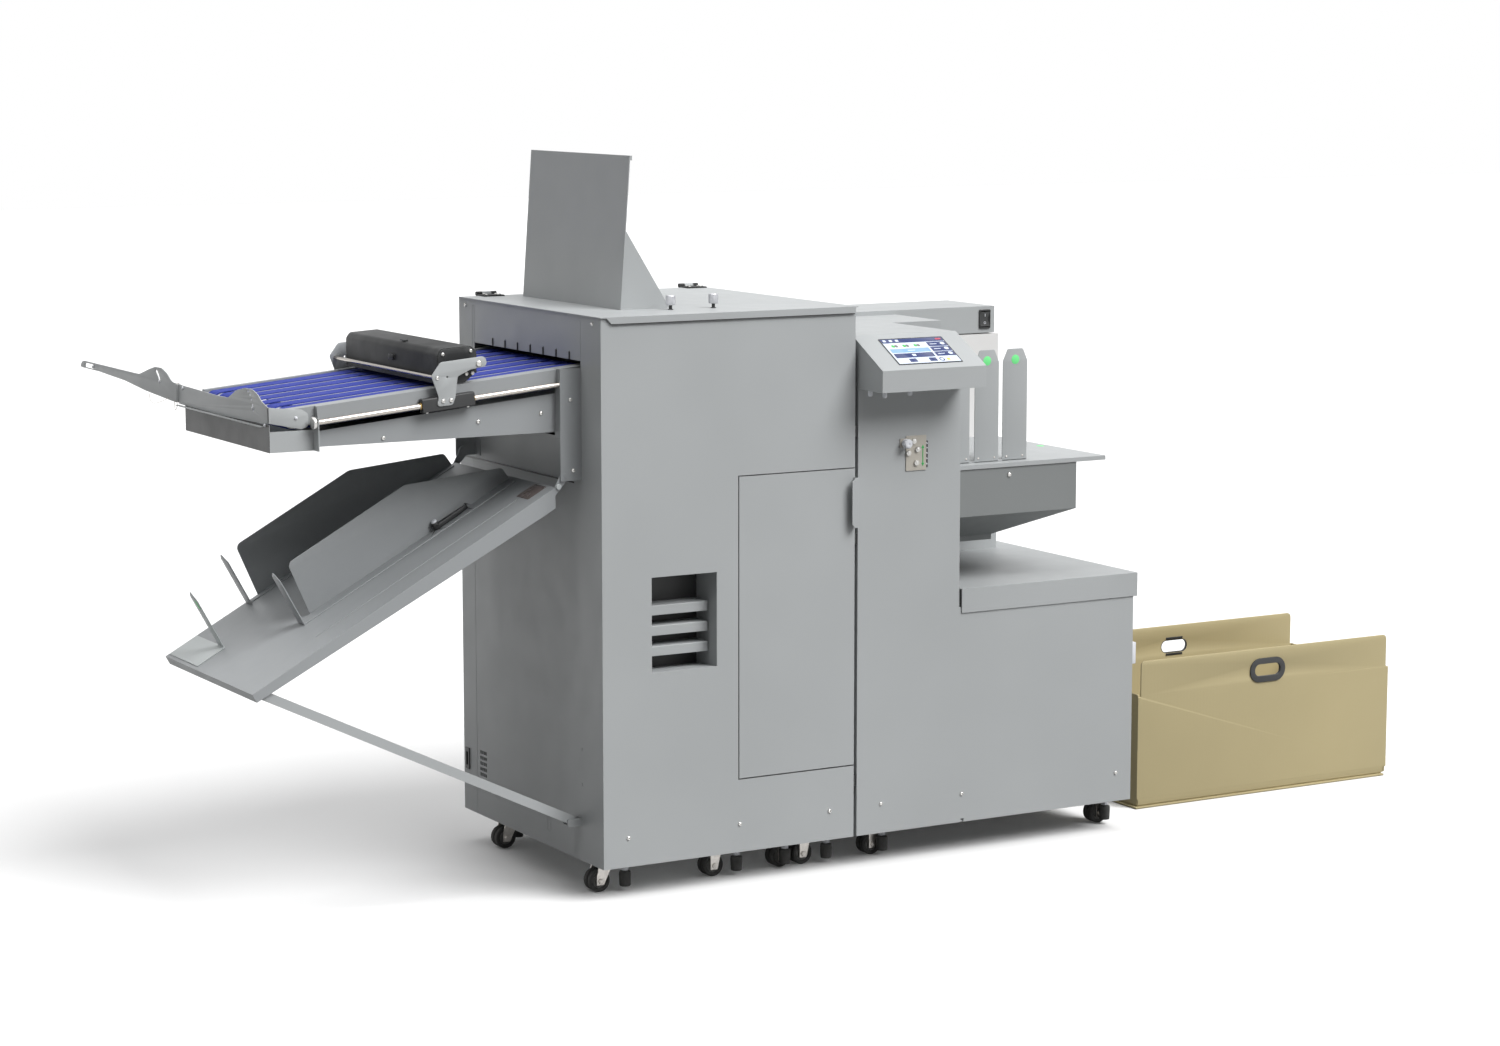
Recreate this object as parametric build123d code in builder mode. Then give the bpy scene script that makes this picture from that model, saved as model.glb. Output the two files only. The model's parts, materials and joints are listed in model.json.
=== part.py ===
from build123d import *
import os
from math import atan2, cos, degrees, hypot, radians, sin, tan

# Floor-standing sheet creaser and folder: a folding cabinet with an inclined belt delivery and a stacker
# tray on its left, a suction feeder with a console on its right, and a loose collecting bin.
# X runs along the machine from the delivery to the feeder, Y from the operator's side to the rear, Z up.
# Places are counted from the cabinet's front left corner on the floor; FLOOR moves them so that the
# origin lies on the floor in the middle of the whole machine.

# ---------------------------------------------------------------- common sizes
SHEET = 2.0  # folded sheet steel
FIT = 0.3  # air between two bodies
RUN = 0.05  # running clearance on a radius
CUT = 1.0  # how far a cutting box stands proud of what it cuts

# ---------------------------------------------------------------- folding cabinet
CAB_WIDTH = 629.0
CAB_DEPTH = 700.0
CAB_BOTTOM = 75.0
CAB_TOP = 1261.7
PAN = 4.0  # floor pan of cabinet and feeder
POST = 30.0  # corner posts
SIDE_Y = 60.0  # front of the near side plate, and as far in from the rear for the other one
SIDE_PLATE = 5.0
SIDE_BOTTOM = 840.0
SIDE_TOP = 1240.0
DELIVERY_IN = 80.0  # the delivery's far brackets, in from the cabinet's rear
DELIVERY_FAR = CAB_DEPTH - DELIVERY_IN
WINDOW_Y = (94.0, DELIVERY_FAR)  # where the belts come out
WINDOW_Z = (1105.0, 1165.0)
SLOT_FIRST = 145.0  # seven slots over the window
SLOT_LAST_IN = 97.0  # the last one, in from the window's far end
SLOT_COUNT = 7
SLOT_PITCH = (DELIVERY_FAR - SLOT_LAST_IN - SLOT_FIRST) / (SLOT_COUNT - 1)
SLOT_WIDE = 4.0
SLOT_HIGH = 18.0
SEAM = 1.4  # shallow seams pressed into the left wall
SEAM_TOP = 1250.0
SEAM_IN = 71.0  # the long seam, in from the rear
SEAM_REAR = CAB_DEPTH - SEAM_IN
DROP_FAR_IN = 20.0
DROP_Y = (110.0, DELIVERY_FAR - DROP_FAR_IN)  # where single sheets fall out onto the tray
DROP_Z = (994.0, 1012.0)
VENT_IN = 103.0  # middle of the vent slots, in from the rear
VENT_Y = CAB_DEPTH - VENT_IN
VENT_Z = 197.0
VENT_PITCH_Y = 9.0
VENT_PITCH_Z = 13.0
VENT_WIDE = 6.5
VENT_HIGH = 8.0
INLET_IN = 15.0  # power inlet, in from the rear
INLET_WIDE = 13.0
INLET_Y = (CAB_DEPTH - INLET_IN - INLET_WIDE, CAB_DEPTH - INLET_IN)
INLET_Z = (178.0, 215.0)
INLET_FLANGE = 3.0
INLET_BODY = 22.0  # depth of its body and of the socket in it
INLET_SOCKET = 18.0
INLET_SIDE = 2.0  # walls beside the socket, and above and below it
INLET_END = 3.0
INLET_PIN_PITCH = 9.0
INLET_PIN = 1.5
PAPER_IN = 100.0  # sheet passage between feeder and cabinet, in from front and rear
PAPER_Y = (PAPER_IN, CAB_DEPTH - PAPER_IN)
PAPER_Z = 1100.0
PAPER_GAP = 30.0

LOUVRE_X = (119.0, 279.0)
LOUVRE_Z = (495.0, 702.0)
LOUVRE_DEPTH = 94.0
LOUVRE_WALL = 1.5
LOUVRE_RIM = 8.0
SLAT_COUNT = 3
SLAT_FIRST = 524.0
SLAT_PITCH = 44.6
SLAT_HIGH = 21.0
SLAT_SETBACK = 36.0
SLAT_BEND = 1.5  # cut-off corner between a slat's lip and its shelf
SLAT_END = 3.0  # the slats stop this far before the recess's right wall

DOOR_WIDE = 294.0
DOOR_LEFT = CAB_WIDTH - DOOR_WIDE
DOOR_Z = (240.0, 906.0)
DOOR_GAP = 1.5
DOOR_FLANGE = 14.0
DOOR_PIN_IN = 3.0  # pin axis from the door's left edge
DOOR_PIN_Y = 2.5
DOOR_PIN = 1.5
DOOR_PIN_OUT = 6.0  # how far the pins reach into their lugs
DOOR_LUG = 10.0
PULL_Z = (776.0, 887.0)
PULL_REACH = 16.0
PULL_LIP = 16.0

LATCH_Z = (987.0, 748.0, 202.0)
LATCH_Y = (3.0, 30.0)
LATCH_HIGH = 24.0

LID_FRONT = -5.0
LID_SHORT = 8.0  # the lid ends this far before the cabinet's rear
LID_BACK = CAB_DEPTH - LID_SHORT
LID_OVER = 4.0
LID_LIP = 12.5
LID_LIP_IN = 11.0  # left end of the front lip
LID_PIN_OUT = 6.0  # pin axis behind the cabinet's rear
LID_PIN_Y = CAB_DEPTH + LID_PIN_OUT
LID_PIN_Z = 1268.0
LID_PIN = 2.5
KNUCKLE = 5.0
HINGE_IN = (71.0, 30.0)  # middle of the hinges, in from the left and the right wall
HINGE_X = (HINGE_IN[0], CAB_WIDTH - HINGE_IN[1])
HINGE_WIDE = 50.0
HINGE_TAB = 22.0
HINGE_LEAF = 3.0
HINGE_REACH = 46.0  # front end of a leaf and its screws, counted from the pin
HINGE_SCREW = 30.0
FLAP_FOOT_X = 131.0
FLAP_LEAN = 24.0
FLAP_TOP = 1595.0
FLAP_FAR_IN = 64.0
FLAP_Y = (159.0, CAB_DEPTH - FLAP_FAR_IN)
FLAP_FOOT = 30.0
GUSSET_REACH = 254.0
GUSSET_TOP = 1437.0
KNOB_PLACES = ((231.0, 117.0), (336.0, 115.0))
KNOB_STUD = 4.0
KNOB_RADIUS = 10.5
KNOB_LIFT = 10.0
KNOB_HIGH = 21.0

# ---------------------------------------------------------------- folding works
NIP_X = 295.5
NIP_Z = 1060.0
FOLD_RADIUS = 25.0
FOLD_GAP = 1.0
FOLD_JOURNAL = 8.0
KNIFE_TIP = 1105.0
KNIFE_STROKE = 32.0
KNIFE_BLADE = 16.0
CREASE_X = 480.0
CREASE_TIP = 1107.0
CREASE_STROKE = 10.0
CREASE_BLADE = 13.0
BEAM = 30.0  # square beams that hold knife and creasing blade
TONGUE = 15.0  # width of their guide tongues
ANVIL = 20.0
MOTOR_X = 460.0
MOTOR_Y = (290.0, 430.0)  # ends of its body
MOTOR_RADIUS = 45.0
MOTOR_LIFT = 56.0  # shaft over the floor pan
MOTOR_FOOT = 6.0
MOTOR_FOOT_IN = 10.0
MOTOR_FOOT_HALF = 60.0
MOTOR_BLOCK_HALF = 35.0
MOTOR_SHAFT = 7.0
MOTOR_SHAFT_OUT = 35.0
PULLEY_RADIUS = 22.0
PULLEY_OUT = (15.0, 28.0)  # its ends, counted from the body

# ---------------------------------------------------------------- belt delivery
BELT_Z = 1150.0  # belt surface at the cabinet's face
BELT_TILT = 5.2
BELT_FIRST = 172.0
BELT_LAST_IN = 26.0  # middle of the last belt, in from the far rail
BELT_COUNT = 7
BELT_WIDE = 44.0
BELT_THICK = 2.0
BELT_DRUM = 20.0  # inner radius of a belt's turn
BELT_FAR = -640.0  # idler axis along the slope
BELT_NEAR = 25.0  # drive axis along the slope
DRUM_JOURNAL = 5.0
RAIL_LOW = -34.0
RAIL_HIGH = 3.0
RAIL_ENDS = (-660.0, 45.0)
NEAR_RAIL_Y = (120.0, 146.0)
NEAR_RAIL_SKIN = 12.0
FAR_RAIL_IN = 16.0  # far rail, in from the far brackets
FAR_RAIL_WIDE = 13.0
FAR_RAIL_Y = (DELIVERY_FAR - FAR_RAIL_IN - FAR_RAIL_WIDE, DELIVERY_FAR - FAR_RAIL_IN)
BELT_PITCH = (FAR_RAIL_Y[0] - BELT_LAST_IN - BELT_FIRST) / (BELT_COUNT - 1)
BED_ENDS = (-612.0, -2.0)
BRACKET_REACH = 50.0
BRACKET_Y = 92.0
BRACKET_FAR_Y = DELIVERY_FAR
BRACKET_Z = (910.0, 1150.0)
BRACKET_WEB = 1000.0  # lower end of the bracket's outer web
ARM_IN = 24.0  # side arms, in from the brackets
ARM_Y = BRACKET_Y + ARM_IN
ARM_FAR_Y = BRACKET_FAR_Y - ARM_IN
ARM_END = 601.0
ARM_BOTTOM = 1014.0
ARM_END_TOP = 1046.0
ARM_ROOT_TOP = 1097.0
BOX_LEFT = -700.0
BOX_BOTTOM = 1007.0
BOX_TOP = 1064.0
BOX_LOW = 1050.0
ROD_IN = 7.0  # slide rods, in from the brackets
ROD_Y = BRACKET_Y + ROD_IN
ROD_FAR_Y = BRACKET_FAR_Y - ROD_IN
ROD_DEEP = -29.0
ROD_RADIUS = 6.0
ROD_ENDS = (-613.0, -46.5)
ROD_CAP = 4.0
ROD_CAP_OVER = 2.0
LUG_WIDE = 9.5
WING_BOTTOM = 1058.0
WING_TOP = 1105.0
WING_BUMP = 1130.0
WING_PIN_OUT = 14.0  # hinge of the wings, outside the far brackets
WING_PIN_Y = BRACKET_FAR_Y + WING_PIN_OUT
WING_PIN = 3.0
WING_REACH = 645.0
WING_TIP = WING_PIN_Y + WING_REACH
WING_EAR = (168.0, 208.0, 258.0, 300.0)  # corners of the near wing's ear
WING_EAR_CORNER = 14.0
FAR_EAR = (56.0, 98.0, 156.0, 196.0)  # corners of the far wing's ear, counted from the hinge
EAR_SLOT = (24.0, 6.0)
EAR_SLOT_RISE = 3.0  # middle of the near ear's slot over the wing's straight top
FAR_EAR_SLOT = (126.0, 6.0)  # the far ear's one, from the hinge and over the top
TIP_SLOT = (8.0, 46.0)
TIP_SLOT_IN = (62.0, 8.0)  # its middle, in from the tip and the top
WING_TIP_HIGH = 17.0
WING_DROP = 14.0  # the near wing's top falls this far towards its corner
WING_RETURN = 88.0  # side leaf round the near corner
WING_RETURN_CUT = 11.0
WING_FLANGE = 8.0
WING_FLANGE_IN = 24.0
WING_KNUCKLES = ((1066.0, 1078.0), (1092.0, 1104.0))
WING_PIN_ENDS = (1064.0, 1106.0)
CARRIAGE_ENDS = (-374.0, -254.0)
CARRIAGE_OVER = 4.0  # slider blocks stand out past the brackets
CARRIAGE_CLEAR = (1.0, 0.5)  # air to the near and far rail
CARRIAGE_Y = (BRACKET_Y - CARRIAGE_OVER, NEAR_RAIL_Y[0] - NEAR_RAIL_SKIN - CARRIAGE_CLEAR[0])
CARRIAGE_FAR_Y = (FAR_RAIL_Y[1] + CARRIAGE_CLEAR[1], BRACKET_FAR_Y + CARRIAGE_OVER)
CARRIAGE_LOW = -43.0
CARRIAGE_HIGH = -14.0
CARRIAGE_PLATE = 3.0
CARRIAGE_ARM = (
    (-325.0, 1086.0), (-306.0, 1088.0), (-297.0, 1100.0), (-292.0, 1146.0), (-252.0, 1163.0),
    (-225.0, 1170.0), (-236.0, 1184.0), (-332.0, 1176.0), (-349.0, 1148.0), (-333.0, 1102.0),
)
TIE_BAR = (-338.0, 1146.0)
TIE_BAR_RADIUS = 4.0
HEAD_PIN = (-242.0, 1172.0)
HEAD_PIN_RADIUS = 3.5
HEAD_FAR_IN = 32.0  # the head's far cheek, in from the far bracket
HEAD_Y = (110.0, BRACKET_FAR_Y - HEAD_FAR_IN)
HEAD_COVER = (  # outline of the cover, counted from the pressing roller's axis
    (-47.0, 10.0), (-16.0, -9.0), (16.0, -9.0), (44.0, 18.0),
    (44.0, 56.0), (30.0, 68.0), (-38.0, 64.0), (-47.0, 52.0),
)
HEAD_HOLLOW = (
    (-45.0, -20.0), (-45.0, 51.0), (-37.0, 62.0), (29.0, 66.0), (42.0, 55.0), (42.0, -20.0),
)
PRESS_AXIS = (-280.0, 1140.0)
PRESS_RADIUS = 15.0
PRESS_JOURNAL = 6.0

# ---------------------------------------------------------------- stacker tray
TRAY_X = -60.0
TRAY_Z = 898.0
TRAY_TILT = 28.8
TRAY_LENGTH = 794.0
TRAY_HEAD = -1.0
TRAY_FAR_IN = 16.0
TRAY_Y = (96.0, BRACKET_FAR_Y - TRAY_FAR_IN)
TRAY_RIM = 39.0
TRAY_RIM_STRAIGHT = 60.0  # length at the head over which the rims keep their height
GROOVE_ENDS = (-600.0, -63.0)
GROOVE_Y = (166.0, 170.0)
SENSOR_ENDS = (-56.0, -6.0)
SENSOR_Y = (141.0, 179.0)
TRAY_TOE = 20.0
TRAY_PIN = (-38.0, 922.0)
TRAY_PIN_RADIUS = 5.0
TRAY_LUG = 12.0  # radius of the lugs round the pins
LUG_TOE = (7.0, 9.0)  # right corner of a lug's web, right of and below the pin
LUG_FOOT = (10.0, 14.0, 1.2, 18.0)  # lower corners of a lug's web, left of and below the tray's head
STRUT_IN = 19.0  # the strut's pin, in from the tray's low end
STRUT_S = -TRAY_LENGTH + STRUT_IN
STRUT_DEEP = -14.0
STRUT_Y = (104.0, 122.0)
STRUT_HALF = 10.0
STRUT_PIN = 4.0
STRUT_FOOT = (-25.0, 168.0)
SADDLE = 4.0
GUIDE_ENDS = (-549.0, -11.0)
GUIDE_HIGH = 124.0
GUIDE_LEAN = 11.0  # slope of the guides' low end
GUIDE_FALL = 218.0  # length of their falling top
GUIDE_NOSE = (4.0, 33.0)  # top corner of their high end
GUIDE_CORNER = 12.0
GUIDE_NEAR_Y = 300.0
GUIDE_FAR_IN = 6.0
GUIDE_FAR_Y = TRAY_Y[1] - GUIDE_FAR_IN
GUIDE_FOOT = 17.0
FINGER_S = -581.0
FINGER_HIGH = 130.0
FINGER_WIDE = 35.0
STOP_IN = 9.0  # end stop, in from the tray's low end
STOP_LONG = 73.0
STOP_ENDS = (-TRAY_LENGTH + STOP_IN, -TRAY_LENGTH + STOP_IN + STOP_LONG)
STOP_WIDE = 168.0
STOP_Y = (GUIDE_FAR_Y - STOP_WIDE, GUIDE_FAR_Y)
STOP_THICK = 1.5
STOP_FINGER_IN = 5.0
STOP_FINGER_WIDE = 32.0
STOP_FINGER_Y = (STOP_Y[0] + STOP_FINGER_IN, STOP_Y[0] + STOP_FINGER_IN + STOP_FINGER_WIDE)
STOP_HIGH = 143.0
LEVER_S = -212.0
LEVER_Y = 292.0
LEVER_REACH = 80.0
LEVER_HALF = 4.0
LEVER_HIGH = 8.0
LEVER_HUB = 7.5
LEVER_NUT = 3.5
LEVER_NUT_HIGH = 2.0
LEVER_PIN = 3.0

# ---------------------------------------------------------------- feeder
DOCK_GAP = 8.0
FEED_WIDTH = 756.0
FEED_LEFT = CAB_WIDTH + DOCK_GAP
FEED_RIGHT = FEED_LEFT + FEED_WIDTH
FEED_SHORT = 2.0  # the feeder is this much shallower than the cabinet
FEED_DEPTH = CAB_DEPTH - FEED_SHORT
COLUMN_WIDTH = 270.0
COLUMN_RIGHT = FEED_LEFT + COLUMN_WIDTH
COLUMN_TOP = 1080.7
COLUMN_ROOF = 1196.0
CONSOLE_FRONT = -100.0
CONSOLE_LIP = 1129.0
CONSOLE_BACK = 25.0
CONSOLE_HIGH = 1197.0
SCREEN_IN = (53.0, 50.0)  # screen, in from the console's left and right side
SCREEN_X = (FEED_LEFT + SCREEN_IN[0], COLUMN_RIGHT - SCREEN_IN[1])
SCREEN_UP = (19.0, 122.0)
SCREEN_PROUD = 1.0
SCREEN_DEEP = 9.0
SHELF_GAP = 6.0  # between column and shelf
SHELF_SLOT = 40.0  # depth of the slot in the casing behind that gap
SHELF_OVER = 9.0
SHELF_LEFT = COLUMN_RIGHT + SHELF_GAP
SHELF_RIGHT = FEED_RIGHT + SHELF_OVER
SHELF_FRONT = -3.0
SHELF_TOP = 614.0
SHELF_LIP = 559.0
REAR_DEEP = 208.0  # depth of the rear tower
REAR_Y = FEED_DEPTH - REAR_DEEP
REAR_IN = 55.0  # the tower's right side, in from the feeder's
REAR_RIGHT = FEED_RIGHT - REAR_IN
REAR_TOP = 1139.0
SWITCH_BOX_IN = (2.0, 12.0)  # the switch box, in from the column's left and the tower's right side
SWITCH_BOX_X = (FEED_LEFT + SWITCH_BOX_IN[0], REAR_RIGHT - SWITCH_BOX_IN[1])
SWITCH_BOX_Z = (1142.0, 1206.0)
NECK = 10.0
HOOD_WIDE = 136.0
HOOD_RIGHT = COLUMN_RIGHT + HOOD_WIDE
HOOD_DEEP = 200.0
HOOD_FRONT = REAR_Y - HOOD_DEEP
HOOD_BOSS = 10.0  # bearing bosses, in from the hood's front and back
HOOD_BOTTOM = 1100.0
ROTOR_OUT = 68.0  # rotor axis, from the column's right wall
ROTOR = (COLUMN_RIGHT + ROTOR_OUT, 1150.0)
ROTOR_RADIUS = 40.0
ROTOR_JOURNAL = 8.0
ROTOR_ROWS = 4
ROTOR_HOLES = 8
ROTOR_HOLE = 3.0
ROTOR_HOLE_DEEP = 12.0
ROCKER_WIDE = 26.0
ROCKER_RIM = 16.0  # between the rocker and the switch box's right side
ROCKER_X = (SWITCH_BOX_X[1] - ROCKER_RIM - ROCKER_WIDE, SWITCH_BOX_X[1] - ROCKER_RIM)
ROCKER_Z = 1175.0
ROCKER_IN = 7.0  # the rocker's pins, behind the tower's front
ROCKER_Y = REAR_Y + ROCKER_IN
ROCKER_HALF = 17.5
ROCKER_PIN = 2.0
TABLE_GAP = 2.0  # between column and table
TABLE_WIDE = 418.0
TABLE_X = (COLUMN_RIGHT + TABLE_GAP, COLUMN_RIGHT + TABLE_GAP + TABLE_WIDE)
TABLE_FRONT = 27.0
TABLE_TOP = 890.0
TABLE_RIM = 10.0
TABLE_LIFT = 150.0
LIFT_IN = (65.0, 31.0)  # lift arms, in from the table's right end
LIFT_ARMS = (TABLE_X[1] - LIFT_IN[0], TABLE_X[1] - LIFT_IN[1])
LIFT_WIDE = 12.0
LIFT_BOTTOM = 700.0
LIFT_TONGUE = 30.0
CHUTE_IN = 80.0  # right side of the chute, in from the table's right end
CHUTE_RIGHT = TABLE_X[1] - CHUTE_IN
CHUTE_Y = (30.0, REAR_Y - SHEET)
CHUTE_EAVES = 772.0
CHUTE_NECK_IN = 147.0
CHUTE_NECK = (CHUTE_RIGHT - CHUTE_NECK_IN, 160.0)  # right and front side of the neck
CHUTE_THROAT = 706.0
CHUTE_BOTTOM = 694.0
FENCE_OUT = ((2.5, 63.0), (77.0, 142.0), (153.0, 220.0))  # ends of the fence plates, from the column
FENCE_PLACES = [(COLUMN_RIGHT + left, COLUMN_RIGHT + right) for left, right in FENCE_OUT]
FENCE_Y = 59.0
FENCE_TOP = 1147.0
FENCE_SHOULDER = 1118.0
FENCE_CHAMFER = 11.0
ADJUST_LEFT = 124.0  # adjuster plate, from the feeder's left side
ADJUST_WIDE = 53.0
ADJUST_X = (FEED_LEFT + ADJUST_LEFT, FEED_LEFT + ADJUST_LEFT + ADJUST_WIDE)
ADJUST_Z = (892.0, 970.0)
ADJUST_TRAVEL = 20.0
ADJUST_STUD = 3.0
KNOB_OUT = 6.0  # knob axis, left of the plate
KNOB_AXIS = (ADJUST_X[0] - KNOB_OUT, 955.0)
KNOB_GRIP = 8.0
KNOB_EAR = 10.0  # half the height of the plate's ear behind it
KNOB_TIP = -24.0
SCALE_WIDE = 4.0
SCALE_X = (ADJUST_X[1], ADJUST_X[1] + SCALE_WIDE)
SCALE_Z = (898.0, 955.0)
PUMP_IN = 363.0
PUMP_X = FEED_LEFT + PUMP_IN
PUMP_Y = (200.0, 400.0)
PUMP_LONG = 200.0
PUMP_BASE = 8.0
PUMP_PLINTH = 60.0
PUMP_PLINTH_IN = 20.0
PUMP_MOTOR = (10.0, 110.0)  # ends of its motor, counted from the base's left end
PUMP_MOTOR_RADIUS = 62.0
PUMP_AXIS = 110.0
PUMP_HEAD = (110.0, 190.0)
PUMP_HEAD_HALF = 60.0
PUMP_HEAD_Z = (50.0, 170.0)
PUMP_PORT = 14.0
PUMP_PORT_X = 150.0
PUMP_PORT_HIGH = 30.0

# ---------------------------------------------------------------- castors, feet, screws and bin
WHEEL_RADIUS = 25.0
WHEEL_WIDE = 32.0
TYRE_WIDE = 14.0
AXLE = 4.0
CASTOR_IN = 116.0  # wheel centre from the front, and as far from the cabinet's rear
SWIVEL_X = 42.0
SWIVEL_TRAIL = 20.0
FIXED_IN = (303.0, 129.0, 73.0)  # the cabinet's fixed castors, in from its right side
FEED_CASTOR_IN = (103.0, 17.0)  # the feeder's, in from its left and right side
FIXED_X = [CAB_WIDTH - inset for inset in FIXED_IN]
FIXED_X += [FEED_LEFT + FEED_CASTOR_IN[0], FEED_RIGHT - FEED_CASTOR_IN[1]]
FIXED_TRAIL = 10.0
LEG = 3.0
LEG_NOSE = 9.0  # how far a leg reaches before and below the axle
LEG_BACK = 8.0
LEG_HIP = 12.0  # height over the axle at which a leg starts to lean
FORK_TOP = 66.0
CROWN = 20.0  # how far the crown reaches before the stem
CASTOR_PLATE = 28.0
BEARING = 16.0
KINGPIN = 5.0
KINGPIN_DOWN = 13.0
FOOT_LEFT = 95.0
FOOT_RIGHT_IN = (254.0, 129.0, 21.0)  # the cabinet's other feet, in from its right side
FEED_FOOT_IN = (120.0, 13.0)
FOOT_X = [FOOT_LEFT] + [CAB_WIDTH - inset for inset in FOOT_RIGHT_IN]
FOOT_X += [FEED_LEFT + FEED_FOOT_IN[0], FEED_RIGHT - FEED_FOOT_IN[1]]
FOOT_IN = 84.0
FOOT_STUD = 5.0
FOOT_Z = (12.0, 60.0)
FOOT_RADIUS = 9.0
FOOT_TAPER = 2.0
NUT_HIGH = 7.0
NUT_LIFT = 3.0
SCREW_HEAD = 4.5
SCREW_HIGH = 1.5
FRONT_SCREWS = ((60.0, 139.0), (336.0, 138.0), (566.0, 141.0))
FEED_SCREWS = (  # counted from the feeder's left side
    (64.0, 142.0), (281.0, 141.0), (712.0, 143.0), (34.0, 1071.0), (72.0, 1062.0), (139.0, 1065.0),
)
ARM_SCREWS = ((-448.0, 1024.0), (-231.0, 1046.0), (-84.0, 1056.0))
BRACKET_SCREWS = ((-26.0, 1084.0), (-20.0, 932.0))
POST_SCREW = (39.0, 1247.0)
BIN_GAP = 145.0  # where the loose bin stands beside the feeder
BIN_LEFT = FEED_RIGHT + BIN_GAP
BIN_LENGTH = 787.0
BIN_Y = (172.0, 555.0)
BIN_WALL = 4.0
BIN_HIGH = 362.0
BIN_END_HIGH = 280.0
BIN_LEAN = 14.0
BIN_CORNER = 30.0
HAND_HOLE = (78.0, 35.0)
HAND_HOLE_Z = 307.0

# ---------------------------------------------------------------- worked-out places
TRAY_SLOPE = radians(TRAY_TILT)
RIM_END = TRAY_HEAD - TRAY_RIM * tan(TRAY_SLOPE)  # the tray's head is cut upright
LEFT_END = TRAY_X - TRAY_LENGTH * cos(TRAY_SLOPE)
RIGHT_END = BIN_LEFT + BIN_LENGTH
FLOOR = Plane(origin=(-(LEFT_END + RIGHT_END) / 2, -(CONSOLE_FRONT + WING_TIP) / 2, 0))
LEVEL = Location((0, 0, 0))
BELT = Location((0, 0, BELT_Z), (0, -BELT_TILT, 0))
TRAY = Location((TRAY_X, 0, TRAY_Z), (0, -TRAY_TILT, 0))
CONSOLE_TILT = degrees(atan2(CONSOLE_HIGH - CONSOLE_LIP, CONSOLE_BACK - CONSOLE_FRONT))
SLOPE = Location((0, CONSOLE_FRONT, CONSOLE_LIP), (CONSOLE_TILT, 0, 0))

SHELF_UNDER = SHELF_TOP - SHEET
LEFT_CUT = (-CUT, SHEET + CUT)
FRONT_CUT = (-CUT, SHEET + CUT)
PAPER_SLOT = (PAPER_Z - PAPER_GAP / 2, PAPER_Z + PAPER_GAP / 2)
FAR_SIDE_Y = CAB_DEPTH - SIDE_Y
WORKS_Y = (SIDE_Y + SIDE_PLATE + FIT, FAR_SIDE_Y - SIDE_PLATE - FIT)
FOLD_OFFSET = FOLD_RADIUS + FOLD_GAP / 2
DRUM_DEEP = -BELT_DRUM - BELT_THICK
DRUM_RADIUS = BELT_DRUM - FIT
DRUM_Y = (NEAR_RAIL_Y[1] + 2, FAR_RAIL_Y[0] - 2)
DOOR_PIN_X = DOOR_LEFT + DOOR_PIN_IN
CASTOR_FAR = CAB_DEPTH - CASTOR_IN
FOOT_FAR = CAB_DEPTH - FOOT_IN
STRUT_TOP = (
    TRAY_X + STRUT_S * cos(TRAY_SLOPE) - STRUT_DEEP * sin(TRAY_SLOPE),
    TRAY_Z + STRUT_S * sin(TRAY_SLOPE) + STRUT_DEEP * cos(TRAY_SLOPE),
)
STRUT_RUN = STRUT_FOOT[0] - STRUT_TOP[0]
STRUT_FALL = STRUT_TOP[1] - STRUT_FOOT[1]
STRUT_LENGTH = hypot(STRUT_RUN, STRUT_FALL)
STRUT = Location((STRUT_TOP[0], 0, STRUT_TOP[1]), (0, degrees(atan2(STRUT_FALL, STRUT_RUN)), 0))


# ---------------------------------------------------------------- shapes used again and again
def middle(ends):
    """Halfway between two ends."""
    return (ends[0] + ends[1]) / 2


def slab(x, y, z, mode=Mode.ADD):
    """Box from its ends along the three axes."""
    with Locations((middle(x), middle(y), middle(z))):
        Box(x[1] - x[0], y[1] - y[0], z[1] - z[0], mode=mode)


def rod_x(y, z, x, radius, mode=Mode.ADD):
    """Round bar along X."""
    with Locations(Location((middle(x), y, z), (0, 90, 0))):
        Cylinder(radius, x[1] - x[0], mode=mode)


def rod_y(x, z, y, radius, mode=Mode.ADD):
    """Round bar along Y."""
    with Locations(Location((x, middle(y), z), (90, 0, 0))):
        Cylinder(radius, y[1] - y[0], mode=mode)


def rod_z(x, y, z, radius, mode=Mode.ADD):
    """Round bar along Z."""
    with Locations((x, y, middle(z))):
        Cylinder(radius, z[1] - z[0], mode=mode)


def prism(plane, outline, depth, mode, corner, above):
    """Straight-sided outline pushed out along its plane's normal, its corners above a height rounded."""
    with BuildSketch(plane) as profile:
        with BuildLine():
            Polyline(*outline, close=True)
        make_face()
        if corner:
            fillet([v for v in profile.vertices() if v.Y >= above], corner)
    extrude(profile.sketch, amount=depth, mode=mode)


def panel_x(outline, x, mode=Mode.ADD, corner=0, above=-1e6):
    """Plate across X from a (y, z) outline."""
    plane = Plane(origin=FLOOR.origin + Vector(x[0], 0, 0), x_dir=(0, 1, 0), z_dir=(1, 0, 0))
    prism(plane, outline, x[1] - x[0], mode, corner, above)


def panel_y(outline, y, frame=LEVEL, mode=Mode.ADD, corner=0, above=-1e6):
    """Plate across Y from an (x, z) outline, in the frame of a sloped unit if one is given."""
    plane = Plane(FLOOR.location * frame * Location((0, y[0], 0), (90, 0, 0)))
    prism(plane, outline, y[0] - y[1], mode, corner, above)


def ring_walls(x, y, z):
    """Four walls of folded sheet, open above and below."""
    slab(x, y, z)
    slab(
        (x[0] + SHEET, x[1] - SHEET),
        (y[0] + SHEET, y[1] - SHEET),
        (z[0] - CUT, z[1] + CUT),
        Mode.SUBTRACT,
    )


def finish(built, name):
    """Label a finished piece and write it."""
    built.part.label = name
    export_step(built.part, f"parts/{name}.step")


os.makedirs("parts", exist_ok=True)

# ================================================================ folding cabinet

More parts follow.
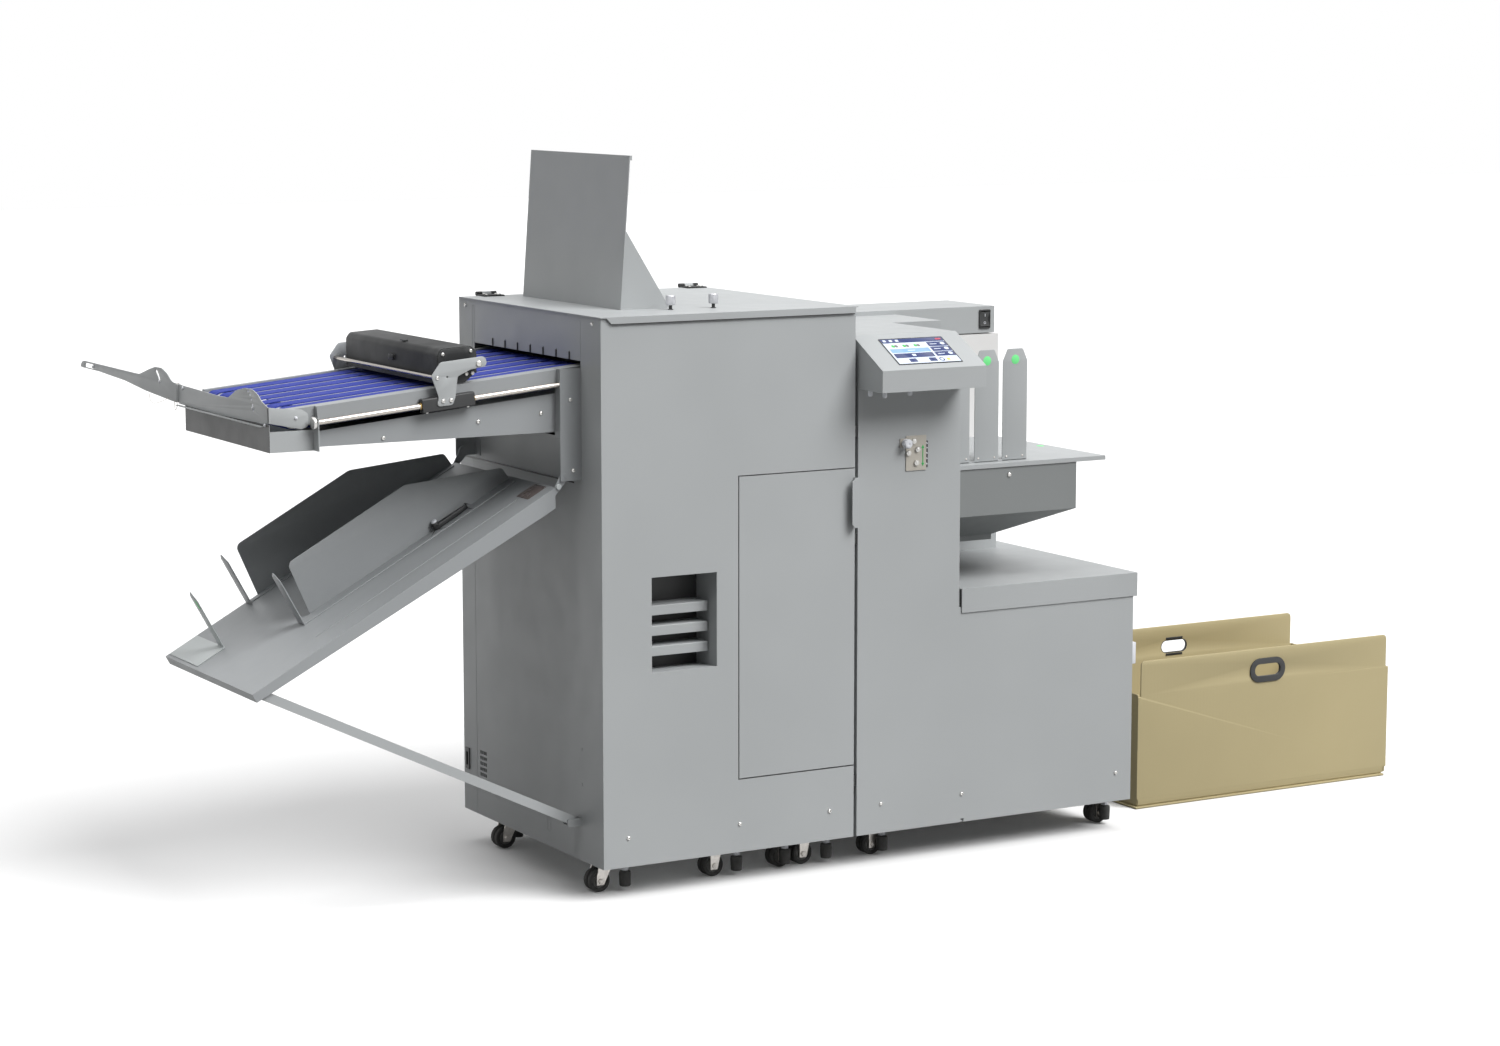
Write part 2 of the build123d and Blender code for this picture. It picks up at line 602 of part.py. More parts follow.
# Casing: four walls with the openings for belts, sheets, vents, louvre and door.
with BuildPart(FLOOR) as main_casing:
    ring_walls((0, CAB_WIDTH), (0, CAB_DEPTH), (CAB_BOTTOM, CAB_TOP))
    slab(LEFT_CUT, WINDOW_Y, WINDOW_Z, Mode.SUBTRACT)
    for i in range(SLOT_COUNT):
        slot_y = SLOT_FIRST + i * SLOT_PITCH
        slot_z = (WINDOW_Z[1] - CUT, WINDOW_Z[1] + SLOT_HIGH)
        slab(LEFT_CUT, (slot_y - SLOT_WIDE / 2, slot_y + SLOT_WIDE / 2), slot_z, Mode.SUBTRACT)
    seam_x = (-CUT, SEAM / 2)
    for seam_y in WINDOW_Y:
        slab(seam_x, (seam_y - SEAM / 2, seam_y + SEAM / 2), (WINDOW_Z[1], SEAM_TOP), Mode.SUBTRACT)
    slab(seam_x, (SEAM_REAR, SEAM_REAR + SEAM), (CAB_BOTTOM - CUT, SEAM_TOP), Mode.SUBTRACT)
    slab(LEFT_CUT, DROP_Y, DROP_Z, Mode.SUBTRACT)
    slab(LEFT_CUT, INLET_Y, INLET_Z, Mode.SUBTRACT)
    with Locations(Location((0, VENT_Y, VENT_Z), (0, 90, 0))):
        with GridLocations(VENT_PITCH_Z, VENT_PITCH_Y, 5, 4):
            Box(VENT_HIGH, VENT_WIDE, 4 * SHEET, mode=Mode.SUBTRACT)
    slab(LOUVRE_X, FRONT_CUT, LOUVRE_Z, Mode.SUBTRACT)
    slab(
        (DOOR_LEFT - DOOR_GAP, CAB_WIDTH + CUT),
        (-CUT, SHEET + FIT),
        (DOOR_Z[0] - DOOR_GAP, DOOR_Z[1] + DOOR_GAP),
        Mode.SUBTRACT,
    )
    slab((CAB_WIDTH - SHEET - CUT, CAB_WIDTH + CUT), PAPER_Y, PAPER_SLOT, Mode.SUBTRACT)
    # lugs behind the front wall that take the door's two pins
    for low, high in (
        (DOOR_Z[1] + DOOR_GAP, DOOR_Z[1] + DOOR_GAP + DOOR_LUG),
        (DOOR_Z[0] - DOOR_GAP - DOOR_LUG, DOOR_Z[0] - DOOR_GAP),
    ):
        slab((DOOR_PIN_X - DOOR_LUG, DOOR_PIN_X + DOOR_LUG), (SHEET, DOOR_LUG), (low, high))
        rod_z(DOOR_PIN_X, DOOR_PIN_Y, (low - CUT, high + CUT), DOOR_PIN + RUN, Mode.SUBTRACT)
    # centre knuckles of the lid's hinges, on tabs of the rear wall
    for hinge in HINGE_X:
        knuckle = (hinge - HINGE_TAB / 2, hinge + HINGE_TAB / 2)
        slab(knuckle, (CAB_DEPTH, CAB_DEPTH + HINGE_LEAF), (CAB_TOP - HINGE_TAB, LID_PIN_Z))
        rod_x(LID_PIN_Y, LID_PIN_Z, knuckle, KNUCKLE)
        rod_x(LID_PIN_Y, LID_PIN_Z, (knuckle[0] - CUT, knuckle[1] + CUT), LID_PIN + RUN, Mode.SUBTRACT)
    # saddle on the left wall that the tray strut's foot stands in
    saddle_x = (STRUT_FOOT[0] - STRUT_HALF, 0)
    saddle_y = (STRUT_Y[0] - FIT - SADDLE, STRUT_Y[1] + FIT + SADDLE)
    saddle_top = STRUT_FOOT[1] - STRUT_HALF - FIT
    slab(saddle_x, saddle_y, (saddle_top - SADDLE, saddle_top))
    for cheek in (STRUT_Y[0] - FIT - SADDLE, STRUT_Y[1] + FIT):
        slab(saddle_x, (cheek, cheek + SADDLE), (saddle_top, saddle_top + 3 * SADDLE))
finish(main_casing, "main_casing")

# Chassis: floor pan, corner posts, side plates that carry the folding works, creasing anvil and the plates
# and kingpins of the two swivel castors.
with BuildPart(FLOOR) as chassis:
    inner_x = (SHEET, CAB_WIDTH - SHEET)
    slab(inner_x, (SHEET, CAB_DEPTH - SHEET), (CAB_BOTTOM, CAB_BOTTOM + PAN))
    for post_x in ((SHEET, SHEET + POST), (CAB_WIDTH - SHEET - POST, CAB_WIDTH - SHEET)):
        for post_y in ((SIDE_Y - POST, SIDE_Y), (FAR_SIDE_Y, FAR_SIDE_Y + POST)):
            slab(post_x, post_y, (CAB_BOTTOM + PAN, SIDE_TOP))
    for plate_y in ((SIDE_Y, SIDE_Y + SIDE_PLATE), (FAR_SIDE_Y - SIDE_PLATE, FAR_SIDE_Y)):
        slab(inner_x, plate_y, (SIDE_BOTTOM, SIDE_TOP))
        bore_y = (plate_y[0] - CUT, plate_y[1] + CUT)
        for offset in (-FOLD_OFFSET, FOLD_OFFSET):
            rod_y(NIP_X + offset, NIP_Z, bore_y, FOLD_JOURNAL + RUN, Mode.SUBTRACT)
        for centre, tip, blade, stroke in (
            (NIP_X, KNIFE_TIP, KNIFE_BLADE, KNIFE_STROKE),
            (CREASE_X, CREASE_TIP, CREASE_BLADE, CREASE_STROKE),
        ):
            slab(
                (centre - TONGUE / 2 - FIT, centre + TONGUE / 2 + FIT),
                bore_y,
                (tip + blade - stroke - FIT, tip + blade + BEAM + FIT),
                Mode.SUBTRACT,
            )
    anvil_top = CREASE_TIP - CREASE_STROKE - SHEET
    slab(
        (CREASE_X - ANVIL / 2, CREASE_X + ANVIL / 2),
        (SIDE_Y + SIDE_PLATE, FAR_SIDE_Y - SIDE_PLATE),
        (anvil_top - ANVIL, anvil_top),
    )
    for stem_y in (CASTOR_IN, CASTOR_FAR):
        stem_x = SWIVEL_X + SWIVEL_TRAIL
        plate_x = (stem_x - CASTOR_PLATE, stem_x + CASTOR_PLATE)
        plate_y = (stem_y - CASTOR_PLATE, stem_y + CASTOR_PLATE)
        slab(plate_x, plate_y, (CAB_BOTTOM - PAN, CAB_BOTTOM))
        rod_z(stem_x, stem_y, (CAB_BOTTOM - KINGPIN_DOWN, CAB_BOTTOM), KINGPIN)
finish(chassis, "chassis")

# Louvre: a recessed box behind the front wall with a sloped sill and three slats, each a level shelf with
# a lip hanging from its front.
with BuildPart(FLOOR) as louvre_vent:
    rim = (SHEET, SHEET + LOUVRE_WALL)
    slab(
        (LOUVRE_X[0] - LOUVRE_RIM, LOUVRE_X[1] + LOUVRE_RIM),
        rim,
        (LOUVRE_Z[0] - LOUVRE_RIM, LOUVRE_Z[1] + LOUVRE_RIM),
    )
    slab(
        (LOUVRE_X[0] - LOUVRE_WALL, LOUVRE_X[1] + LOUVRE_WALL),
        (SHEET, LOUVRE_DEPTH),
        (LOUVRE_Z[0] - LOUVRE_RIM, LOUVRE_Z[1] + LOUVRE_WALL),
    )
    panel_x(
        [
            (SHEET - CUT, LOUVRE_Z[0]),
            (SHEET, LOUVRE_Z[0]),
            (LOUVRE_DEPTH - LOUVRE_WALL, LOUVRE_Z[0] - LOUVRE_RIM + LOUVRE_WALL),
            (LOUVRE_DEPTH - LOUVRE_WALL, LOUVRE_Z[1]),
            (SHEET - CUT, LOUVRE_Z[1]),
        ],
        LOUVRE_X,
        Mode.SUBTRACT,
    )
    slat_x = (LOUVRE_X[0], LOUVRE_X[1] - SLAT_END)
    for i in range(SLAT_COUNT):
        low = SLAT_FIRST + i * SLAT_PITCH
        panel_x(
            [
                (SLAT_SETBACK, low),
                (SLAT_SETBACK + SHEET, low),
                (SLAT_SETBACK + SHEET, low + SLAT_HIGH - SHEET),
                (LOUVRE_DEPTH - LOUVRE_WALL, low + SLAT_HIGH - SHEET),
                (LOUVRE_DEPTH - LOUVRE_WALL, low + SLAT_HIGH),
                (SLAT_SETBACK + SLAT_BEND, low + SLAT_HIGH),
                (SLAT_SETBACK, low + SLAT_HIGH - SLAT_BEND),
            ],
            slat_x,
        )
finish(louvre_vent, "louvre_vent")

# Main drive motor on its foot, with the pulley on its shaft.
with BuildPart(FLOOR) as drive_motor:
    pan_top = CAB_BOTTOM + PAN
    motor_z = pan_top + MOTOR_LIFT
    foot_y = (MOTOR_Y[0] + MOTOR_FOOT_IN, MOTOR_Y[1] - MOTOR_FOOT_IN)
    block_y = (foot_y[0] + MOTOR_FOOT_IN, foot_y[1] - MOTOR_FOOT_IN)
    slab((MOTOR_X - MOTOR_FOOT_HALF, MOTOR_X + MOTOR_FOOT_HALF), foot_y, (pan_top, pan_top + MOTOR_FOOT))
    slab((MOTOR_X - MOTOR_BLOCK_HALF, MOTOR_X + MOTOR_BLOCK_HALF), block_y, (pan_top + MOTOR_FOOT, motor_z))
    rod_y(MOTOR_X, motor_z, MOTOR_Y, MOTOR_RADIUS)
    rod_y(MOTOR_X, motor_z, (MOTOR_Y[1], MOTOR_Y[1] + MOTOR_SHAFT_OUT), MOTOR_SHAFT)
    pulley_y = (MOTOR_Y[1] + PULLEY_OUT[0], MOTOR_Y[1] + PULLEY_OUT[1])
    rod_y(MOTOR_X, motor_z, pulley_y, PULLEY_RADIUS)
finish(drive_motor, "drive_motor")

# Three latch blocks that hold feeder and cabinet together.
with BuildPart(FLOOR) as docking_latches:
    for latch in LATCH_Z:
        slab((CAB_WIDTH, FEED_LEFT), LATCH_Y, (latch - LATCH_HIGH / 2, latch + LATCH_HIGH / 2))
finish(docking_latches, "docking_latches")

# Appliance inlet in the left wall: flange outside, body inside, open socket.
with BuildPart(FLOOR) as power_inlet:
    flange_y = (INLET_Y[0] - INLET_FLANGE, INLET_Y[1] + INLET_FLANGE)
    slab((-INLET_FLANGE, 0), flange_y, (INLET_Z[0] - 2 * INLET_FLANGE, INLET_Z[1] + 2 * INLET_FLANGE))
    slab((0, INLET_BODY), (INLET_Y[0] + FIT, INLET_Y[1] - FIT), (INLET_Z[0] + FIT, INLET_Z[1] - FIT))
    slab(
        (-INLET_FLANGE - CUT, INLET_SOCKET),
        (INLET_Y[0] + INLET_SIDE, INLET_Y[1] - INLET_SIDE),
        (INLET_Z[0] + INLET_END, INLET_Z[1] - INLET_END),
        Mode.SUBTRACT,
    )
    for step in (-1, 0, 1):
        pin_z = middle(INLET_Z) + step * INLET_PIN_PITCH
        rod_x(middle(INLET_Y), pin_z, (INLET_SOCKET - 8, INLET_SOCKET + CUT), INLET_PIN)
finish(power_inlet, "power_inlet")

# Lid: flat top with a chamfered front lip.
with BuildPart(FLOOR) as top_lid:
    lid_bottom = CAB_TOP + FIT
    slab((-LID_OVER, CAB_WIDTH + LID_OVER), (LID_FRONT, LID_BACK), (lid_bottom, lid_bottom + SHEET))
    panel_y(
        [
            (LID_LIP_IN, lid_bottom),
            (CAB_WIDTH - SHEET, lid_bottom),
            (CAB_WIDTH - SHEET, lid_bottom - LID_LIP),
            (LID_LIP_IN + LID_LIP, lid_bottom - LID_LIP),
        ],
        (LID_FRONT, LID_FRONT + SHEET),
    )
finish(top_lid, "top_lid")
LID_TOP = CAB_TOP + FIT + SHEET

# Guide flap standing on the lid: leaning sheet with a hem, a foot and two gussets.
with BuildPart(FLOOR) as lid_flap:
    flap_top_x = FLAP_FOOT_X + FLAP_LEAN
    panel_y(
        [
            (FLAP_FOOT_X, LID_TOP),
            (FLAP_FOOT_X + SHEET, LID_TOP),
            (flap_top_x + SHEET, FLAP_TOP),
            (flap_top_x, FLAP_TOP),
        ],
        FLAP_Y,
    )
    slab((flap_top_x, flap_top_x + 3 * SHEET), FLAP_Y, (FLAP_TOP - 5 * SHEET, FLAP_TOP))
    slab((FLAP_FOOT_X, FLAP_FOOT_X + FLAP_FOOT), FLAP_Y, (LID_TOP, LID_TOP + SHEET))
    gusset_lean = FLAP_LEAN * (GUSSET_TOP - LID_TOP) / (FLAP_TOP - LID_TOP)
    for gusset_y in (FLAP_Y[0] + 2 * SHEET, FLAP_Y[1] - 3 * SHEET):
        panel_y(
            [
                (FLAP_FOOT_X + SHEET / 2, LID_TOP),
                (GUSSET_REACH, LID_TOP),
                (FLAP_FOOT_X + gusset_lean + SHEET, GUSSET_TOP),
            ],
            (gusset_y, gusset_y + SHEET),
        )
finish(lid_flap, "lid_flap")

# Two thumb screws on the lid.
with BuildPart(FLOOR) as lid_knobs:
    for knob_x, knob_y in KNOB_PLACES:
        rod_z(knob_x, knob_y, (LID_TOP, LID_TOP + KNOB_LIFT), KNOB_STUD)
        rod_z(knob_x, knob_y, (LID_TOP + KNOB_LIFT, LID_TOP + KNOB_LIFT + KNOB_HIGH), KNOB_RADIUS)
    knob_rims = lid_knobs.edges().filter_by(GeomType.CIRCLE)
    chamfer([edge for edge in knob_rims if abs(edge.radius - KNOB_RADIUS) < RUN], 1.5)
finish(lid_knobs, "lid_knobs")

# Lid hinges: leaves on the lid, outer knuckles and pins.
with BuildPart(FLOOR) as lid_hinges:
    leaf_z = (LID_TOP, LID_TOP + HINGE_LEAF)
    for hinge in HINGE_X:
        slab((hinge - HINGE_WIDE / 2, hinge + HINGE_WIDE / 2), (LID_PIN_Y - HINGE_REACH, LID_BACK), leaf_z)
        inner = HINGE_TAB / 2 + FIT
        for ends in ((hinge - HINGE_WIDE / 2, hinge - inner), (hinge + inner, hinge + HINGE_WIDE / 2)):
            slab(ends, (LID_BACK, LID_PIN_Y), leaf_z)
            rod_x(LID_PIN_Y, LID_PIN_Z, ends, KNUCKLE)
            with Locations((middle(ends), LID_PIN_Y - HINGE_SCREW, LID_TOP + HINGE_LEAF)):
                Cylinder(SCREW_HEAD, 2 * SCREW_HIGH)
        rod_x(LID_PIN_Y, LID_PIN_Z, (hinge - HINGE_WIDE / 2, hinge + HINGE_WIDE / 2), LID_PIN)
finish(lid_hinges, "lid_hinges")

# Access door: a pan flush with front and right side, hung on two short pins.
with BuildPart(FLOOR) as access_door:
    slab((DOOR_LEFT, CAB_WIDTH), (0, SHEET), DOOR_Z)
    door_in = CAB_WIDTH - SHEET - POST / 4
    for flange_x in (DOOR_LEFT, door_in - SHEET):
        slab((flange_x, flange_x + SHEET), (SHEET, DOOR_FLANGE), DOOR_Z)
    for flange_z in (DOOR_Z[0], DOOR_Z[1] - SHEET):
        slab((DOOR_LEFT, door_in), (SHEET, DOOR_FLANGE), (flange_z, flange_z + SHEET))
    pin_out = DOOR_GAP + DOOR_PIN_OUT
    for pin_z in (
        (DOOR_Z[0] - pin_out, DOOR_Z[0] + DOOR_LUG),
        (DOOR_Z[1] - DOOR_LUG, DOOR_Z[1] + pin_out),
    ):
        rod_z(DOOR_PIN_X, DOOR_PIN_Y, pin_z, DOOR_PIN)
finish(access_door, "access_door")

# Door pull: an angle strip, its lip cut at 45 degrees above and below.
with BuildPart(FLOOR) as door_handle:
    pull_x = (CAB_WIDTH - SHEET / 2 - SHEET, CAB_WIDTH - SHEET / 2)
    slab(pull_x, (-PULL_REACH, 0), PULL_Z)
    lip_left = pull_x[1] - PULL_LIP
    cut = PULL_LIP / 2
    panel_y(
        [
            (pull_x[1], PULL_Z[0]),
            (pull_x[1], PULL_Z[1]),
            (lip_left + cut, PULL_Z[1]),
            (lip_left, PULL_Z[1] - cut),
            (lip_left, PULL_Z[0] + cut),
            (lip_left + cut, PULL_Z[0]),
        ],
        (-PULL_REACH - SHEET, -PULL_REACH),
    )
finish(door_handle, "door_handle")

# ================================================================ folding works

# Fold rollers: a pair with a paper gap between them, journals in the side plates.
for name, offset in (("fold_roller_a", -FOLD_OFFSET), ("fold_roller_b", FOLD_OFFSET)):
    with BuildPart(FLOOR) as fold_roller:
        rod_y(NIP_X + offset, NIP_Z, WORKS_Y, FOLD_RADIUS)
        rod_y(NIP_X + offset, NIP_Z, (SIDE_Y, FAR_SIDE_Y), FOLD_JOURNAL)
    finish(fold_roller, name)

# Fold knife and creasing blade: beams with a thin blade below and tongues guided in the side plates.
for name, centre, tip, blade in (
    ("fold_knife", NIP_X, KNIFE_TIP, KNIFE_BLADE),
    ("crease_blade", CREASE_X, CREASE_TIP, CREASE_BLADE),
):
    with BuildPart(FLOOR) as blade_beam:
        beam_z = (tip + blade, tip + blade + BEAM)
        slab((centre - BEAM / 2, centre + BEAM / 2), WORKS_Y, beam_z)
        slab((centre - TONGUE / 2, centre + TONGUE / 2), (SIDE_Y - SHEET, FAR_SIDE_Y + SHEET), beam_z)
        slab((centre - SHEET / 2, centre + SHEET / 2), WORKS_Y, (tip, tip + blade))
    finish(blade_beam, name)

# ================================================================ belt delivery

# Frame: wall brackets, side arms with a bottom cover, the two belt rails and the bed between them.
with BuildPart(FLOOR) as conveyor_frame:
    web_x = (-BRACKET_REACH, -BRACKET_REACH + SHEET)
    near_arm = (ARM_Y, ARM_Y + SHEET)
    far_arm = (ARM_FAR_Y - SHEET, ARM_FAR_Y)
    for plate_y, web_y, arm_y in (
        ((BRACKET_Y, BRACKET_Y + SHEET), (BRACKET_Y, near_arm[1]), near_arm),
        ((BRACKET_FAR_Y - SHEET, BRACKET_FAR_Y), (far_arm[0], BRACKET_FAR_Y), far_arm),
    ):
        slab((-BRACKET_REACH, 0), plate_y, BRACKET_Z)
        slab(web_x, web_y, (BRACKET_WEB, BRACKET_Z[1]))
        foot_y = (min(plate_y[0], web_y[0]), max(plate_y[1], web_y[1]))
        slab((-SHEET, 0), foot_y, (BRACKET_Z[0], WINDOW_Z[0] - SHEET))
        panel_y(
            [
                (web_x[0], ARM_BOTTOM),
                (-ARM_END, ARM_BOTTOM),
                (-ARM_END, ARM_END_TOP),
                (web_x[0], ARM_ROOT_TOP),
            ],
            arm_y,
        )
        tray_bore = (plate_y[0] - CUT, plate_y[1] + CUT)
        rod_y(TRAY_PIN[0], TRAY_PIN[1], tray_bore, TRAY_PIN_RADIUS + RUN, Mode.SUBTRACT)
    slab((-ARM_END, web_x[0]), (ARM_Y, ARM_FAR_Y), (ARM_BOTTOM, ARM_BOTTOM + SHEET))
    with Locations(BELT):
        slab(RAIL_ENDS, NEAR_RAIL_Y, (RAIL_LOW, RAIL_HIGH))
        skin_y = (NEAR_RAIL_Y[0] - NEAR_RAIL_SKIN, NEAR_RAIL_Y[0])
        slab((-ARM_END, RAIL_ENDS[1]), skin_y, (RAIL_LOW, RAIL_HIGH))
        slab(RAIL_ENDS, FAR_RAIL_Y, (RAIL_LOW, RAIL_HIGH))
        slab(BED_ENDS, (NEAR_RAIL_Y[1], FAR_RAIL_Y[0]), (-BELT_THICK - SHEET, -BELT_THICK))
        near_bore = (NEAR_RAIL_Y[0] + SHEET, NEAR_RAIL_Y[1] + CUT)
        far_bore = (FAR_RAIL_Y[0] - CUT, FAR_RAIL_Y[1] - SHEET)
        for axis_s in (BELT_FAR, BELT_NEAR):
            for bore_y in (near_bore, far_bore):
                rod_y(axis_s, DRUM_DEEP, bore_y, DRUM_JOURNAL + RUN, Mode.SUBTRACT)
        web_cut = (-BRACKET_REACH - 5 * SHEET, -BRACKET_REACH + 5 * SHEET)
        for rod in (ROD_Y, ROD_FAR_Y):
            rod_x(rod, ROD_DEEP, web_cut, ROD_RADIUS + RUN, Mode.SUBTRACT)
finish(conveyor_frame, "conveyor_frame")

# Seven flat belts, each a closed loop round both drums.
with BuildPart(FLOOR) as conveyor_belts:
    for i in range(BELT_COUNT):
        belt_y = BELT_FIRST + i * BELT_PITCH
        belt_plane = Plane(FLOOR.location * BELT * Location((0, belt_y - BELT_WIDE / 2, 0), (90, 0, 0)))
        with BuildSketch(belt_plane) as loop:
            with Locations(((BELT_FAR + BELT_NEAR) / 2, DRUM_DEEP)):
                SlotCenterToCenter(BELT_NEAR - BELT_FAR, 2 * (BELT_DRUM + BELT_THICK))
                SlotCenterToCenter(BELT_NEAR - BELT_FAR, 2 * BELT_DRUM, mode=Mode.SUBTRACT)
        extrude(loop.sketch, amount=-BELT_WIDE)
finish(conveyor_belts, "conveyor_belts")

# Drive and idler drums inside the belts' turns.
for name, axis_s in (("drive_roller", BELT_NEAR), ("idler_roller", BELT_FAR)):
    with BuildPart(FLOOR) as drum:
        with Locations(BELT):
            rod_y(axis_s, DRUM_DEEP, DRUM_Y, DRUM_RADIUS)
            rod_y(axis_s, DRUM_DEEP, (NEAR_RAIL_Y[0] + 2 * SHEET, FAR_RAIL_Y[1] - 2 * SHEET), DRUM_JOURNAL)
    finish(drum, name)

# End box: open trough under the belts' outer turn, with the lugs that hold the slide rods.
with BuildPart(FLOOR) as end_box:
    box_x = (BOX_LEFT, -ARM_END)
    slab(box_x, (ARM_Y, ARM_FAR_Y), (BOX_BOTTOM, BOX_TOP))
    slab(
        (BOX_LEFT + SHEET, -ARM_END - SHEET),
        (ARM_Y + SHEET, ARM_FAR_Y - SHEET),
        (BOX_BOTTOM + SHEET, BOX_TOP + CUT),
        Mode.SUBTRACT,
    )
    slab((BOX_LEFT + SHEET, CUT), (ARM_Y - CUT, ARM_FAR_Y + CUT), (BOX_LOW, BOX_TOP + CUT), Mode.SUBTRACT)
    slab((-ARM_END - SHEET, CUT), (ARM_Y - CUT, ARM_FAR_Y + CUT), (ARM_END_TOP, BOX_TOP), Mode.SUBTRACT)
    near_corner = ((BOX_LEFT - CUT, BOX_LEFT + SHEET), (ARM_Y - CUT, ARM_Y + SHEET))
    slab(*near_corner, (BOX_LOW, BOX_TOP + CUT), Mode.SUBTRACT)
    lug_x = (-ARM_END - SHEET, -ARM_END)
    near_lug = (ROD_Y - LUG_WIDE, NEAR_RAIL_Y[0] - NEAR_RAIL_SKIN - FIT)
    far_lug = (FAR_RAIL_Y[1] + FIT, ROD_FAR_Y + LUG_WIDE)
    for rod, foot_y, lug_y in (
        (ROD_Y, (near_lug[0], ARM_Y + SHEET), near_lug),
        (ROD_FAR_Y, (ARM_FAR_Y - SHEET, far_lug[1]), far_lug),
    ):
        slab(lug_x, foot_y, (BOX_BOTTOM, BOX_LOW))
        slab(lug_x, lug_y, (BOX_LOW, BOX_TOP + LUG_WIDE + 2))
        with Locations(BELT):
            rod_x(rod, ROD_DEEP, (-ARM_END - 20, -ARM_END + 10), ROD_RADIUS + RUN, Mode.SUBTRACT)
finish(end_box, "end_box")

# Two slide rods with end caps.
with BuildPart(FLOOR) as slide_rods:
    with Locations(BELT):
        for rod in (ROD_Y, ROD_FAR_Y):
            rod_x(rod, ROD_DEEP, ROD_ENDS, ROD_RADIUS)
            rod_x(rod, ROD_DEEP, (ROD_ENDS[0] - ROD_CAP, ROD_ENDS[0]), ROD_RADIUS + ROD_CAP_OVER)
finish(slide_rods, "slide_rods")

# Near end wing: upright plate across the delivery's end with an arched ear, returned round the corner.
WING_X = (BOX_LEFT - SHEET, BOX_LEFT)
with BuildPart(FLOOR) as near_end_wing:
    wing_y = (ARM_Y, WING_PIN_Y - 2 * WING_PIN)
    panel_x(
        [
            (wing_y[0], WING_BOTTOM),
            (wing_y[1], WING_BOTTOM),
            (wing_y[1], WING_TOP),
            (WING_EAR[3], WING_TOP),
            (WING_EAR[2], WING_BUMP),
            (WING_EAR[1], WING_BUMP),
            (WING_EAR[0], WING_TOP - WING_RETURN_CUT),
            (wing_y[0], WING_TOP - WING_DROP),
        ],
        WING_X,
        corner=WING_EAR_CORNER,
        above=WING_BUMP,
    )
    slot_place = (middle(WING_X), middle(WING_EAR[1:3]), WING_TOP + EAR_SLOT_RISE)
    with Locations(Location(slot_place, (0, 90, 0))):
        Box(*EAR_SLOT, 4 * SHEET, mode=Mode.SUBTRACT)
    flange_x = (WING_X[0] - WING_FLANGE, WING_X[0])
    slab(flange_x, (wing_y[0] + WING_FLANGE_IN, wing_y[1]), (WING_BOTTOM, WING_BOTTOM + SHEET))
    return_x = WING_X[0] + WING_RETURN
    panel_y(
        [
            (WING_X[0], BOX_LOW),
            (return_x - WING_RETURN_CUT, BOX_LOW),
            (return_x, BOX_LOW + 3 * SHEET),
            (return_x, WING_TOP - WING_DROP - 2 * SHEET),
            (return_x - 8 * SHEET, WING_TOP - WING_DROP),
            (WING_X[0], WING_TOP - WING_DROP),
        ],
        (ARM_Y, ARM_Y + SHEET),
    )
    for knuckle in WING_KNUCKLES:
        slab(WING_X, (wing_y[1], WING_PIN_Y), knuckle)
        rod_z(middle(WING_X), WING_PIN_Y, knuckle, 2 * WING_PIN)
    rod_z(middle(WING_X), WING_PIN_Y, (WING_BOTTOM, WING_BUMP), WING_PIN + RUN, Mode.SUBTRACT)
finish(near_end_wing, "near_end_wing")

# Far end wing: long tapering plate that folds back along the delivery, with its hinge pin.
with BuildPart(FLOOR) as far_end_wing:
    root_y = WING_PIN_Y + 2 * WING_PIN + FIT
    ear = [WING_PIN_Y + place for place in FAR_EAR]
    panel_x(
        [
            (root_y, WING_BOTTOM + 3 * SHEET),
            (WING_TIP, WING_TOP - WING_TIP_HIGH),
            (WING_TIP, WING_TOP),
            (ear[3], WING_TOP),
            (ear[2], WING_BUMP),
            (ear[1], WING_BUMP),
            (ear[0], WING_TOP),
            (root_y, WING_TOP),
        ],
        WING_X,
        corner=WING_EAR_CORNER,
        above=WING_BUMP,
    )
    for hole_y, hole_z, hole in (
        (WING_PIN_Y + FAR_EAR_SLOT[0], WING_TOP + FAR_EAR_SLOT[1], EAR_SLOT),
        (WING_TIP - TIP_SLOT_IN[0], WING_TOP - TIP_SLOT_IN[1], TIP_SLOT),
    ):
        with Locations(Location((middle(WING_X), hole_y, hole_z), (0, 90, 0))):
            Box(*hole, 4 * SHEET, mode=Mode.SUBTRACT)
    knuckle = (WING_KNUCKLES[0][1] + FIT, WING_KNUCKLES[1][0] - FIT)
    slab(WING_X, (WING_PIN_Y, root_y), knuckle)
    rod_z(middle(WING_X), WING_PIN_Y, knuckle, 2 * WING_PIN)
    rod_z(middle(WING_X), WING_PIN_Y, WING_PIN_ENDS, WING_PIN)
finish(far_end_wing, "far_end_wing")

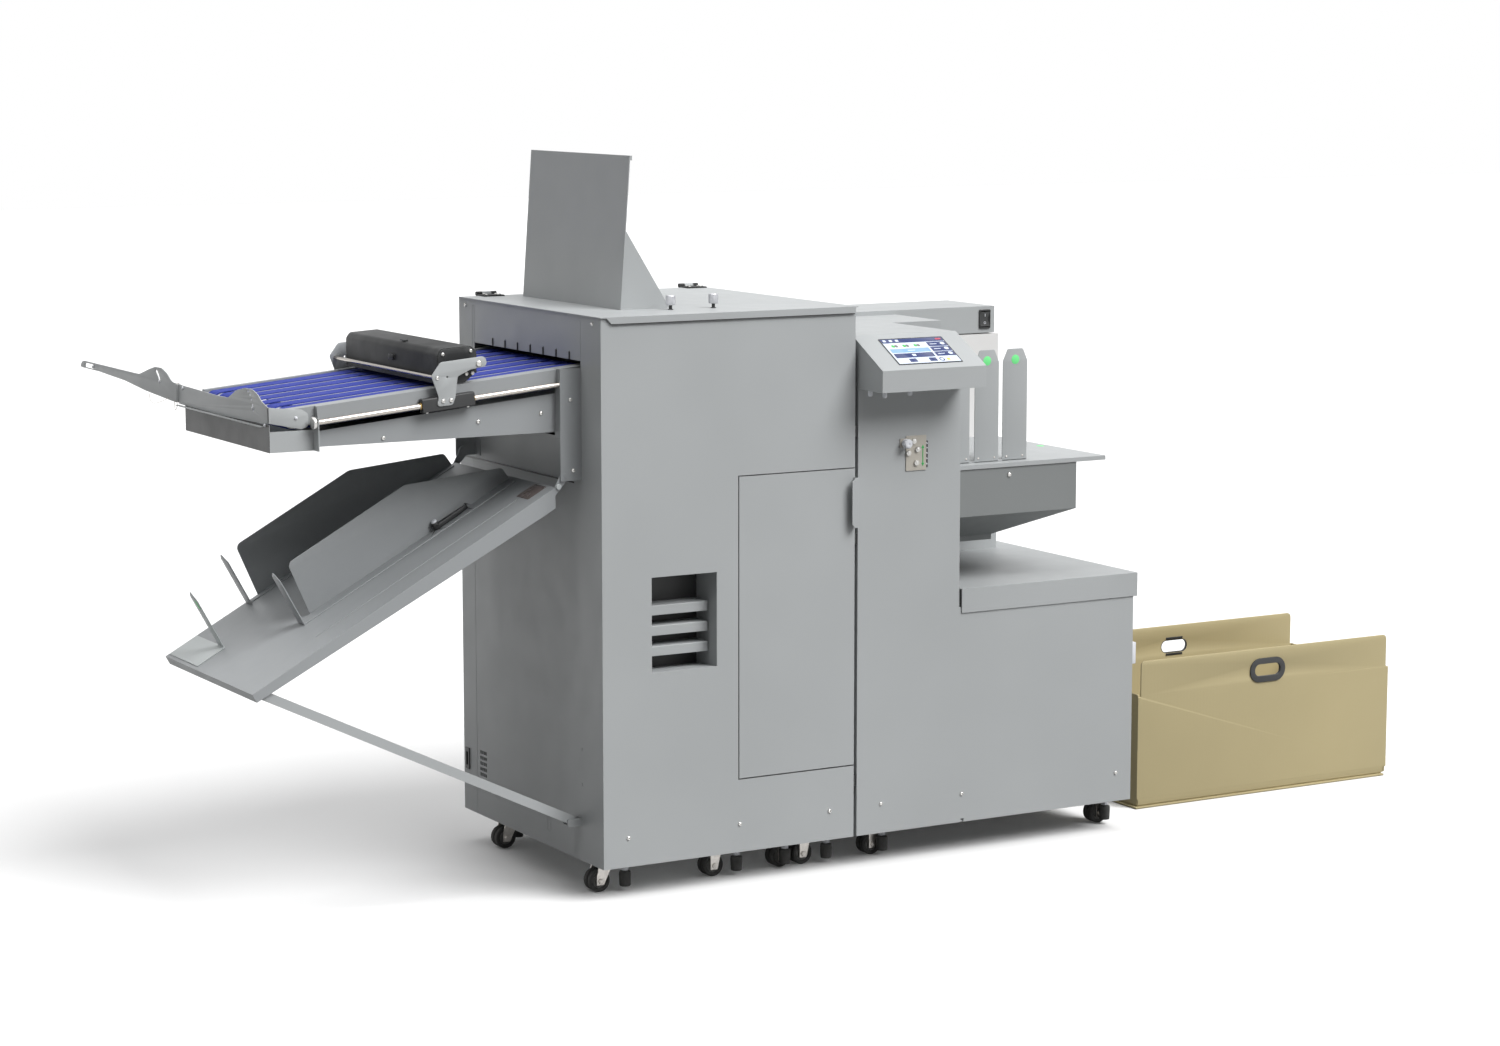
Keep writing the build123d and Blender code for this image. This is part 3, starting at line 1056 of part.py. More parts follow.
# Carriage: slider blocks on the rods, side arms up to the head's pivot, and a tie bar.
with BuildPart(FLOOR) as roller_carriage:
    with Locations(BELT):
        for rod, block_y in ((ROD_Y, CARRIAGE_Y), (ROD_FAR_Y, CARRIAGE_FAR_Y)):
            slab(CARRIAGE_ENDS, block_y, (CARRIAGE_LOW, CARRIAGE_HIGH))
            bore_s = (CARRIAGE_ENDS[0] - CUT, CARRIAGE_ENDS[1] + CUT)
            rod_x(rod, ROD_DEEP, bore_s, ROD_RADIUS + RUN, Mode.SUBTRACT)
    arms_y = (
        (CARRIAGE_Y[0] - CARRIAGE_PLATE, CARRIAGE_Y[0]),
        (CARRIAGE_FAR_Y[1], CARRIAGE_FAR_Y[1] + CARRIAGE_PLATE),
    )
    for arm_y in arms_y:
        panel_y(CARRIAGE_ARM, arm_y)
        bore_y = (arm_y[0] - CUT, arm_y[1] + CUT)
        rod_y(HEAD_PIN[0], HEAD_PIN[1], bore_y, HEAD_PIN_RADIUS + RUN, Mode.SUBTRACT)
    rod_y(TIE_BAR[0], TIE_BAR[1], (arms_y[0][0], arms_y[1][1]), TIE_BAR_RADIUS)
finish(roller_carriage, "roller_carriage")

# Head: cover over the pressing roller, its cheeks carrying the roller and the pivot shaft.
with BuildPart(FLOOR) as roller_head:
    px, pz = PRESS_AXIS
    panel_y([(px + x, pz + z) for x, z in HEAD_COVER], HEAD_Y)
    hollow_y = (HEAD_Y[0] + SHEET, HEAD_Y[1] - SHEET)
    panel_y([(px + x, pz + z) for x, z in HEAD_HOLLOW], hollow_y, mode=Mode.SUBTRACT)
    rod_y(px, pz, (HEAD_Y[0] - CUT, HEAD_Y[1] + CUT), PRESS_JOURNAL + RUN, Mode.SUBTRACT)
    shaft_y = (arms_y[0][0] - CUT, arms_y[1][1] + CUT)
    rod_y(HEAD_PIN[0], HEAD_PIN[1], shaft_y, HEAD_PIN_RADIUS)
finish(roller_head, "roller_head")

# Pressing roller.
with BuildPart(FLOOR) as press_roller:
    rod_y(px, pz, (NEAR_RAIL_Y[1] + SHEET, HEAD_Y[1] - SHEET - CUT), PRESS_RADIUS)
    rod_y(px, pz, HEAD_Y, PRESS_JOURNAL)
finish(press_roller, "press_roller")

# ================================================================ stacker tray

# Tray: sloped sheet with rims, upper pivot lugs and pins, and the lower fork that holds the strut.
with BuildPart(FLOOR) as stacker_tray:
    with Locations(TRAY):
        slab((-TRAY_LENGTH, TRAY_HEAD), TRAY_Y, (-SHEET, 0))
        slab((-TRAY_LENGTH, -TRAY_LENGTH + SHEET), TRAY_Y, (-TRAY_TOE, 0))
        slab(GROOVE_ENDS, GROOVE_Y, (-SHEET - CUT, CUT), Mode.SUBTRACT)
        slab(SENSOR_ENDS, SENSOR_Y, (-SHEET - CUT, CUT), Mode.SUBTRACT)
        slab(
            (STRUT_S - STRUT_HALF, STRUT_S + STRUT_HALF),
            (STRUT_Y[1] + FIT, STRUT_Y[1] + FIT + SHEET),
            (-TRAY_TOE, 0),
        )
        rod_y(STRUT_S, STRUT_DEEP, (TRAY_Y[0], STRUT_Y[1] + FIT + SHEET), STRUT_PIN)
    panel_y(
        [
            (TRAY_HEAD - SHEET, 0),
            (TRAY_HEAD, 0),
            (RIM_END, -TRAY_RIM),
            (RIM_END - SHEET, -TRAY_RIM),
        ],
        TRAY_Y,
        TRAY,
    )
    for rim_y, pin_y in (
        ((TRAY_Y[0], TRAY_Y[0] + SHEET), (BRACKET_Y - CUT, TRAY_Y[0] + SHEET)),
        ((TRAY_Y[1] - SHEET, TRAY_Y[1]), (TRAY_Y[1] - SHEET, BRACKET_FAR_Y + CUT)),
    ):
        panel_y(
            [
                (-TRAY_LENGTH, 0),
                (TRAY_HEAD, 0),
                (RIM_END, -TRAY_RIM),
                (-TRAY_RIM_STRAIGHT, -TRAY_RIM),
                (-TRAY_LENGTH, -TRAY_TOE),
            ],
            rim_y,
            TRAY,
        )
        panel_y(
            [
                (TRAY_X - LUG_FOOT[0], TRAY_Z - LUG_FOOT[1]),
                (TRAY_PIN[0] - TRAY_LUG, TRAY_PIN[1]),
                (TRAY_PIN[0] + LUG_TOE[0], TRAY_PIN[1] - LUG_TOE[1]),
                (TRAY_X - LUG_FOOT[2], TRAY_Z - LUG_FOOT[3]),
            ],
            rim_y,
        )
        rod_y(TRAY_PIN[0], TRAY_PIN[1], rim_y, TRAY_LUG)
        rod_y(TRAY_PIN[0], TRAY_PIN[1], pin_y, TRAY_PIN_RADIUS)
finish(stacker_tray, "stacker_tray")

# Strut: channel from the tray's low end down to the saddle on the cabinet.
with BuildPart(FLOOR) as tray_strut:
    with Locations(STRUT):
        slab((0, STRUT_LENGTH), STRUT_Y, (-STRUT_HALF, STRUT_HALF))
        for end in (0, STRUT_LENGTH):
            rod_y(end, 0, STRUT_Y, STRUT_HALF)
        slab(
            (2 * STRUT_HALF, STRUT_LENGTH - 2 * STRUT_HALF),
            (STRUT_Y[0] + SHEET, STRUT_Y[1] - SHEET),
            (-STRUT_HALF - CUT, STRUT_HALF - SHEET),
            Mode.SUBTRACT,
        )
        rod_y(0, 0, (STRUT_Y[0] - CUT, STRUT_Y[1] + CUT), STRUT_PIN + RUN, Mode.SUBTRACT)
finish(tray_strut, "tray_strut")

# Side plates: upright guides that slide across the tray on an angled foot, each with an end finger.
for name, face_y in (("near_side_plate", GUIDE_NEAR_Y), ("far_side_plate", GUIDE_FAR_Y)):
    with BuildPart(FLOOR) as side_plate:
        low, high = GUIDE_ENDS
        panel_y(
            [
                (low, FIT),
                (low + GUIDE_LEAN, GUIDE_HIGH),
                (high - GUIDE_FALL, GUIDE_HIGH),
                (high - GUIDE_NOSE[0], GUIDE_NOSE[1]),
                (high, FIT),
            ],
            (face_y, face_y + SHEET),
            TRAY,
            corner=GUIDE_CORNER,
            above=GUIDE_HIGH,
        )
        with Locations(TRAY):
            slab((FINGER_S, high), (face_y - GUIDE_FOOT, face_y), (FIT, FIT + SHEET))
            slab((FINGER_S, FINGER_S + SHEET), (face_y - FINGER_WIDE, face_y), (FIT, FINGER_HIGH))
            if name == "near_side_plate":
                bore_h = (-CUT, FIT + SHEET + CUT)
                rod_z(LEVER_S, LEVER_Y, bore_h, LEVER_PIN + RUN, Mode.SUBTRACT)
    finish(side_plate, name)

# End stop: thin base plate with one upright finger.
with BuildPart(FLOOR) as end_stop:
    with Locations(TRAY):
        slab(STOP_ENDS, STOP_Y, (FIT, FIT + STOP_THICK))
        slab((STOP_ENDS[1] - STOP_THICK, STOP_ENDS[1]), STOP_FINGER_Y, (FIT, STOP_HIGH))
finish(end_stop, "end_stop")

# Clamp lever on the near side plate's foot.
with BuildPart(FLOOR) as clamp_lever:
    with Locations(TRAY):
        lever_low = 2 * FIT + SHEET
        lever_top = lever_low + LEVER_HIGH
        lever_y = (LEVER_Y - LEVER_HALF, LEVER_Y + LEVER_HALF)
        rod_z(LEVER_S, LEVER_Y, (lever_low, lever_top), LEVER_HUB)
        slab((LEVER_S, LEVER_S + LEVER_REACH), lever_y, (lever_low + SHEET, lever_top - CUT))
        rod_z(LEVER_S, LEVER_Y, (2 * FIT, lever_low), LEVER_PIN)
        rod_z(LEVER_S, LEVER_Y, (lever_top, lever_top + LEVER_NUT_HIGH), LEVER_NUT)
finish(clamp_lever, "clamp_lever")

# ================================================================ feeder

# Casing: L-shaped front and rear, side walls, floor pan, and the column's roof.
with BuildPart(FLOOR) as feeder_casing:
    outline_x = (FEED_LEFT, FEED_RIGHT)
    rear_wall = (FEED_DEPTH - SHEET, FEED_DEPTH)
    for wall_y, column_top in (((0, SHEET), COLUMN_TOP), (rear_wall, SWITCH_BOX_Z[0])):
        panel_y(
            [
                (FEED_LEFT, CAB_BOTTOM),
                (FEED_RIGHT, CAB_BOTTOM),
                (FEED_RIGHT, SHELF_UNDER),
                (SHELF_LEFT, SHELF_UNDER),
                (SHELF_LEFT, SHELF_UNDER - SHELF_SLOT),
                (COLUMN_RIGHT, SHELF_UNDER - SHELF_SLOT),
                (COLUMN_RIGHT, column_top),
                (FEED_LEFT, column_top),
            ],
            wall_y,
        )
    slab((FEED_RIGHT - SHEET, FEED_RIGHT), (0, FEED_DEPTH), (CAB_BOTTOM, SHELF_UNDER))
    slab(outline_x, (0, FEED_DEPTH), (CAB_BOTTOM, CAB_BOTTOM + PAN))
    roof_under = COLUMN_ROOF - SHEET
    for wall_x, wall_bottom, slot_end in (
        ((FEED_LEFT, FEED_LEFT + SHEET), CAB_BOTTOM, PAPER_Y[1]),
        ((COLUMN_RIGHT - SHEET, COLUMN_RIGHT), SHELF_UNDER - SHELF_SLOT, REAR_Y - 10),
    ):
        panel_x(
            [
                (0, wall_bottom),
                (FEED_DEPTH, wall_bottom),
                (FEED_DEPTH, SWITCH_BOX_Z[0]),
                (REAR_Y, SWITCH_BOX_Z[0]),
                (REAR_Y, roof_under),
                (CONSOLE_BACK, roof_under),
                (CONSOLE_BACK, COLUMN_TOP),
                (0, COLUMN_TOP),
            ],
            wall_x,
        )
        cut_x = (wall_x[0] - CUT, wall_x[1] + CUT)
        slab(cut_x, (PAPER_Y[0], slot_end), PAPER_SLOT, Mode.SUBTRACT)
    slab((FEED_LEFT, COLUMN_RIGHT), (CONSOLE_BACK, REAR_Y), (roof_under, COLUMN_ROOF))
    slab((FEED_LEFT, COLUMN_RIGHT), (CONSOLE_BACK, CONSOLE_BACK + SHEET), (COLUMN_TOP, roof_under))
    slab((SHELF_LEFT + 3, SHELF_LEFT + 11), FRONT_CUT, (CAB_BOTTOM - CUT, CAB_BOTTOM + 8), Mode.SUBTRACT)
    # slots of the side-lay adjuster: the scale beside it and the one its stud runs in
    slab(SCALE_X, FRONT_CUT, SCALE_Z, Mode.SUBTRACT)
    stud = (middle(ADJUST_X), middle(ADJUST_Z))
    reach = ADJUST_TRAVEL + ADJUST_STUD + FIT
    slab(
        (stud[0] - ADJUST_STUD - FIT, stud[0] + ADJUST_STUD + FIT),
        FRONT_CUT,
        (stud[1] - reach, stud[1] + reach),
        Mode.SUBTRACT,
    )
finish(feeder_casing, "feeder_casing")

# Shelf over the feeder's base, with a front and a right lip.
with BuildPart(FLOOR) as feeder_shelf:
    shelf_x = (SHELF_LEFT, SHELF_RIGHT)
    shelf_y = (SHELF_FRONT, FEED_DEPTH - 1)
    slab(shelf_x, shelf_y, (SHELF_UNDER, SHELF_TOP))
    slab(shelf_x, (SHELF_FRONT, SHELF_FRONT + SHEET), (SHELF_LIP, SHELF_TOP))
    slab((SHELF_RIGHT - SHEET, SHELF_RIGHT), shelf_y, (SHELF_LIP, SHELF_TOP))
finish(feeder_shelf, "feeder_shelf")

# Rear tower: lower box on the shelf and the long switch box on top of it and the column.
with BuildPart(FLOOR) as feeder_rear_casing:
    slab((COLUMN_RIGHT, REAR_RIGHT), (REAR_Y, FEED_DEPTH), (SHELF_TOP, REAR_TOP))
    slab(SWITCH_BOX_X, (REAR_Y, FEED_DEPTH), SWITCH_BOX_Z)
    neck_x = (COLUMN_RIGHT + NECK, SWITCH_BOX_X[1] - NECK)
    neck_y = (REAR_Y + NECK, FEED_DEPTH - NECK)
    slab(neck_x, neck_y, (REAR_TOP, SWITCH_BOX_Z[0]))
    slab(
        (COLUMN_RIGHT + SHEET, REAR_RIGHT - SHEET),
        (REAR_Y + SHEET, FEED_DEPTH - SHEET),
        (SHELF_TOP - CUT, REAR_TOP - SHEET),
        Mode.SUBTRACT,
    )
    slab(
        (SWITCH_BOX_X[0] + SHEET, SWITCH_BOX_X[1] - SHEET),
        (REAR_Y + SHEET, FEED_DEPTH - SHEET),
        (SWITCH_BOX_Z[0] + SHEET, SWITCH_BOX_Z[1] - SHEET),
        Mode.SUBTRACT,
    )
    slab(
        (neck_x[0] + SHEET, neck_x[1] - SHEET),
        (neck_y[0] + SHEET, neck_y[1] - SHEET),
        (REAR_TOP - SHEET - CUT, SWITCH_BOX_Z[0] + SHEET + CUT),
        Mode.SUBTRACT,
    )
    for arm in LIFT_ARMS:
        slab(
            (arm - FIT, arm + LIFT_WIDE + FIT),
            (REAR_Y - CUT, REAR_Y + SHEET + CUT),
            (LIFT_BOTTOM - FIT, LIFT_BOTTOM + LIFT_TONGUE + TABLE_LIFT + FIT),
            Mode.SUBTRACT,
        )
    # switch bezel: two cheeks behind the opening that carry the rocker's pins
    opening_z = (ROCKER_Z - ROCKER_HALF - 2.5, ROCKER_Z + ROCKER_HALF + 2.5)
    for cheek in (ROCKER_X[0] - FIT - SHEET, ROCKER_X[1] + FIT):
        slab((cheek, cheek + SHEET), (REAR_Y + SHEET, ROCKER_Y + 4 * ROCKER_PIN), opening_z)
    slab(
        (ROCKER_X[0] - FIT, ROCKER_X[1] + FIT),
        (REAR_Y - CUT, REAR_Y + SHEET + CUT),
        opening_z,
        Mode.SUBTRACT,
    )
    pin_x = (ROCKER_X[0] - SHEET, ROCKER_X[1] + SHEET)
    rod_x(ROCKER_Y, ROCKER_Z, pin_x, ROCKER_PIN + RUN, Mode.SUBTRACT)
finish(feeder_rear_casing, "feeder_rear_casing")

# Rocker of the main switch, its pins in the bezel's cheeks.
with BuildPart(FLOOR) as rocker_switch:
    panel_x(
        [
            (ROCKER_Y - 11, ROCKER_Z - ROCKER_HALF),
            (ROCKER_Y - 7.5, ROCKER_Z),
            (ROCKER_Y - 11, ROCKER_Z + ROCKER_HALF),
            (ROCKER_Y + 2, ROCKER_Z + ROCKER_HALF - 3),
            (ROCKER_Y + 4, ROCKER_Z),
            (ROCKER_Y + 2, ROCKER_Z - ROCKER_HALF + 3),
        ],
        ROCKER_X,
    )
    rod_x(ROCKER_Y, ROCKER_Z, (ROCKER_X[0] - 1.5, ROCKER_X[1] + 1.5), ROCKER_PIN)
finish(rocker_switch, "rocker_switch")

# Suction head: hood on the column's right wall, open below, with bearing bosses for the rotor.
with BuildPart(FLOOR) as suction_head:
    hood_x = (COLUMN_RIGHT, HOOD_RIGHT)
    hood_y = (HOOD_FRONT, REAR_Y)
    slab(hood_x, hood_y, (HOOD_BOTTOM, COLUMN_ROOF))
    slab(
        (COLUMN_RIGHT - CUT, HOOD_RIGHT - SHEET),
        (HOOD_FRONT + SHEET, REAR_Y - SHEET),
        (HOOD_BOTTOM - CUT, COLUMN_ROOF - SHEET),
        Mode.SUBTRACT,
    )
    for boss in ((HOOD_FRONT + SHEET, HOOD_FRONT + HOOD_BOSS), (REAR_Y - HOOD_BOSS, REAR_Y - SHEET)):
        rod_y(ROTOR[0], ROTOR[1], boss, 2 * ROTOR_JOURNAL)
        rod_y(ROTOR[0], ROTOR[1], boss, ROTOR_JOURNAL + RUN, Mode.SUBTRACT)
finish(suction_head, "suction_head")

# Suction rotor: perforated drum with journals.
with BuildPart(FLOOR) as suction_rotor:
    drum_y = (HOOD_FRONT + HOOD_BOSS + FIT, REAR_Y - HOOD_BOSS - FIT)
    rod_y(ROTOR[0], ROTOR[1], drum_y, ROTOR_RADIUS)
    rod_y(ROTOR[0], ROTOR[1], (HOOD_FRONT + 2 * SHEET, REAR_Y - 2 * SHEET), ROTOR_JOURNAL)
    for i in range(ROTOR_ROWS):
        row_y = drum_y[0] + (i + 0.5) * (drum_y[1] - drum_y[0]) / ROTOR_ROWS
        with Locations(Location((ROTOR[0], row_y, ROTOR[1]), (90, 0, 0))):
            with PolarLocations(ROTOR_RADIUS, ROTOR_HOLES):
                Cylinder(ROTOR_HOLE, ROTOR_HOLE_DEEP, rotation=(0, 90, 0), mode=Mode.SUBTRACT)
finish(suction_rotor, "suction_rotor")

# Vacuum pump on the feeder's floor pan.
with BuildPart(FLOOR) as vacuum_pump:
    pump_y = middle(PUMP_Y)
    head_z = (pan_top + PUMP_HEAD_Z[0], pan_top + PUMP_HEAD_Z[1])
    slab((PUMP_X, PUMP_X + PUMP_LONG), PUMP_Y, (pan_top, pan_top + PUMP_BASE))
    slab(
        (PUMP_X + PUMP_PLINTH_IN, PUMP_X + PUMP_LONG - PUMP_PLINTH_IN),
        (PUMP_Y[0] + PUMP_PLINTH_IN, PUMP_Y[1] - PUMP_PLINTH_IN),
        (pan_top + PUMP_BASE, pan_top + PUMP_PLINTH),
    )
    motor_x = (PUMP_X + PUMP_MOTOR[0], PUMP_X + PUMP_MOTOR[1])
    rod_x(pump_y, pan_top + PUMP_AXIS, motor_x, PUMP_MOTOR_RADIUS)
    head_x = (PUMP_X + PUMP_HEAD[0], PUMP_X + PUMP_HEAD[1])
    slab(head_x, (pump_y - PUMP_HEAD_HALF, pump_y + PUMP_HEAD_HALF), head_z)
    rod_z(PUMP_X + PUMP_PORT_X, pump_y, (head_z[1], head_z[1] + PUMP_PORT_HIGH), PUMP_PORT)
finish(vacuum_pump, "vacuum_pump")

# Console: wedge-shaped housing in front of the column, open at its back, with the screen's window.
with BuildPart(FLOOR) as console_housing:
    console_x = (FEED_LEFT, COLUMN_RIGHT)
    panel_x(
        [
            (CONSOLE_FRONT, COLUMN_TOP),
            (CONSOLE_FRONT, CONSOLE_LIP),
            (CONSOLE_BACK, CONSOLE_HIGH),
            (CONSOLE_BACK, COLUMN_TOP),
        ],
        console_x,
    )
    panel_x(
        [
            (CONSOLE_FRONT + SHEET, COLUMN_TOP + SHEET),
            (CONSOLE_FRONT + SHEET, CONSOLE_LIP - SHEET),
            (CONSOLE_BACK + CUT, CONSOLE_HIGH - SHEET),
            (CONSOLE_BACK + CUT, COLUMN_TOP + SHEET),
        ],
        (console_x[0] + SHEET, console_x[1] - SHEET),
        Mode.SUBTRACT,
    )
    with Locations(SLOPE):
        slab(SCREEN_X, SCREEN_UP, (-2 * SCREEN_DEEP, CUT), Mode.SUBTRACT)
finish(console_housing, "console_housing")

# Touch screen: a flat panel that fills the console's window.
with BuildPart(FLOOR) as touch_screen:
    with Locations(SLOPE):
        slab(SCREEN_X, SCREEN_UP, (-SCREEN_DEEP, SCREEN_PROUD))
finish(touch_screen, "touch_screen")

# Side-lay adjuster: plate guided by a headed stud through the casing's slot.
with BuildPart(FLOOR) as adjuster_plate:
    plate_y = (-FIT - SHEET, -FIT)
    slab(ADJUST_X, plate_y, ADJUST_Z)
    ear_z = (KNOB_AXIS[1] - KNOB_EAR, KNOB_AXIS[1] + KNOB_EAR)
    slab((KNOB_AXIS[0] - KNOB_EAR, ADJUST_X[0]), plate_y, ear_z)
    rod_y(stud[0], stud[1], (-FIT, SHEET + FIT), ADJUST_STUD)
    rod_y(stud[0], stud[1], (SHEET + FIT, 2 * SHEET + FIT), 2 * ADJUST_STUD)
    knob_bore = (plate_y[0] - CUT, plate_y[1] + CUT)
    rod_y(KNOB_AXIS[0], KNOB_AXIS[1], knob_bore, ADJUST_STUD + RUN, Mode.SUBTRACT)
finish(adjuster_plate, "adjuster_plate")

# Knob of the adjuster.
with BuildPart(FLOOR) as adjuster_knob:
    rod_y(KNOB_AXIS[0], KNOB_AXIS[1], (KNOB_TIP, -2 * FIT - SHEET), KNOB_GRIP)
    rod_y(KNOB_AXIS[0], KNOB_AXIS[1], (-2 * FIT - SHEET, -FIT), ADJUST_STUD)
finish(adjuster_knob, "adjuster_knob")

# Feed table: shallow pan with two lift arms whose tongues run in the rear tower's slots.
with BuildPart(FLOOR) as feed_table:
    table_y = (TABLE_FRONT, REAR_Y - FIT)
    slab(TABLE_X, table_y, (TABLE_TOP - TABLE_RIM, TABLE_TOP))
    slab(
        (TABLE_X[0] + SHEET, TABLE_X[1] - SHEET),
        (table_y[0] + SHEET, table_y[1] - 2 * SHEET),
        (TABLE_TOP - TABLE_RIM - CUT, TABLE_TOP - SHEET),
        Mode.SUBTRACT,
    )
    for arm in LIFT_ARMS:
        arm_x = (arm, arm + LIFT_WIDE)
        slab(arm_x, (table_y[1] - 2 * SHEET, table_y[1]), (LIFT_BOTTOM, TABLE_TOP - TABLE_RIM))
        tongue_z = (LIFT_BOTTOM, LIFT_BOTTOM + LIFT_TONGUE)
        slab(arm_x, (table_y[1] - 2 * SHEET, REAR_Y + 3 * SHEET), tongue_z)
finish(feed_table, "feed_table")


def hopper(inset, top, bottom, mode):
    """Tapered body of the chute: straight sides, sloped bottom, short neck."""
    left = TABLE_X[0] + inset
    front = CHUTE_Y[0] + inset
    back = CHUTE_Y[1] - inset
    slab((left, CHUTE_RIGHT - inset), (front, back), (CHUTE_EAVES, top), mode)
    neck_x = (left, CHUTE_NECK[0] - inset)
    neck_y = (CHUTE_NECK[1] + inset, back)
    with BuildSketch(Plane(FLOOR.location * Location((0, 0, CHUTE_EAVES)))) as wide:
        with Locations((middle((left, CHUTE_RIGHT - inset)), middle((front, back)))):
            Rectangle(CHUTE_RIGHT - inset - left, back - front)
    with BuildSketch(Plane(FLOOR.location * Location((0, 0, CHUTE_THROAT)))) as narrow:
        with Locations((middle(neck_x), middle(neck_y))):
            Rectangle(neck_x[1] - neck_x[0], neck_y[1] - neck_y[0])
    loft([wide.sketch, narrow.sketch], ruled=True, mode=mode)
    slab(neck_x, neck_y, (bottom, CHUTE_THROAT), mode)


# Chute under the table, a thin shell open below.
with BuildPart(FLOOR) as table_chute:
    hopper(0, TABLE_TOP - TABLE_RIM, CHUTE_BOTTOM, Mode.ADD)
    hopper(SHEET, TABLE_TOP - TABLE_RIM - SHEET, CHUTE_BOTTOM - CUT, Mode.SUBTRACT)
finish(table_chute, "table_chute")

# Three fence plates on one foot that slides across the table.
with BuildPart(FLOOR) as feed_guides:
    fence_low = TABLE_TOP + FIT
    for left, right in FENCE_PLACES:
        panel_y(
            [
                (left, fence_low),
                (right, fence_low),
                (right, FENCE_SHOULDER),
                (right - FENCE_CHAMFER, FENCE_TOP),
                (left + FENCE_CHAMFER, FENCE_TOP),
                (left, FENCE_SHOULDER),
            ],
            (FENCE_Y, FENCE_Y + SHEET),
        )
    foot_x = (FENCE_PLACES[0][0], FENCE_PLACES[-1][1])
    slab(foot_x, (FENCE_Y, FENCE_Y + 8 * SHEET), (fence_low, fence_low + SHEET))
finish(feed_guides, "feed_guides")

# ================================================================ castors, feet, screws and bin


def castor_fork(wheel_x, wheel_y, trail):
    """Fork round one wheel: two leaning legs, a crown plate and the axle."""
    stem = wheel_x + trail
    half = WHEEL_WIDE / 2 + FIT + LEG
    for leg in (wheel_y - half, wheel_y + half - LEG):
        panel_y(
            [
                (wheel_x - LEG_NOSE, WHEEL_RADIUS - LEG_NOSE),
                (wheel_x + LEG_BACK, WHEEL_RADIUS - LEG_NOSE),
                (stem + LEG_BACK, FORK_TOP - CROWN / 2),
                (stem + LEG_BACK, FORK_TOP),
                (stem - CROWN, FORK_TOP),
                (wheel_x - LEG_NOSE, WHEEL_RADIUS + LEG_HIP),
            ],
            (leg, leg + LEG),
        )
    slab((stem - CROWN, stem + LEG_BACK), (wheel_y - half, wheel_y + half), (FORK_TOP - LEG, FORK_TOP))
    rod_y(wheel_x, WHEEL_RADIUS, (wheel_y - half, wheel_y + half), AXLE)
    return stem


def castor_wheel(wheel_x, wheel_y):
    """Twin-disc wheel on a common hub."""
    near = wheel_y - WHEEL_WIDE / 2
    for tyre in (near, near + WHEEL_WIDE - TYRE_WIDE):
        rod_y(wheel_x, WHEEL_RADIUS, (tyre, tyre + TYRE_WIDE), WHEEL_RADIUS)
    rod_y(wheel_x, WHEEL_RADIUS, (near, near + WHEEL_WIDE), WHEEL_RADIUS / 2)
    rod_y(wheel_x, WHEEL_RADIUS, (near - CUT, near + WHEEL_WIDE + CUT), AXLE + RUN, Mode.SUBTRACT)


# Swivel castors at the cabinet's left end: fork with a bearing disc round the kingpin, and its wheel.
for side, wheel_y in (("near", CASTOR_IN), ("far", CASTOR_FAR)):
    with BuildPart(FLOOR) as swivel_fork:
        stem = castor_fork(SWIVEL_X, wheel_y, SWIVEL_TRAIL)
        disc_z = (FORK_TOP, CAB_BOTTOM - PAN - FIT)
        rod_z(stem, wheel_y, disc_z, BEARING)
        rod_z(stem, wheel_y, (FORK_TOP - LEG - CUT, disc_z[1] + CUT), KINGPIN + RUN, Mode.SUBTRACT)
    finish(swivel_fork, f"left_{side}_castor_fork")
    with BuildPart(FLOOR) as swivel_wheel:
        castor_wheel(SWIVEL_X, wheel_y)
    finish(swivel_wheel, f"left_{side}_castor_wheel")

# Fixed castor forks under cabinet and feeder, each on a mounting block.
with BuildPart(FLOOR) as fixed_castor_forks:
    for wheel_x in FIXED_X:
        for wheel_y in (CASTOR_IN, CASTOR_FAR):
            stem = castor_fork(wheel_x, wheel_y, FIXED_TRAIL)
            block_y = (wheel_y - WHEEL_WIDE / 2, wheel_y + WHEEL_WIDE / 2)
            slab((stem - CROWN, stem + CROWN / 4), block_y, (FORK_TOP, CAB_BOTTOM))
finish(fixed_castor_forks, "fixed_castor_forks")

# Fixed wheels, near and far wheel of one axle line together.
for i, wheel_x in enumerate(FIXED_X):
    with BuildPart(FLOOR) as wheel_pair:
        for wheel_y in (CASTOR_IN, CASTOR_FAR):
            castor_wheel(wheel_x, wheel_y)
    finish(wheel_pair, f"fixed_wheel_pair_{i + 1}")

# Levelling feet: stud, nut and rubber foot, drawn up off the floor.
with BuildPart(FLOOR) as levelling_feet:
    for foot_x in FOOT_X:
        for foot_y in (FOOT_IN, FOOT_FAR):
            rod_z(foot_x, foot_y, (FOOT_Z[1], CAB_BOTTOM), FOOT_STUD)
            nut_place = Location((foot_x, foot_y, FOOT_Z[1] + NUT_LIFT))
            with BuildSketch(Plane(FLOOR.location * nut_place)) as nut:
                RegularPolygon(FOOT_RADIUS, 6)
            extrude(nut.sketch, amount=NUT_HIGH)
            with Locations((foot_x, foot_y, middle(FOOT_Z))):
                Cone(FOOT_RADIUS - FOOT_TAPER, FOOT_RADIUS, FOOT_Z[1] - FOOT_Z[0])
finish(levelling_feet, "levelling_feet")

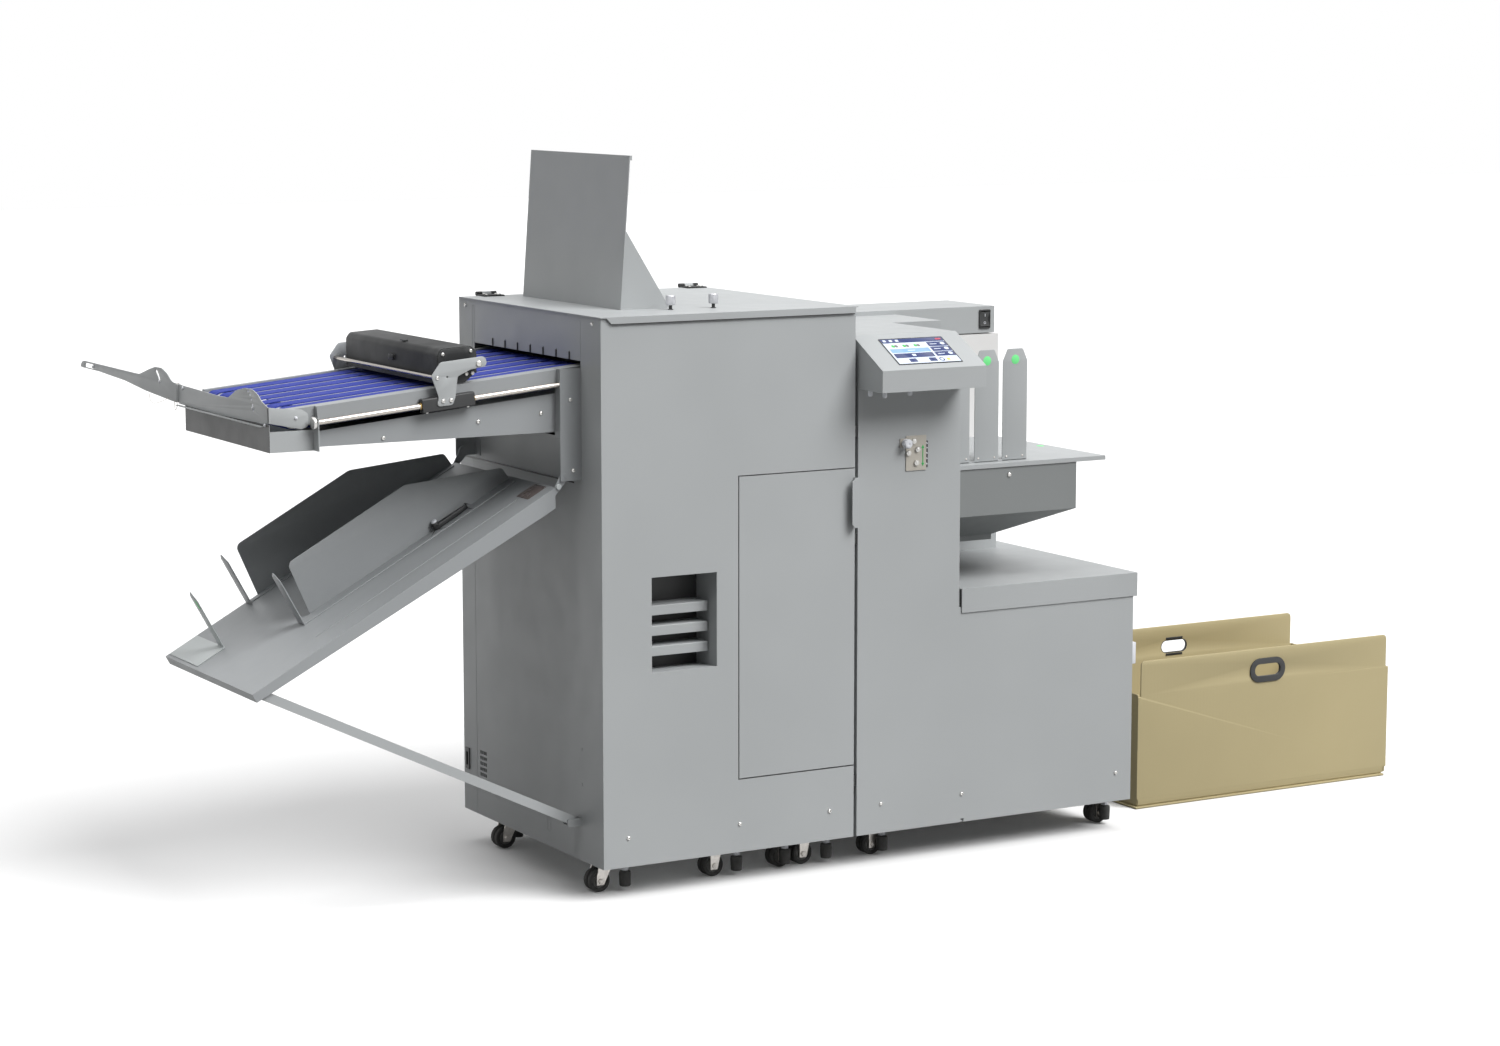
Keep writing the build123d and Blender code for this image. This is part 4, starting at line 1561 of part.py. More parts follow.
# Raised screw heads on casing fronts, delivery arm, bracket and corner post.
with BuildPart(FLOOR) as panel_screws:
    for left, screws in ((0, FRONT_SCREWS), (FEED_LEFT, FEED_SCREWS)):
        for screw_x, screw_z in screws:
            rod_y(left + screw_x, screw_z, (-SCREW_HIGH, 0), SCREW_HEAD)
    for screw_x, screw_z in ARM_SCREWS:
        rod_y(screw_x, screw_z, (ARM_Y - SCREW_HIGH, ARM_Y), SCREW_HEAD)
    for screw_x, screw_z in BRACKET_SCREWS:
        rod_y(screw_x, screw_z, (BRACKET_Y - SCREW_HIGH, BRACKET_Y), SCREW_HEAD)
    rod_x(POST_SCREW[0], POST_SCREW[1], (-SCREW_HIGH, 0), SCREW_HEAD)
finish(panel_screws, "panel_screws")

# Collecting bin: tall side panels with hand holes, lower leaning ends, flat base.
with BuildPart(FLOOR) as collecting_bin:
    bin_right = BIN_LEFT + BIN_LENGTH
    panel_ends = (BIN_LEFT + BIN_LEAN, bin_right - BIN_LEAN)
    for wall_y in ((BIN_Y[0], BIN_Y[0] + BIN_WALL), (BIN_Y[1] - BIN_WALL, BIN_Y[1])):
        panel_y(
            [(panel_ends[0], 0), (panel_ends[1], 0), (panel_ends[1], BIN_HIGH), (panel_ends[0], BIN_HIGH)],
            wall_y,
            corner=BIN_CORNER,
            above=BIN_HIGH,
        )
        hand_plane = Plane(
            FLOOR.location * Location((middle(panel_ends), wall_y[0], HAND_HOLE_Z), (90, 0, 0))
        )
        with BuildSketch(hand_plane) as hand_hole:
            RectangleRounded(HAND_HOLE[0], HAND_HOLE[1], HAND_HOLE[1] / 3)
        extrude(hand_hole.sketch, amount=-BIN_WALL, mode=Mode.SUBTRACT)
    for foot_x, lean in ((BIN_LEFT, BIN_LEAN), (bin_right, -BIN_LEAN)):
        inward = BIN_WALL if lean > 0 else -BIN_WALL
        panel_y(
            [
                (foot_x, 0),
                (foot_x + inward, 0),
                (foot_x + inward + lean, BIN_END_HIGH),
                (foot_x + lean, BIN_END_HIGH),
            ],
            BIN_Y,
        )
    slab((BIN_LEFT, bin_right), BIN_Y, (0, BIN_WALL))
finish(collecting_bin, "collecting_bin")
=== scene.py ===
"""Studio scene of a floor-standing sheet creaser and folder: its finishes, fine parts, light and camera."""

from __future__ import annotations

import json
import logging
import math
from collections.abc import Iterable, Sequence
from dataclasses import dataclass
from enum import Enum

import bmesh
import bpy
from mathutils import Matrix, Vector

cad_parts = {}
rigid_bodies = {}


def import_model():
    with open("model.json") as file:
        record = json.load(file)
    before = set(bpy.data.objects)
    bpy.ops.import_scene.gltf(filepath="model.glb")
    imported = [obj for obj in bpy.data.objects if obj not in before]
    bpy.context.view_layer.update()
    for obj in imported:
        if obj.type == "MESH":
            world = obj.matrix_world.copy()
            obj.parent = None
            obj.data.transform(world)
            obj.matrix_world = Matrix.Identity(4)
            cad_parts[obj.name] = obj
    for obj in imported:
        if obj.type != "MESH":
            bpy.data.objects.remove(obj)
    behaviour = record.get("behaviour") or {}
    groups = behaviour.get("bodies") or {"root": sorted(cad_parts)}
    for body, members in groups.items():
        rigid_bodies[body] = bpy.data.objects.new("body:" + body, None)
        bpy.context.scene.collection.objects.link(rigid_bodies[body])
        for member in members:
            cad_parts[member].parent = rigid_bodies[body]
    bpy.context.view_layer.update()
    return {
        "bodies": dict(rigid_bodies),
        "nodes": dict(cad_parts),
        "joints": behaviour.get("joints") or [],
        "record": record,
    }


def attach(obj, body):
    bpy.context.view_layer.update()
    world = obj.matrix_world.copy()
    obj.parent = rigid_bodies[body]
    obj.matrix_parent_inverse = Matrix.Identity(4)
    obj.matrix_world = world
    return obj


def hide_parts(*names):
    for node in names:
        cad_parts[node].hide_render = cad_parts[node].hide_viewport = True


LOG = logging.getLogger("sheet_folder")

MM = 0.001
DATUM_X = -784.606  # the cabinet's front left floor corner in the machine's frame, millimetres
DATUM_Y = -589.5
SHEET = 2.0  # folded sheet steel
ROD_Y = (99.0, 613.0)  # the two slide rods beside the belts, in the belts' frame
ROD_N = -29.0
MERGE = 0.002  # points closer than this are one, millimetres
CREASE = math.radians(32)  # faces that turn by more than this keep a sharp edge
WAVE_STEP = 1000.0 * 2.0 * math.pi / 20.0  # scale of a wave texture whose crests lie 1 mm apart

Flat = tuple[float, float]
Point = tuple[float, float, float]
Span = tuple[float, float]
Colour = tuple[float, float, float, float]
Tree = bpy.types.NodeTree
Socket = bpy.types.NodeSocket
Mesh = bpy.types.Mesh


# ------------------------------------------------------------------------------------------ places
@dataclass(frozen=True)
class Incline:
    """A unit's own frame, counted in millimetres from the cabinet's front left floor corner."""

    x: float = 0.0
    y: float = 0.0
    z: float = 0.0
    tilt: float = 0.0  # degrees that the unit's long side rises towards +X
    lean: float = 0.0  # degrees that it rises towards +Y

    def matrix(self) -> Matrix:
        """Matrix from the unit's millimetres to the machine's metres."""
        move = Matrix.Translation(((self.x + DATUM_X) * MM, (self.y + DATUM_Y) * MM, self.z * MM))
        turn = Matrix.Rotation(math.radians(self.lean), 4, "X")
        rise = Matrix.Rotation(-math.radians(self.tilt), 4, "Y")
        return move @ turn @ rise @ Matrix.Scale(MM, 4)


LEVEL = Incline()
BELTS = Incline(z=1150.0, tilt=5.2)
TRAY = Incline(x=-60.0, z=898.0, tilt=28.8)
SLOPE = Incline(y=-100.0, z=1129.0, lean=math.degrees(math.atan2(68.0, 125.0)))


class Body(Enum):
    """Rigid bodies of the machine that pieces ride on."""

    MACHINE = "machine"
    LID = "lid"
    WING = "far_wing"
    CARRIAGE = "carriage"
    HEAD = "head"
    TRAY = "tray"
    NEAR_GUIDE = "near_guide"
    FAR_GUIDE = "far_guide"
    STOP = "stop"
    CLAMP = "clamp"
    ROCKER = "rocker"
    ADJUSTER = "adjuster"
    ADJUSTER_KNOB = "adjuster_knob"
    TABLE = "table"
    FENCE = "fence"
    BIN = "bin"


class Slot(Enum):
    """Material slots of the record, one given with each piece."""

    CASING = "casing_paint"
    ROD = "rod_steel"
    ZINC = "zinc"
    BLACK = "black_plastic"
    TYRE = "tyre_rubber"
    SCREEN = "screen"
    BIN = "bin_plastic"


class Across(Enum):
    """Axis that a flat plate lies across: the rows turn (u, v, thickness) to (x, y, z)."""

    X = ((0, 0, 1), (1, 0, 0), (0, 1, 0))
    Y = ((1, 0, 0), (0, 0, -1), (0, 1, 0))
    Z = ((1, 0, 0), (0, 1, 0), (0, 0, 1))


# ------------------------------------------------------------------------------------------ nodes
def linear(colour: str) -> Colour:
    """Turn an sRGB hex colour to linear values.

    Args:
        colour: six hex digits after a hash sign.

    Returns:
        Red, green, blue and full alpha.
    """
    shares = (int(colour[i : i + 2], 16) / 255 for i in (1, 3, 5))
    red, green, blue = (s / 12.92 if s <= 0.04045 else ((s + 0.055) / 1.055) ** 2.4 for s in shares)
    return (red, green, blue, 1.0)


def dimmed(colour: str, share: float) -> Colour:
    """Linear values of a hex colour that keeps only a share of its light."""
    red, green, blue, alpha = linear(colour)
    return (share * red, share * green, share * blue, alpha)


def add(
    tree: Tree,
    kind: str,
    settings: dict[str, object] | None = None,
    sockets: dict[str | int, object] | None = None,
) -> bpy.types.Node:
    """Add one node with its settings, socket values and links.

    Args:
        tree: the tree that gets the node.
        kind: the node's type name.
        settings: properties of the node by name.
        sockets: for each input, by name or number, its value or the output that feeds it.

    Returns:
        The new node.
    """
    made = tree.nodes.new(kind)
    for key, value in (settings or {}).items():
        setattr(made, key, value)
    for key, value in (sockets or {}).items():
        if isinstance(value, Socket):
            tree.links.new(value, made.inputs[key])
        else:
            made.inputs[key].default_value = value
    return made


@dataclass(frozen=True)
class Lumps:
    """Random patches of about one real size, in a finish's colour, gloss or relief."""

    size_mm: float
    detail: float = 2.0  # octaves of finer noise
    low: float = 0.0  # level of the lowest patches
    high: float = 1.0

    def height(self, tree: Tree, place: Socket) -> Socket:
        """Height of the patches, about 0.5 on average.

        Args:
            tree: the material's tree.
            place: coordinates in metres.

        Returns:
            The socket with their height.
        """
        scale = 1000.0 / self.size_mm
        sockets = {"Vector": place, "Scale": scale, "Detail": self.detail, "Roughness": 0.55}
        return add(tree, "ShaderNodeTexNoise", None, sockets).outputs[0]

    def level(self, tree: Tree, place: Socket) -> Socket:
        """Patches whose middle heights are spread from the low to the high level.

        Args:
            tree: the material's tree.
            place: coordinates in metres.

        Returns:
            The socket with their level.
        """
        sockets = {
            "Value": self.height(tree, place),
            "From Min": 0.3,
            "From Max": 0.7,
            "To Min": self.low,
            "To Max": self.high,
        }
        return add(tree, "ShaderNodeMapRange", None, sockets).outputs[0]

    def over(self, tree: Tree, place: Socket, first: Colour, second: Colour) -> Socket:
        """Two colours, with the second one in the patches.

        Args:
            tree: the material's tree.
            place: coordinates in metres.
            first: colour where the level is 0.
            second: colour where it is 1.

        Returns:
            The colour's socket.
        """
        sockets = {0: self.level(tree, place), 6: first, 7: second}
        return add(tree, "ShaderNodeMix", {"data_type": "RGBA"}, sockets).outputs[2]


# ------------------------------------------------------------------------------------------ finishes
@dataclass(frozen=True)
class Split:
    """A second colour between two planes: on some finishes a second paint, on others painted shade on one
    face or in a recess.
    """

    axis: int  # 0, 1 or 2 for X, Y or Z
    colour: str
    low: float = -9000.0  # millimetres in the cabinet's own count
    high: float = 9000.0

    def share(self, tree: Tree, place: Socket) -> Socket:
        """Where the second colour lies.

        Args:
            tree: the material's tree.
            place: coordinates in metres.

        Returns:
            A socket that is 1 there and 0 elsewhere.
        """
        offset = (DATUM_X, DATUM_Y, 0.0)[self.axis]
        level = add(tree, "ShaderNodeSeparateXYZ", None, {0: place}).outputs[self.axis]
        middle, half = (self.low + self.high) / 2 + offset, (self.high - self.low) / 2
        away = add(tree, "ShaderNodeMath", {"operation": "SUBTRACT"}, {0: level, 1: middle * MM}).outputs[0]
        size = add(tree, "ShaderNodeMath", {"operation": "ABSOLUTE"}, {0: away}).outputs[0]
        return add(tree, "ShaderNodeMath", {"operation": "LESS_THAN"}, {0: size, 1: half * MM}).outputs[0]


@dataclass(frozen=True)
class Finish:
    """One real finish: its colour and plain shader values, with patterns that its kind adds."""

    name: str
    colour: str
    roughness: float = 0.5
    metallic: float = 0.0
    ior: float = 1.5
    edge_mm: float = 0.5  # radius that light sees on folded or cut edges
    grain_mm: float = 0.02  # depth of the surface's grain
    split: Split | None = None

    def tint(self, tree: Tree, place: Socket) -> Socket:
        """Colour with the slow drift that any batch of paint or plastic has, and a split's second colour,
        which on some finishes is painted shade.

        Args:
            tree: the material's tree.
            place: coordinates in metres.

        Returns:
            The colour's socket.
        """
        colour = Lumps(380.0).over(tree, place, linear(self.colour), dimmed(self.colour, 0.93))
        if self.split is not None:
            sockets = {0: self.split.share(tree, place), 6: colour, 7: linear(self.split.colour)}
            colour = add(tree, "ShaderNodeMix", {"data_type": "RGBA"}, sockets).outputs[2]
        return colour

    def relief(self, tree: Tree, place: Socket) -> Socket:
        """Height of the surface's grain, as a share of its depth."""
        return Lumps(2.5).height(tree, place)

    def gloss(self, tree: Tree, place: Socket) -> Socket:
        """Roughness, with faint handling marks."""
        return Lumps(60.0, 3.0, self.roughness - 0.04, self.roughness + 0.05).level(tree, place)

    def edges(self, tree: Tree, colour: Socket, soft: Socket, place: Socket) -> Socket:
        """Colour with whatever wear the edges show; most kinds show none."""
        return colour

    def material(self) -> bpy.types.Material:
        """The finish as a Blender material, built once.

        Returns:
            The new material, or the one of that name.
        """
        known = bpy.data.materials.get(self.name)
        if known is not None:
            return known
        made = bpy.data.materials.new(self.name)
        made.use_nodes = True
        tree = made.node_tree
        shader = tree.nodes["Principled BSDF"]
        shader.inputs["Metallic"].default_value = self.metallic
        if not self.metallic:
            shader.inputs["IOR"].default_value = self.ior
        place = add(tree, "ShaderNodeTexCoord").outputs["Object"]
        soft = add(tree, "ShaderNodeBevel", {"samples": 4}, {"Radius": self.edge_mm * MM}).outputs[0]
        colour = self.edges(tree, self.tint(tree, place), soft, place)
        sockets = {
            "Height": self.relief(tree, place),
            "Strength": 1.0,
            "Distance": self.grain_mm * MM,
            "Normal": soft,
        }
        bump = add(tree, "ShaderNodeBump", None, sockets)
        tree.links.new(colour, shader.inputs["Base Color"])
        tree.links.new(self.gloss(tree, place), shader.inputs["Roughness"])
        tree.links.new(bump.outputs[0], shader.inputs["Normal"])
        self.extra(shader)
        return made

    def extra(self, shader: bpy.types.Node) -> None:
        """Plain socket values that only one kind of finish needs."""


@dataclass(frozen=True)
class PowderCoat(Finish):
    """Polyester powder coat on steel: satin, with fine orange peel and edges rubbed a little paler."""

    roughness: float = 0.46
    grain_mm: float = 0.012

    def relief(self, tree: Tree, place: Socket) -> Socket:
        """Orange peel, about 1 mm on the real paint and drawn at 3 mm so that it shows."""
        return Lumps(3.0, 1.0).height(tree, place)

    def edges(self, tree: Tree, colour: Socket, soft: Socket, place: Socket) -> Socket:
        """Rub the paint paler on folded edges, in broken stretches.

        Args:
            tree: the material's tree.
            colour: the paint's colour.
            soft: normal that rounds the edges.
            place: coordinates in metres.

        Returns:
            The colour's socket.
        """
        flat = add(tree, "ShaderNodeNewGeometry").outputs["True Normal"]
        dot = add(tree, "ShaderNodeVectorMath", {"operation": "DOT_PRODUCT"}, {0: soft, 1: flat})
        sockets = {
            "Value": dot.outputs["Value"],
            "From Min": 0.9,
            "From Max": 0.995,
            "To Min": 0.45,
            "To Max": 0.0,
        }
        edge = add(tree, "ShaderNodeMapRange", None, sockets).outputs[0]
        broken = Lumps(25.0, 3.0, 0.2).level(tree, place)
        share = add(tree, "ShaderNodeMath", {"operation": "MULTIPLY"}, {0: edge, 1: broken}).outputs[0]
        sockets = {0: share, 6: colour, 7: linear("#C9CCCC")}
        return add(tree, "ShaderNodeMix", {"data_type": "RGBA"}, sockets).outputs[2]


@dataclass(frozen=True)
class PlatedSteel(Finish):
    """Zinc-plated steel: bright and slightly cloudy, with fine pits."""

    roughness: float = 0.34
    metallic: float = 1.0
    grain_mm: float = 0.006

    def tint(self, tree: Tree, place: Socket) -> Socket:
        """Clouds of plating, a few millimetres wide."""
        return Lumps(8.0, 3.0).over(tree, place, linear(self.colour), dimmed(self.colour, 0.8))

    def relief(self, tree: Tree, place: Socket) -> Socket:
        """Fine pitting."""
        return Lumps(1.2).height(tree, place)


@dataclass(frozen=True)
class GroundSteel(Finish):
    """Ground and polished shaft steel: bright, with rings left by the grinding wheel."""

    roughness: float = 0.2
    metallic: float = 1.0
    grain_mm: float = 0.003

    def relief(self, tree: Tree, place: Socket) -> Socket:
        """Rings round the shaft, drawn 0.8 mm apart."""
        run = add(tree, "ShaderNodeMapping", None, {"Vector": place, "Scale": (1.0, 0.02, 0.02)}).outputs[0]
        return Lumps(0.8, 1.0).height(tree, run)


@dataclass(frozen=True)
class MouldedPlastic(Finish):
    """Moulded nylon or ABS with a spark-eroded grain."""

    roughness: float = 0.48
    ior: float = 1.53
    grain_mm: float = 0.03

    def relief(self, tree: Tree, place: Socket) -> Socket:
        """Eroded grain, drawn at 1.2 mm so that it shows."""
        cells = add(tree, "ShaderNodeTexVoronoi", None, {"Vector": place, "Scale": 1000.0 / 1.2})
        return cells.outputs["Distance"]


@dataclass(frozen=True)
class TyreRubber(Finish):
    """Vulcanised rubber: matt, dusted by the floor, with shallow marks in its skin."""

    roughness: float = 0.78
    ior: float = 1.52
    grain_mm: float = 0.05

    def tint(self, tree: Tree, place: Socket) -> Socket:
        """Dark rubber with grey dust in patches."""
        dust = Lumps(12.0, 3.0, high=0.35)
        return dust.over(tree, place, linear(self.colour), linear("#5A5A58"))


@dataclass(frozen=True)
class BeltSkin(Finish):
    """Polyurethane belt on woven polyester: the weave presses through the smooth skin."""

    roughness: float = 0.55
    grain_mm: float = 0.015

    def tint(self, tree: Tree, place: Socket) -> Socket:
        """Blue with darker drag streaks along the run."""
        run = add(tree, "ShaderNodeMapping", None, {"Vector": place, "Scale": (0.06, 1.0, 0.06)}).outputs[0]
        return Lumps(4.0, 3.0, high=0.8).over(tree, run, linear(self.colour), linear("#29337C"))

    def relief(self, tree: Tree, place: Socket) -> Socket:
        """Warp and weft, drawn 3.2 mm apart so that they show.

        Args:
            tree: the material's tree.
            place: coordinates in metres.

        Returns:
            The socket with the weave's height.
        """
        threads = []
        for direction in ("X", "Y"):
            settings = {"wave_type": "BANDS", "bands_direction": direction}
            sockets = {"Vector": place, "Scale": WAVE_STEP / 3.2, "Distortion": 0.0}
            threads.append(add(tree, "ShaderNodeTexWave", settings, sockets).outputs[1])
        sockets = {0: threads[0], 1: threads[1]}
        return add(tree, "ShaderNodeMath", {"operation": "MAXIMUM"}, sockets).outputs[0]


@dataclass(frozen=True)
class HollowBoard(Finish):
    """Twin-wall polypropylene board: matt, with faint upright flutes and scuffs."""

    roughness: float = 0.6
    grain_mm: float = 0.03

    def relief(self, tree: Tree, place: Socket) -> Socket:
        """Flutes that show faintly through the skin, every second one of them drawn, 10 mm apart."""
        settings = {"wave_type": "BANDS", "bands_direction": "X"}
        sockets = {"Vector": place, "Scale": WAVE_STEP / 10.0, "Distortion": 0.0}
        return add(tree, "ShaderNodeTexWave", settings, sockets).outputs[1]


@dataclass(frozen=True)
class LitPanel(Finish):
    """Lit picture behind the touch screen's glass: flat colour that glows a little, and next to no grain."""

    roughness: float = 0.12
    grain_mm: float = 0.001
    glow: float = 0.35

    def extra(self, shader: bpy.types.Node) -> None:
        """Give the picture its own light."""
        shader.inputs["Emission Color"].default_value = linear(self.colour)
        shader.inputs["Emission Strength"].default_value = self.glow


CASING = PowderCoat("powder_coated_steel_grey", "#A8ABAC")
CASING_PALE = PowderCoat("powder_coated_steel_pale", "#BCC1C1")
CASING_REAR = PowderCoat(
    "powder_coated_steel_two_tone", "#A8ABAC", split=Split(axis=2, low=692.0, high=1141.0, colour="#D9D8D7")
)
# Painted shade: the end box's left face, left of x = -699 mm, is painted near black for the shade it lies in
# under the wings.
CASING_BOX_SHADED_END = PowderCoat(
    "powder_coated_steel_painted_shade_end", "#A8ABAC", split=Split(axis=0, high=-699.0, colour="#2E2F2F")
)
# Painted shade: behind y = 91 mm the louvre's recess is painted near black for the deep shade inside it.
CASING_LOUVRE = PowderCoat(
    "powder_coated_steel_painted_shade_back", "#A8ABAC", split=Split(axis=1, low=91.0, colour="#121314")
)
PLATING = PlatedSteel("zinc_plated_steel", "#C9C5C0")
NICKEL = PlatedSteel("nickel_plated_heads", "#C6C5C2", roughness=0.3)
FRAME_STEEL = PlatedSteel("zinc_plated_frame", "#A7A9A9", roughness=0.42)
SHAFT = GroundSteel("ground_shaft_steel", "#B0ABA5")
ALLOY = PlatedSteel("turned_aluminium", "#CFD0D4", roughness=0.3)
BRONZE = PlatedSteel("sintered_bronze", "#B79A62", roughness=0.5)
BLACK_NYLON = MouldedPlastic("black_moulded_nylon", "#232425")
BLACK_PAINT = PowderCoat("powder_coated_steel_black", "#1F2021", roughness=0.55, ior=1.35)
# Painted shade: the chute under the feed table is painted darker than the casing for the table's shade on it.
CASING_SHADED = PowderCoat("powder_coated_steel_chute_painted_shade", "#7C7F7F")
# Painted shade: the stacker tray, its guides and the belts' frame are painted darker than the casing for the
# shade under the delivery.
CASING_TRAY_SHADE = PowderCoat("powder_coated_steel_tray_painted_shade", "#95989A")
GREY_NYLON = MouldedPlastic("grey_wheel_nylon", "#6C6C6A", roughness=0.55)
# White nylon; on the clamp's metal nut the same white is a painted reflection.
PALE_NYLON_AND_PAINTED_GLINT = MouldedPlastic("pale_nylon_and_painted_glint", "#DDDFE4", roughness=0.4)
TYRE = TyreRubber("tyre_rubber_black", "#333332")
ROLLER = TyreRubber("roller_rubber_black", "#2B2B2C", roughness=0.6)
BELT = BeltSkin("polyurethane_belt_blue", "#3A469C", roughness=0.7, ior=1.25)
BOARD = HollowBoard("polypropylene_board_tan", "#B3A67F")
SCALE = PowderCoat("anodised_plate_beige", "#B5B0A6", roughness=0.4)
WINDOW = MouldedPlastic("tinted_window", "#6B625F", roughness=0.25)
GREEN = MouldedPlastic("green_marker_vinyl", "#78EB91", roughness=0.5)
DEEP_GREEN = MouldedPlastic("green_arrow_vinyl", "#2F9E4F", roughness=0.5)
BLACK_GLASS = LitPanel("black_screen_glass", "#1B1E27", glow=0.0)
SCREEN_NAVY = LitPanel("screen_navy", "#1E2F66", glow=0.15)
SCREEN_PALE = LitPanel("screen_pale", "#D3DEEE", glow=0.1)
SCREEN_BLUE = LitPanel("screen_light_blue", "#7FA6E6", glow=0.15)
SCREEN_RED = LitPanel("screen_red", "#B2404F")
SCREEN_GREEN = LitPanel("screen_green", "#3FA648")
SCREEN_YELLOW = LitPanel("screen_yellow", "#E9C34A")


# ------------------------------------------------------------------------------------------ meshes
def rounded(corners: Sequence[Flat], radius: float | Sequence[float], steps: int = 5) -> list[Flat]:
    """Round the corners of an outline.

    Args:
        corners: the outline's corners in order.
        radius: one radius for all, or one for each corner.
        steps: straight pieces in each round.

    Returns:
        The outline's points.
    """
    radii = [radius] * len(corners) if isinstance(radius, (int, float)) else list(radius)
    points: list[Flat] = []
    for i, corner in enumerate(corners):
        here = Vector(corner)
        before = (Vector(corners[i - 1]) - here).normalized()
        after = (Vector(corners[(i + 1) % len(corners)]) - here).normalized()
        angle = before.angle(after)
        if radii[i] <= 0 or angle > math.radians(178):
            points.append(corner)
            continue
        reach = radii[i] / math.tan(angle / 2)
        centre = here + (before + after).normalized() * (radii[i] / math.sin(angle / 2))
        start = here + before * reach - centre
        sweep = start.angle_signed(here + after * reach - centre)
        for step in range(steps + 1):
            turned = start.copy()
            turned.rotate(Matrix.Rotation(-sweep * step / steps, 2))
            points.append(tuple(centre + turned))
    return points


def oblong(u: Span, v: Span, radius: float | Sequence[float] = 0.0, steps: int = 5) -> list[Flat]:
    """Rectangle with rounded corners, drawn from its lowest u and v and along u first.

    Args:
        u: its two sides.
        v: its lower and upper side.
        radius: one radius for all corners, or one for each.
        steps: straight pieces in each round.

    Returns:
        The outline's points.
    """
    return rounded([(u[0], v[0]), (u[1], v[0]), (u[1], v[1]), (u[0], v[1])], radius, steps)


def circle(centre: Flat, radius: float, sides: int = 20) -> list[Flat]:
    """Circle in a plate's plane.

    Args:
        centre: its centre.
        radius: its radius.
        sides: straight pieces round it.

    Returns:
        The outline's points.
    """
    turns = (2 * math.pi * i / sides for i in range(sides))
    return [(centre[0] + radius * math.cos(a), centre[1] + radius * math.sin(a)) for a in turns]


def pill(start: Flat, end: Flat, radius: float, steps: int = 8) -> list[Flat]:
    """Slot between two centres.

    Args:
        start: centre of one end.
        end: centre of the other.
        radius: half the slot's width.
        steps: straight pieces in each end.

    Returns:
        The outline's points.
    """
    along = (Vector(end) - Vector(start)).normalized()
    turn = math.atan2(along.y, along.x)
    points: list[Flat] = []
    for centre, first in ((end, turn - math.pi / 2), (start, turn + math.pi / 2)):
        for step in range(steps + 1):
            angle = first + math.pi * step / steps
            points.append((centre[0] + radius * math.cos(angle), centre[1] + radius * math.sin(angle)))
    return points


def mesh_from(made: bmesh.types.BMesh) -> Mesh:
    """Merge doubles, turn the faces outwards and free the working mesh.

    Args:
        made: the working mesh.

    Returns:
        The finished mesh.
    """
    bmesh.ops.remove_doubles(made, verts=made.verts, dist=MERGE)
    bmesh.ops.recalc_face_normals(made, faces=made.faces)
    mesh = bpy.data.meshes.new("mesh")
    made.to_mesh(mesh)
    made.free()
    return mesh


def from_curve(curve: bpy.types.Curve) -> Mesh:
    """Turn a curve to a closed mesh and delete the curve.

    Args:
        curve: a curve that is extruded or has a bevel.

    Returns:
        Its mesh, with doubles merged and faces outwards.
    """
    holder = bpy.data.objects.new("holder", curve)
    bpy.context.scene.collection.objects.link(holder)
    bpy.context.view_layer.update()
    raw = bpy.data.meshes.new_from_object(holder.evaluated_get(bpy.context.evaluated_depsgraph_get()))
    bpy.data.objects.remove(holder)
    bpy.data.curves.remove(curve)
    made = bmesh.new()
    made.from_mesh(raw)
    bpy.data.meshes.remove(raw)
    return mesh_from(made)


def plate(
    outline: Sequence[Flat],
    span: Span,
    across: Across = Across.Y,
    holes: Iterable[Sequence[Flat]] = (),
    edge: float = 0.35,
) -> Mesh:
    """Flat plate with broken edges.

    Args:
        outline: outer outline in millimetres.
        span: the plate's two faces along the axis that it lies across.
        across: that axis.
        holes: outlines that are cut out.
        edge: how far the edges are broken.

    Returns:
        A closed mesh in millimetres.
    """
    curve = bpy.data.curves.new("plate", "CURVE")
    curve.dimensions = "2D"
    curve.fill_mode = "BOTH"
    for loop in (outline, *holes):
        spline = curve.splines.new("POLY")
        spline.points.add(len(loop) - 1)
        for point, (u, v) in zip(spline.points, loop):
            point.co = (u, v, 0.0, 1.0)
        spline.use_cyclic_u = True
    curve.extrude = (span[1] - span[0]) / 2 - edge
    curve.bevel_depth = edge
    curve.bevel_resolution = 1
    curve.offset = -edge
    mesh = from_curve(curve)
    turn = Matrix(across.value).to_4x4()
    middle = (span[0] + span[1]) / 2
    axis = {Across.X: (middle, 0, 0), Across.Y: (0, middle, 0), Across.Z: (0, 0, middle)}[across]
    mesh.transform(Matrix.Translation(axis) @ turn)
    return mesh


def lathe(profile: Sequence[Flat], sides: int = 32, closed: bool = False) -> Mesh:
    """Turned shape round the Z axis.

    Args:
        profile: radius and height of each point.
        sides: pieces round the axis.
        closed: whether the last point joins the first, as on a ring.

    Returns:
        A closed mesh in millimetres.
    """
    made = bmesh.new()
    rings = []
    for radius, height in profile:
        turns = [0.0] if radius < 1e-6 else [2 * math.pi * i / sides for i in range(sides)]
        rings.append([made.verts.new((radius * math.cos(a), radius * math.sin(a), height)) for a in turns])
    pairs = list(zip(rings, rings[1:]))
    if closed:
        pairs.append((rings[-1], rings[0]))
    for low, high in pairs:
        for i in range(sides):
            j = i + 1
            corners = (low[i % len(low)], low[j % len(low)], high[j % len(high)], high[i % len(high)])
            face = list(dict.fromkeys(corners))
            if len(face) > 2:
                made.faces.new(face)
    return mesh_from(made)


def tube(inner: float, outer: float, span: Span, at: Flat = (0.0, 0.0), sides: int = 24) -> Mesh:
    """Upright tube between two heights.

    Args:
        inner: radius of its bore.
        outer: its own radius.
        span: its lower and upper end.
        at: x and y of its axis.
        sides: pieces round the axis.

    Returns:
        A closed mesh in millimetres.
    """
    profile = [(inner, span[0]), (outer, span[0]), (outer, span[1]), (inner, span[1])]
    mesh = lathe(profile, sides, closed=True)
    mesh.transform(Matrix.Translation((*at, 0.0)))
    return mesh


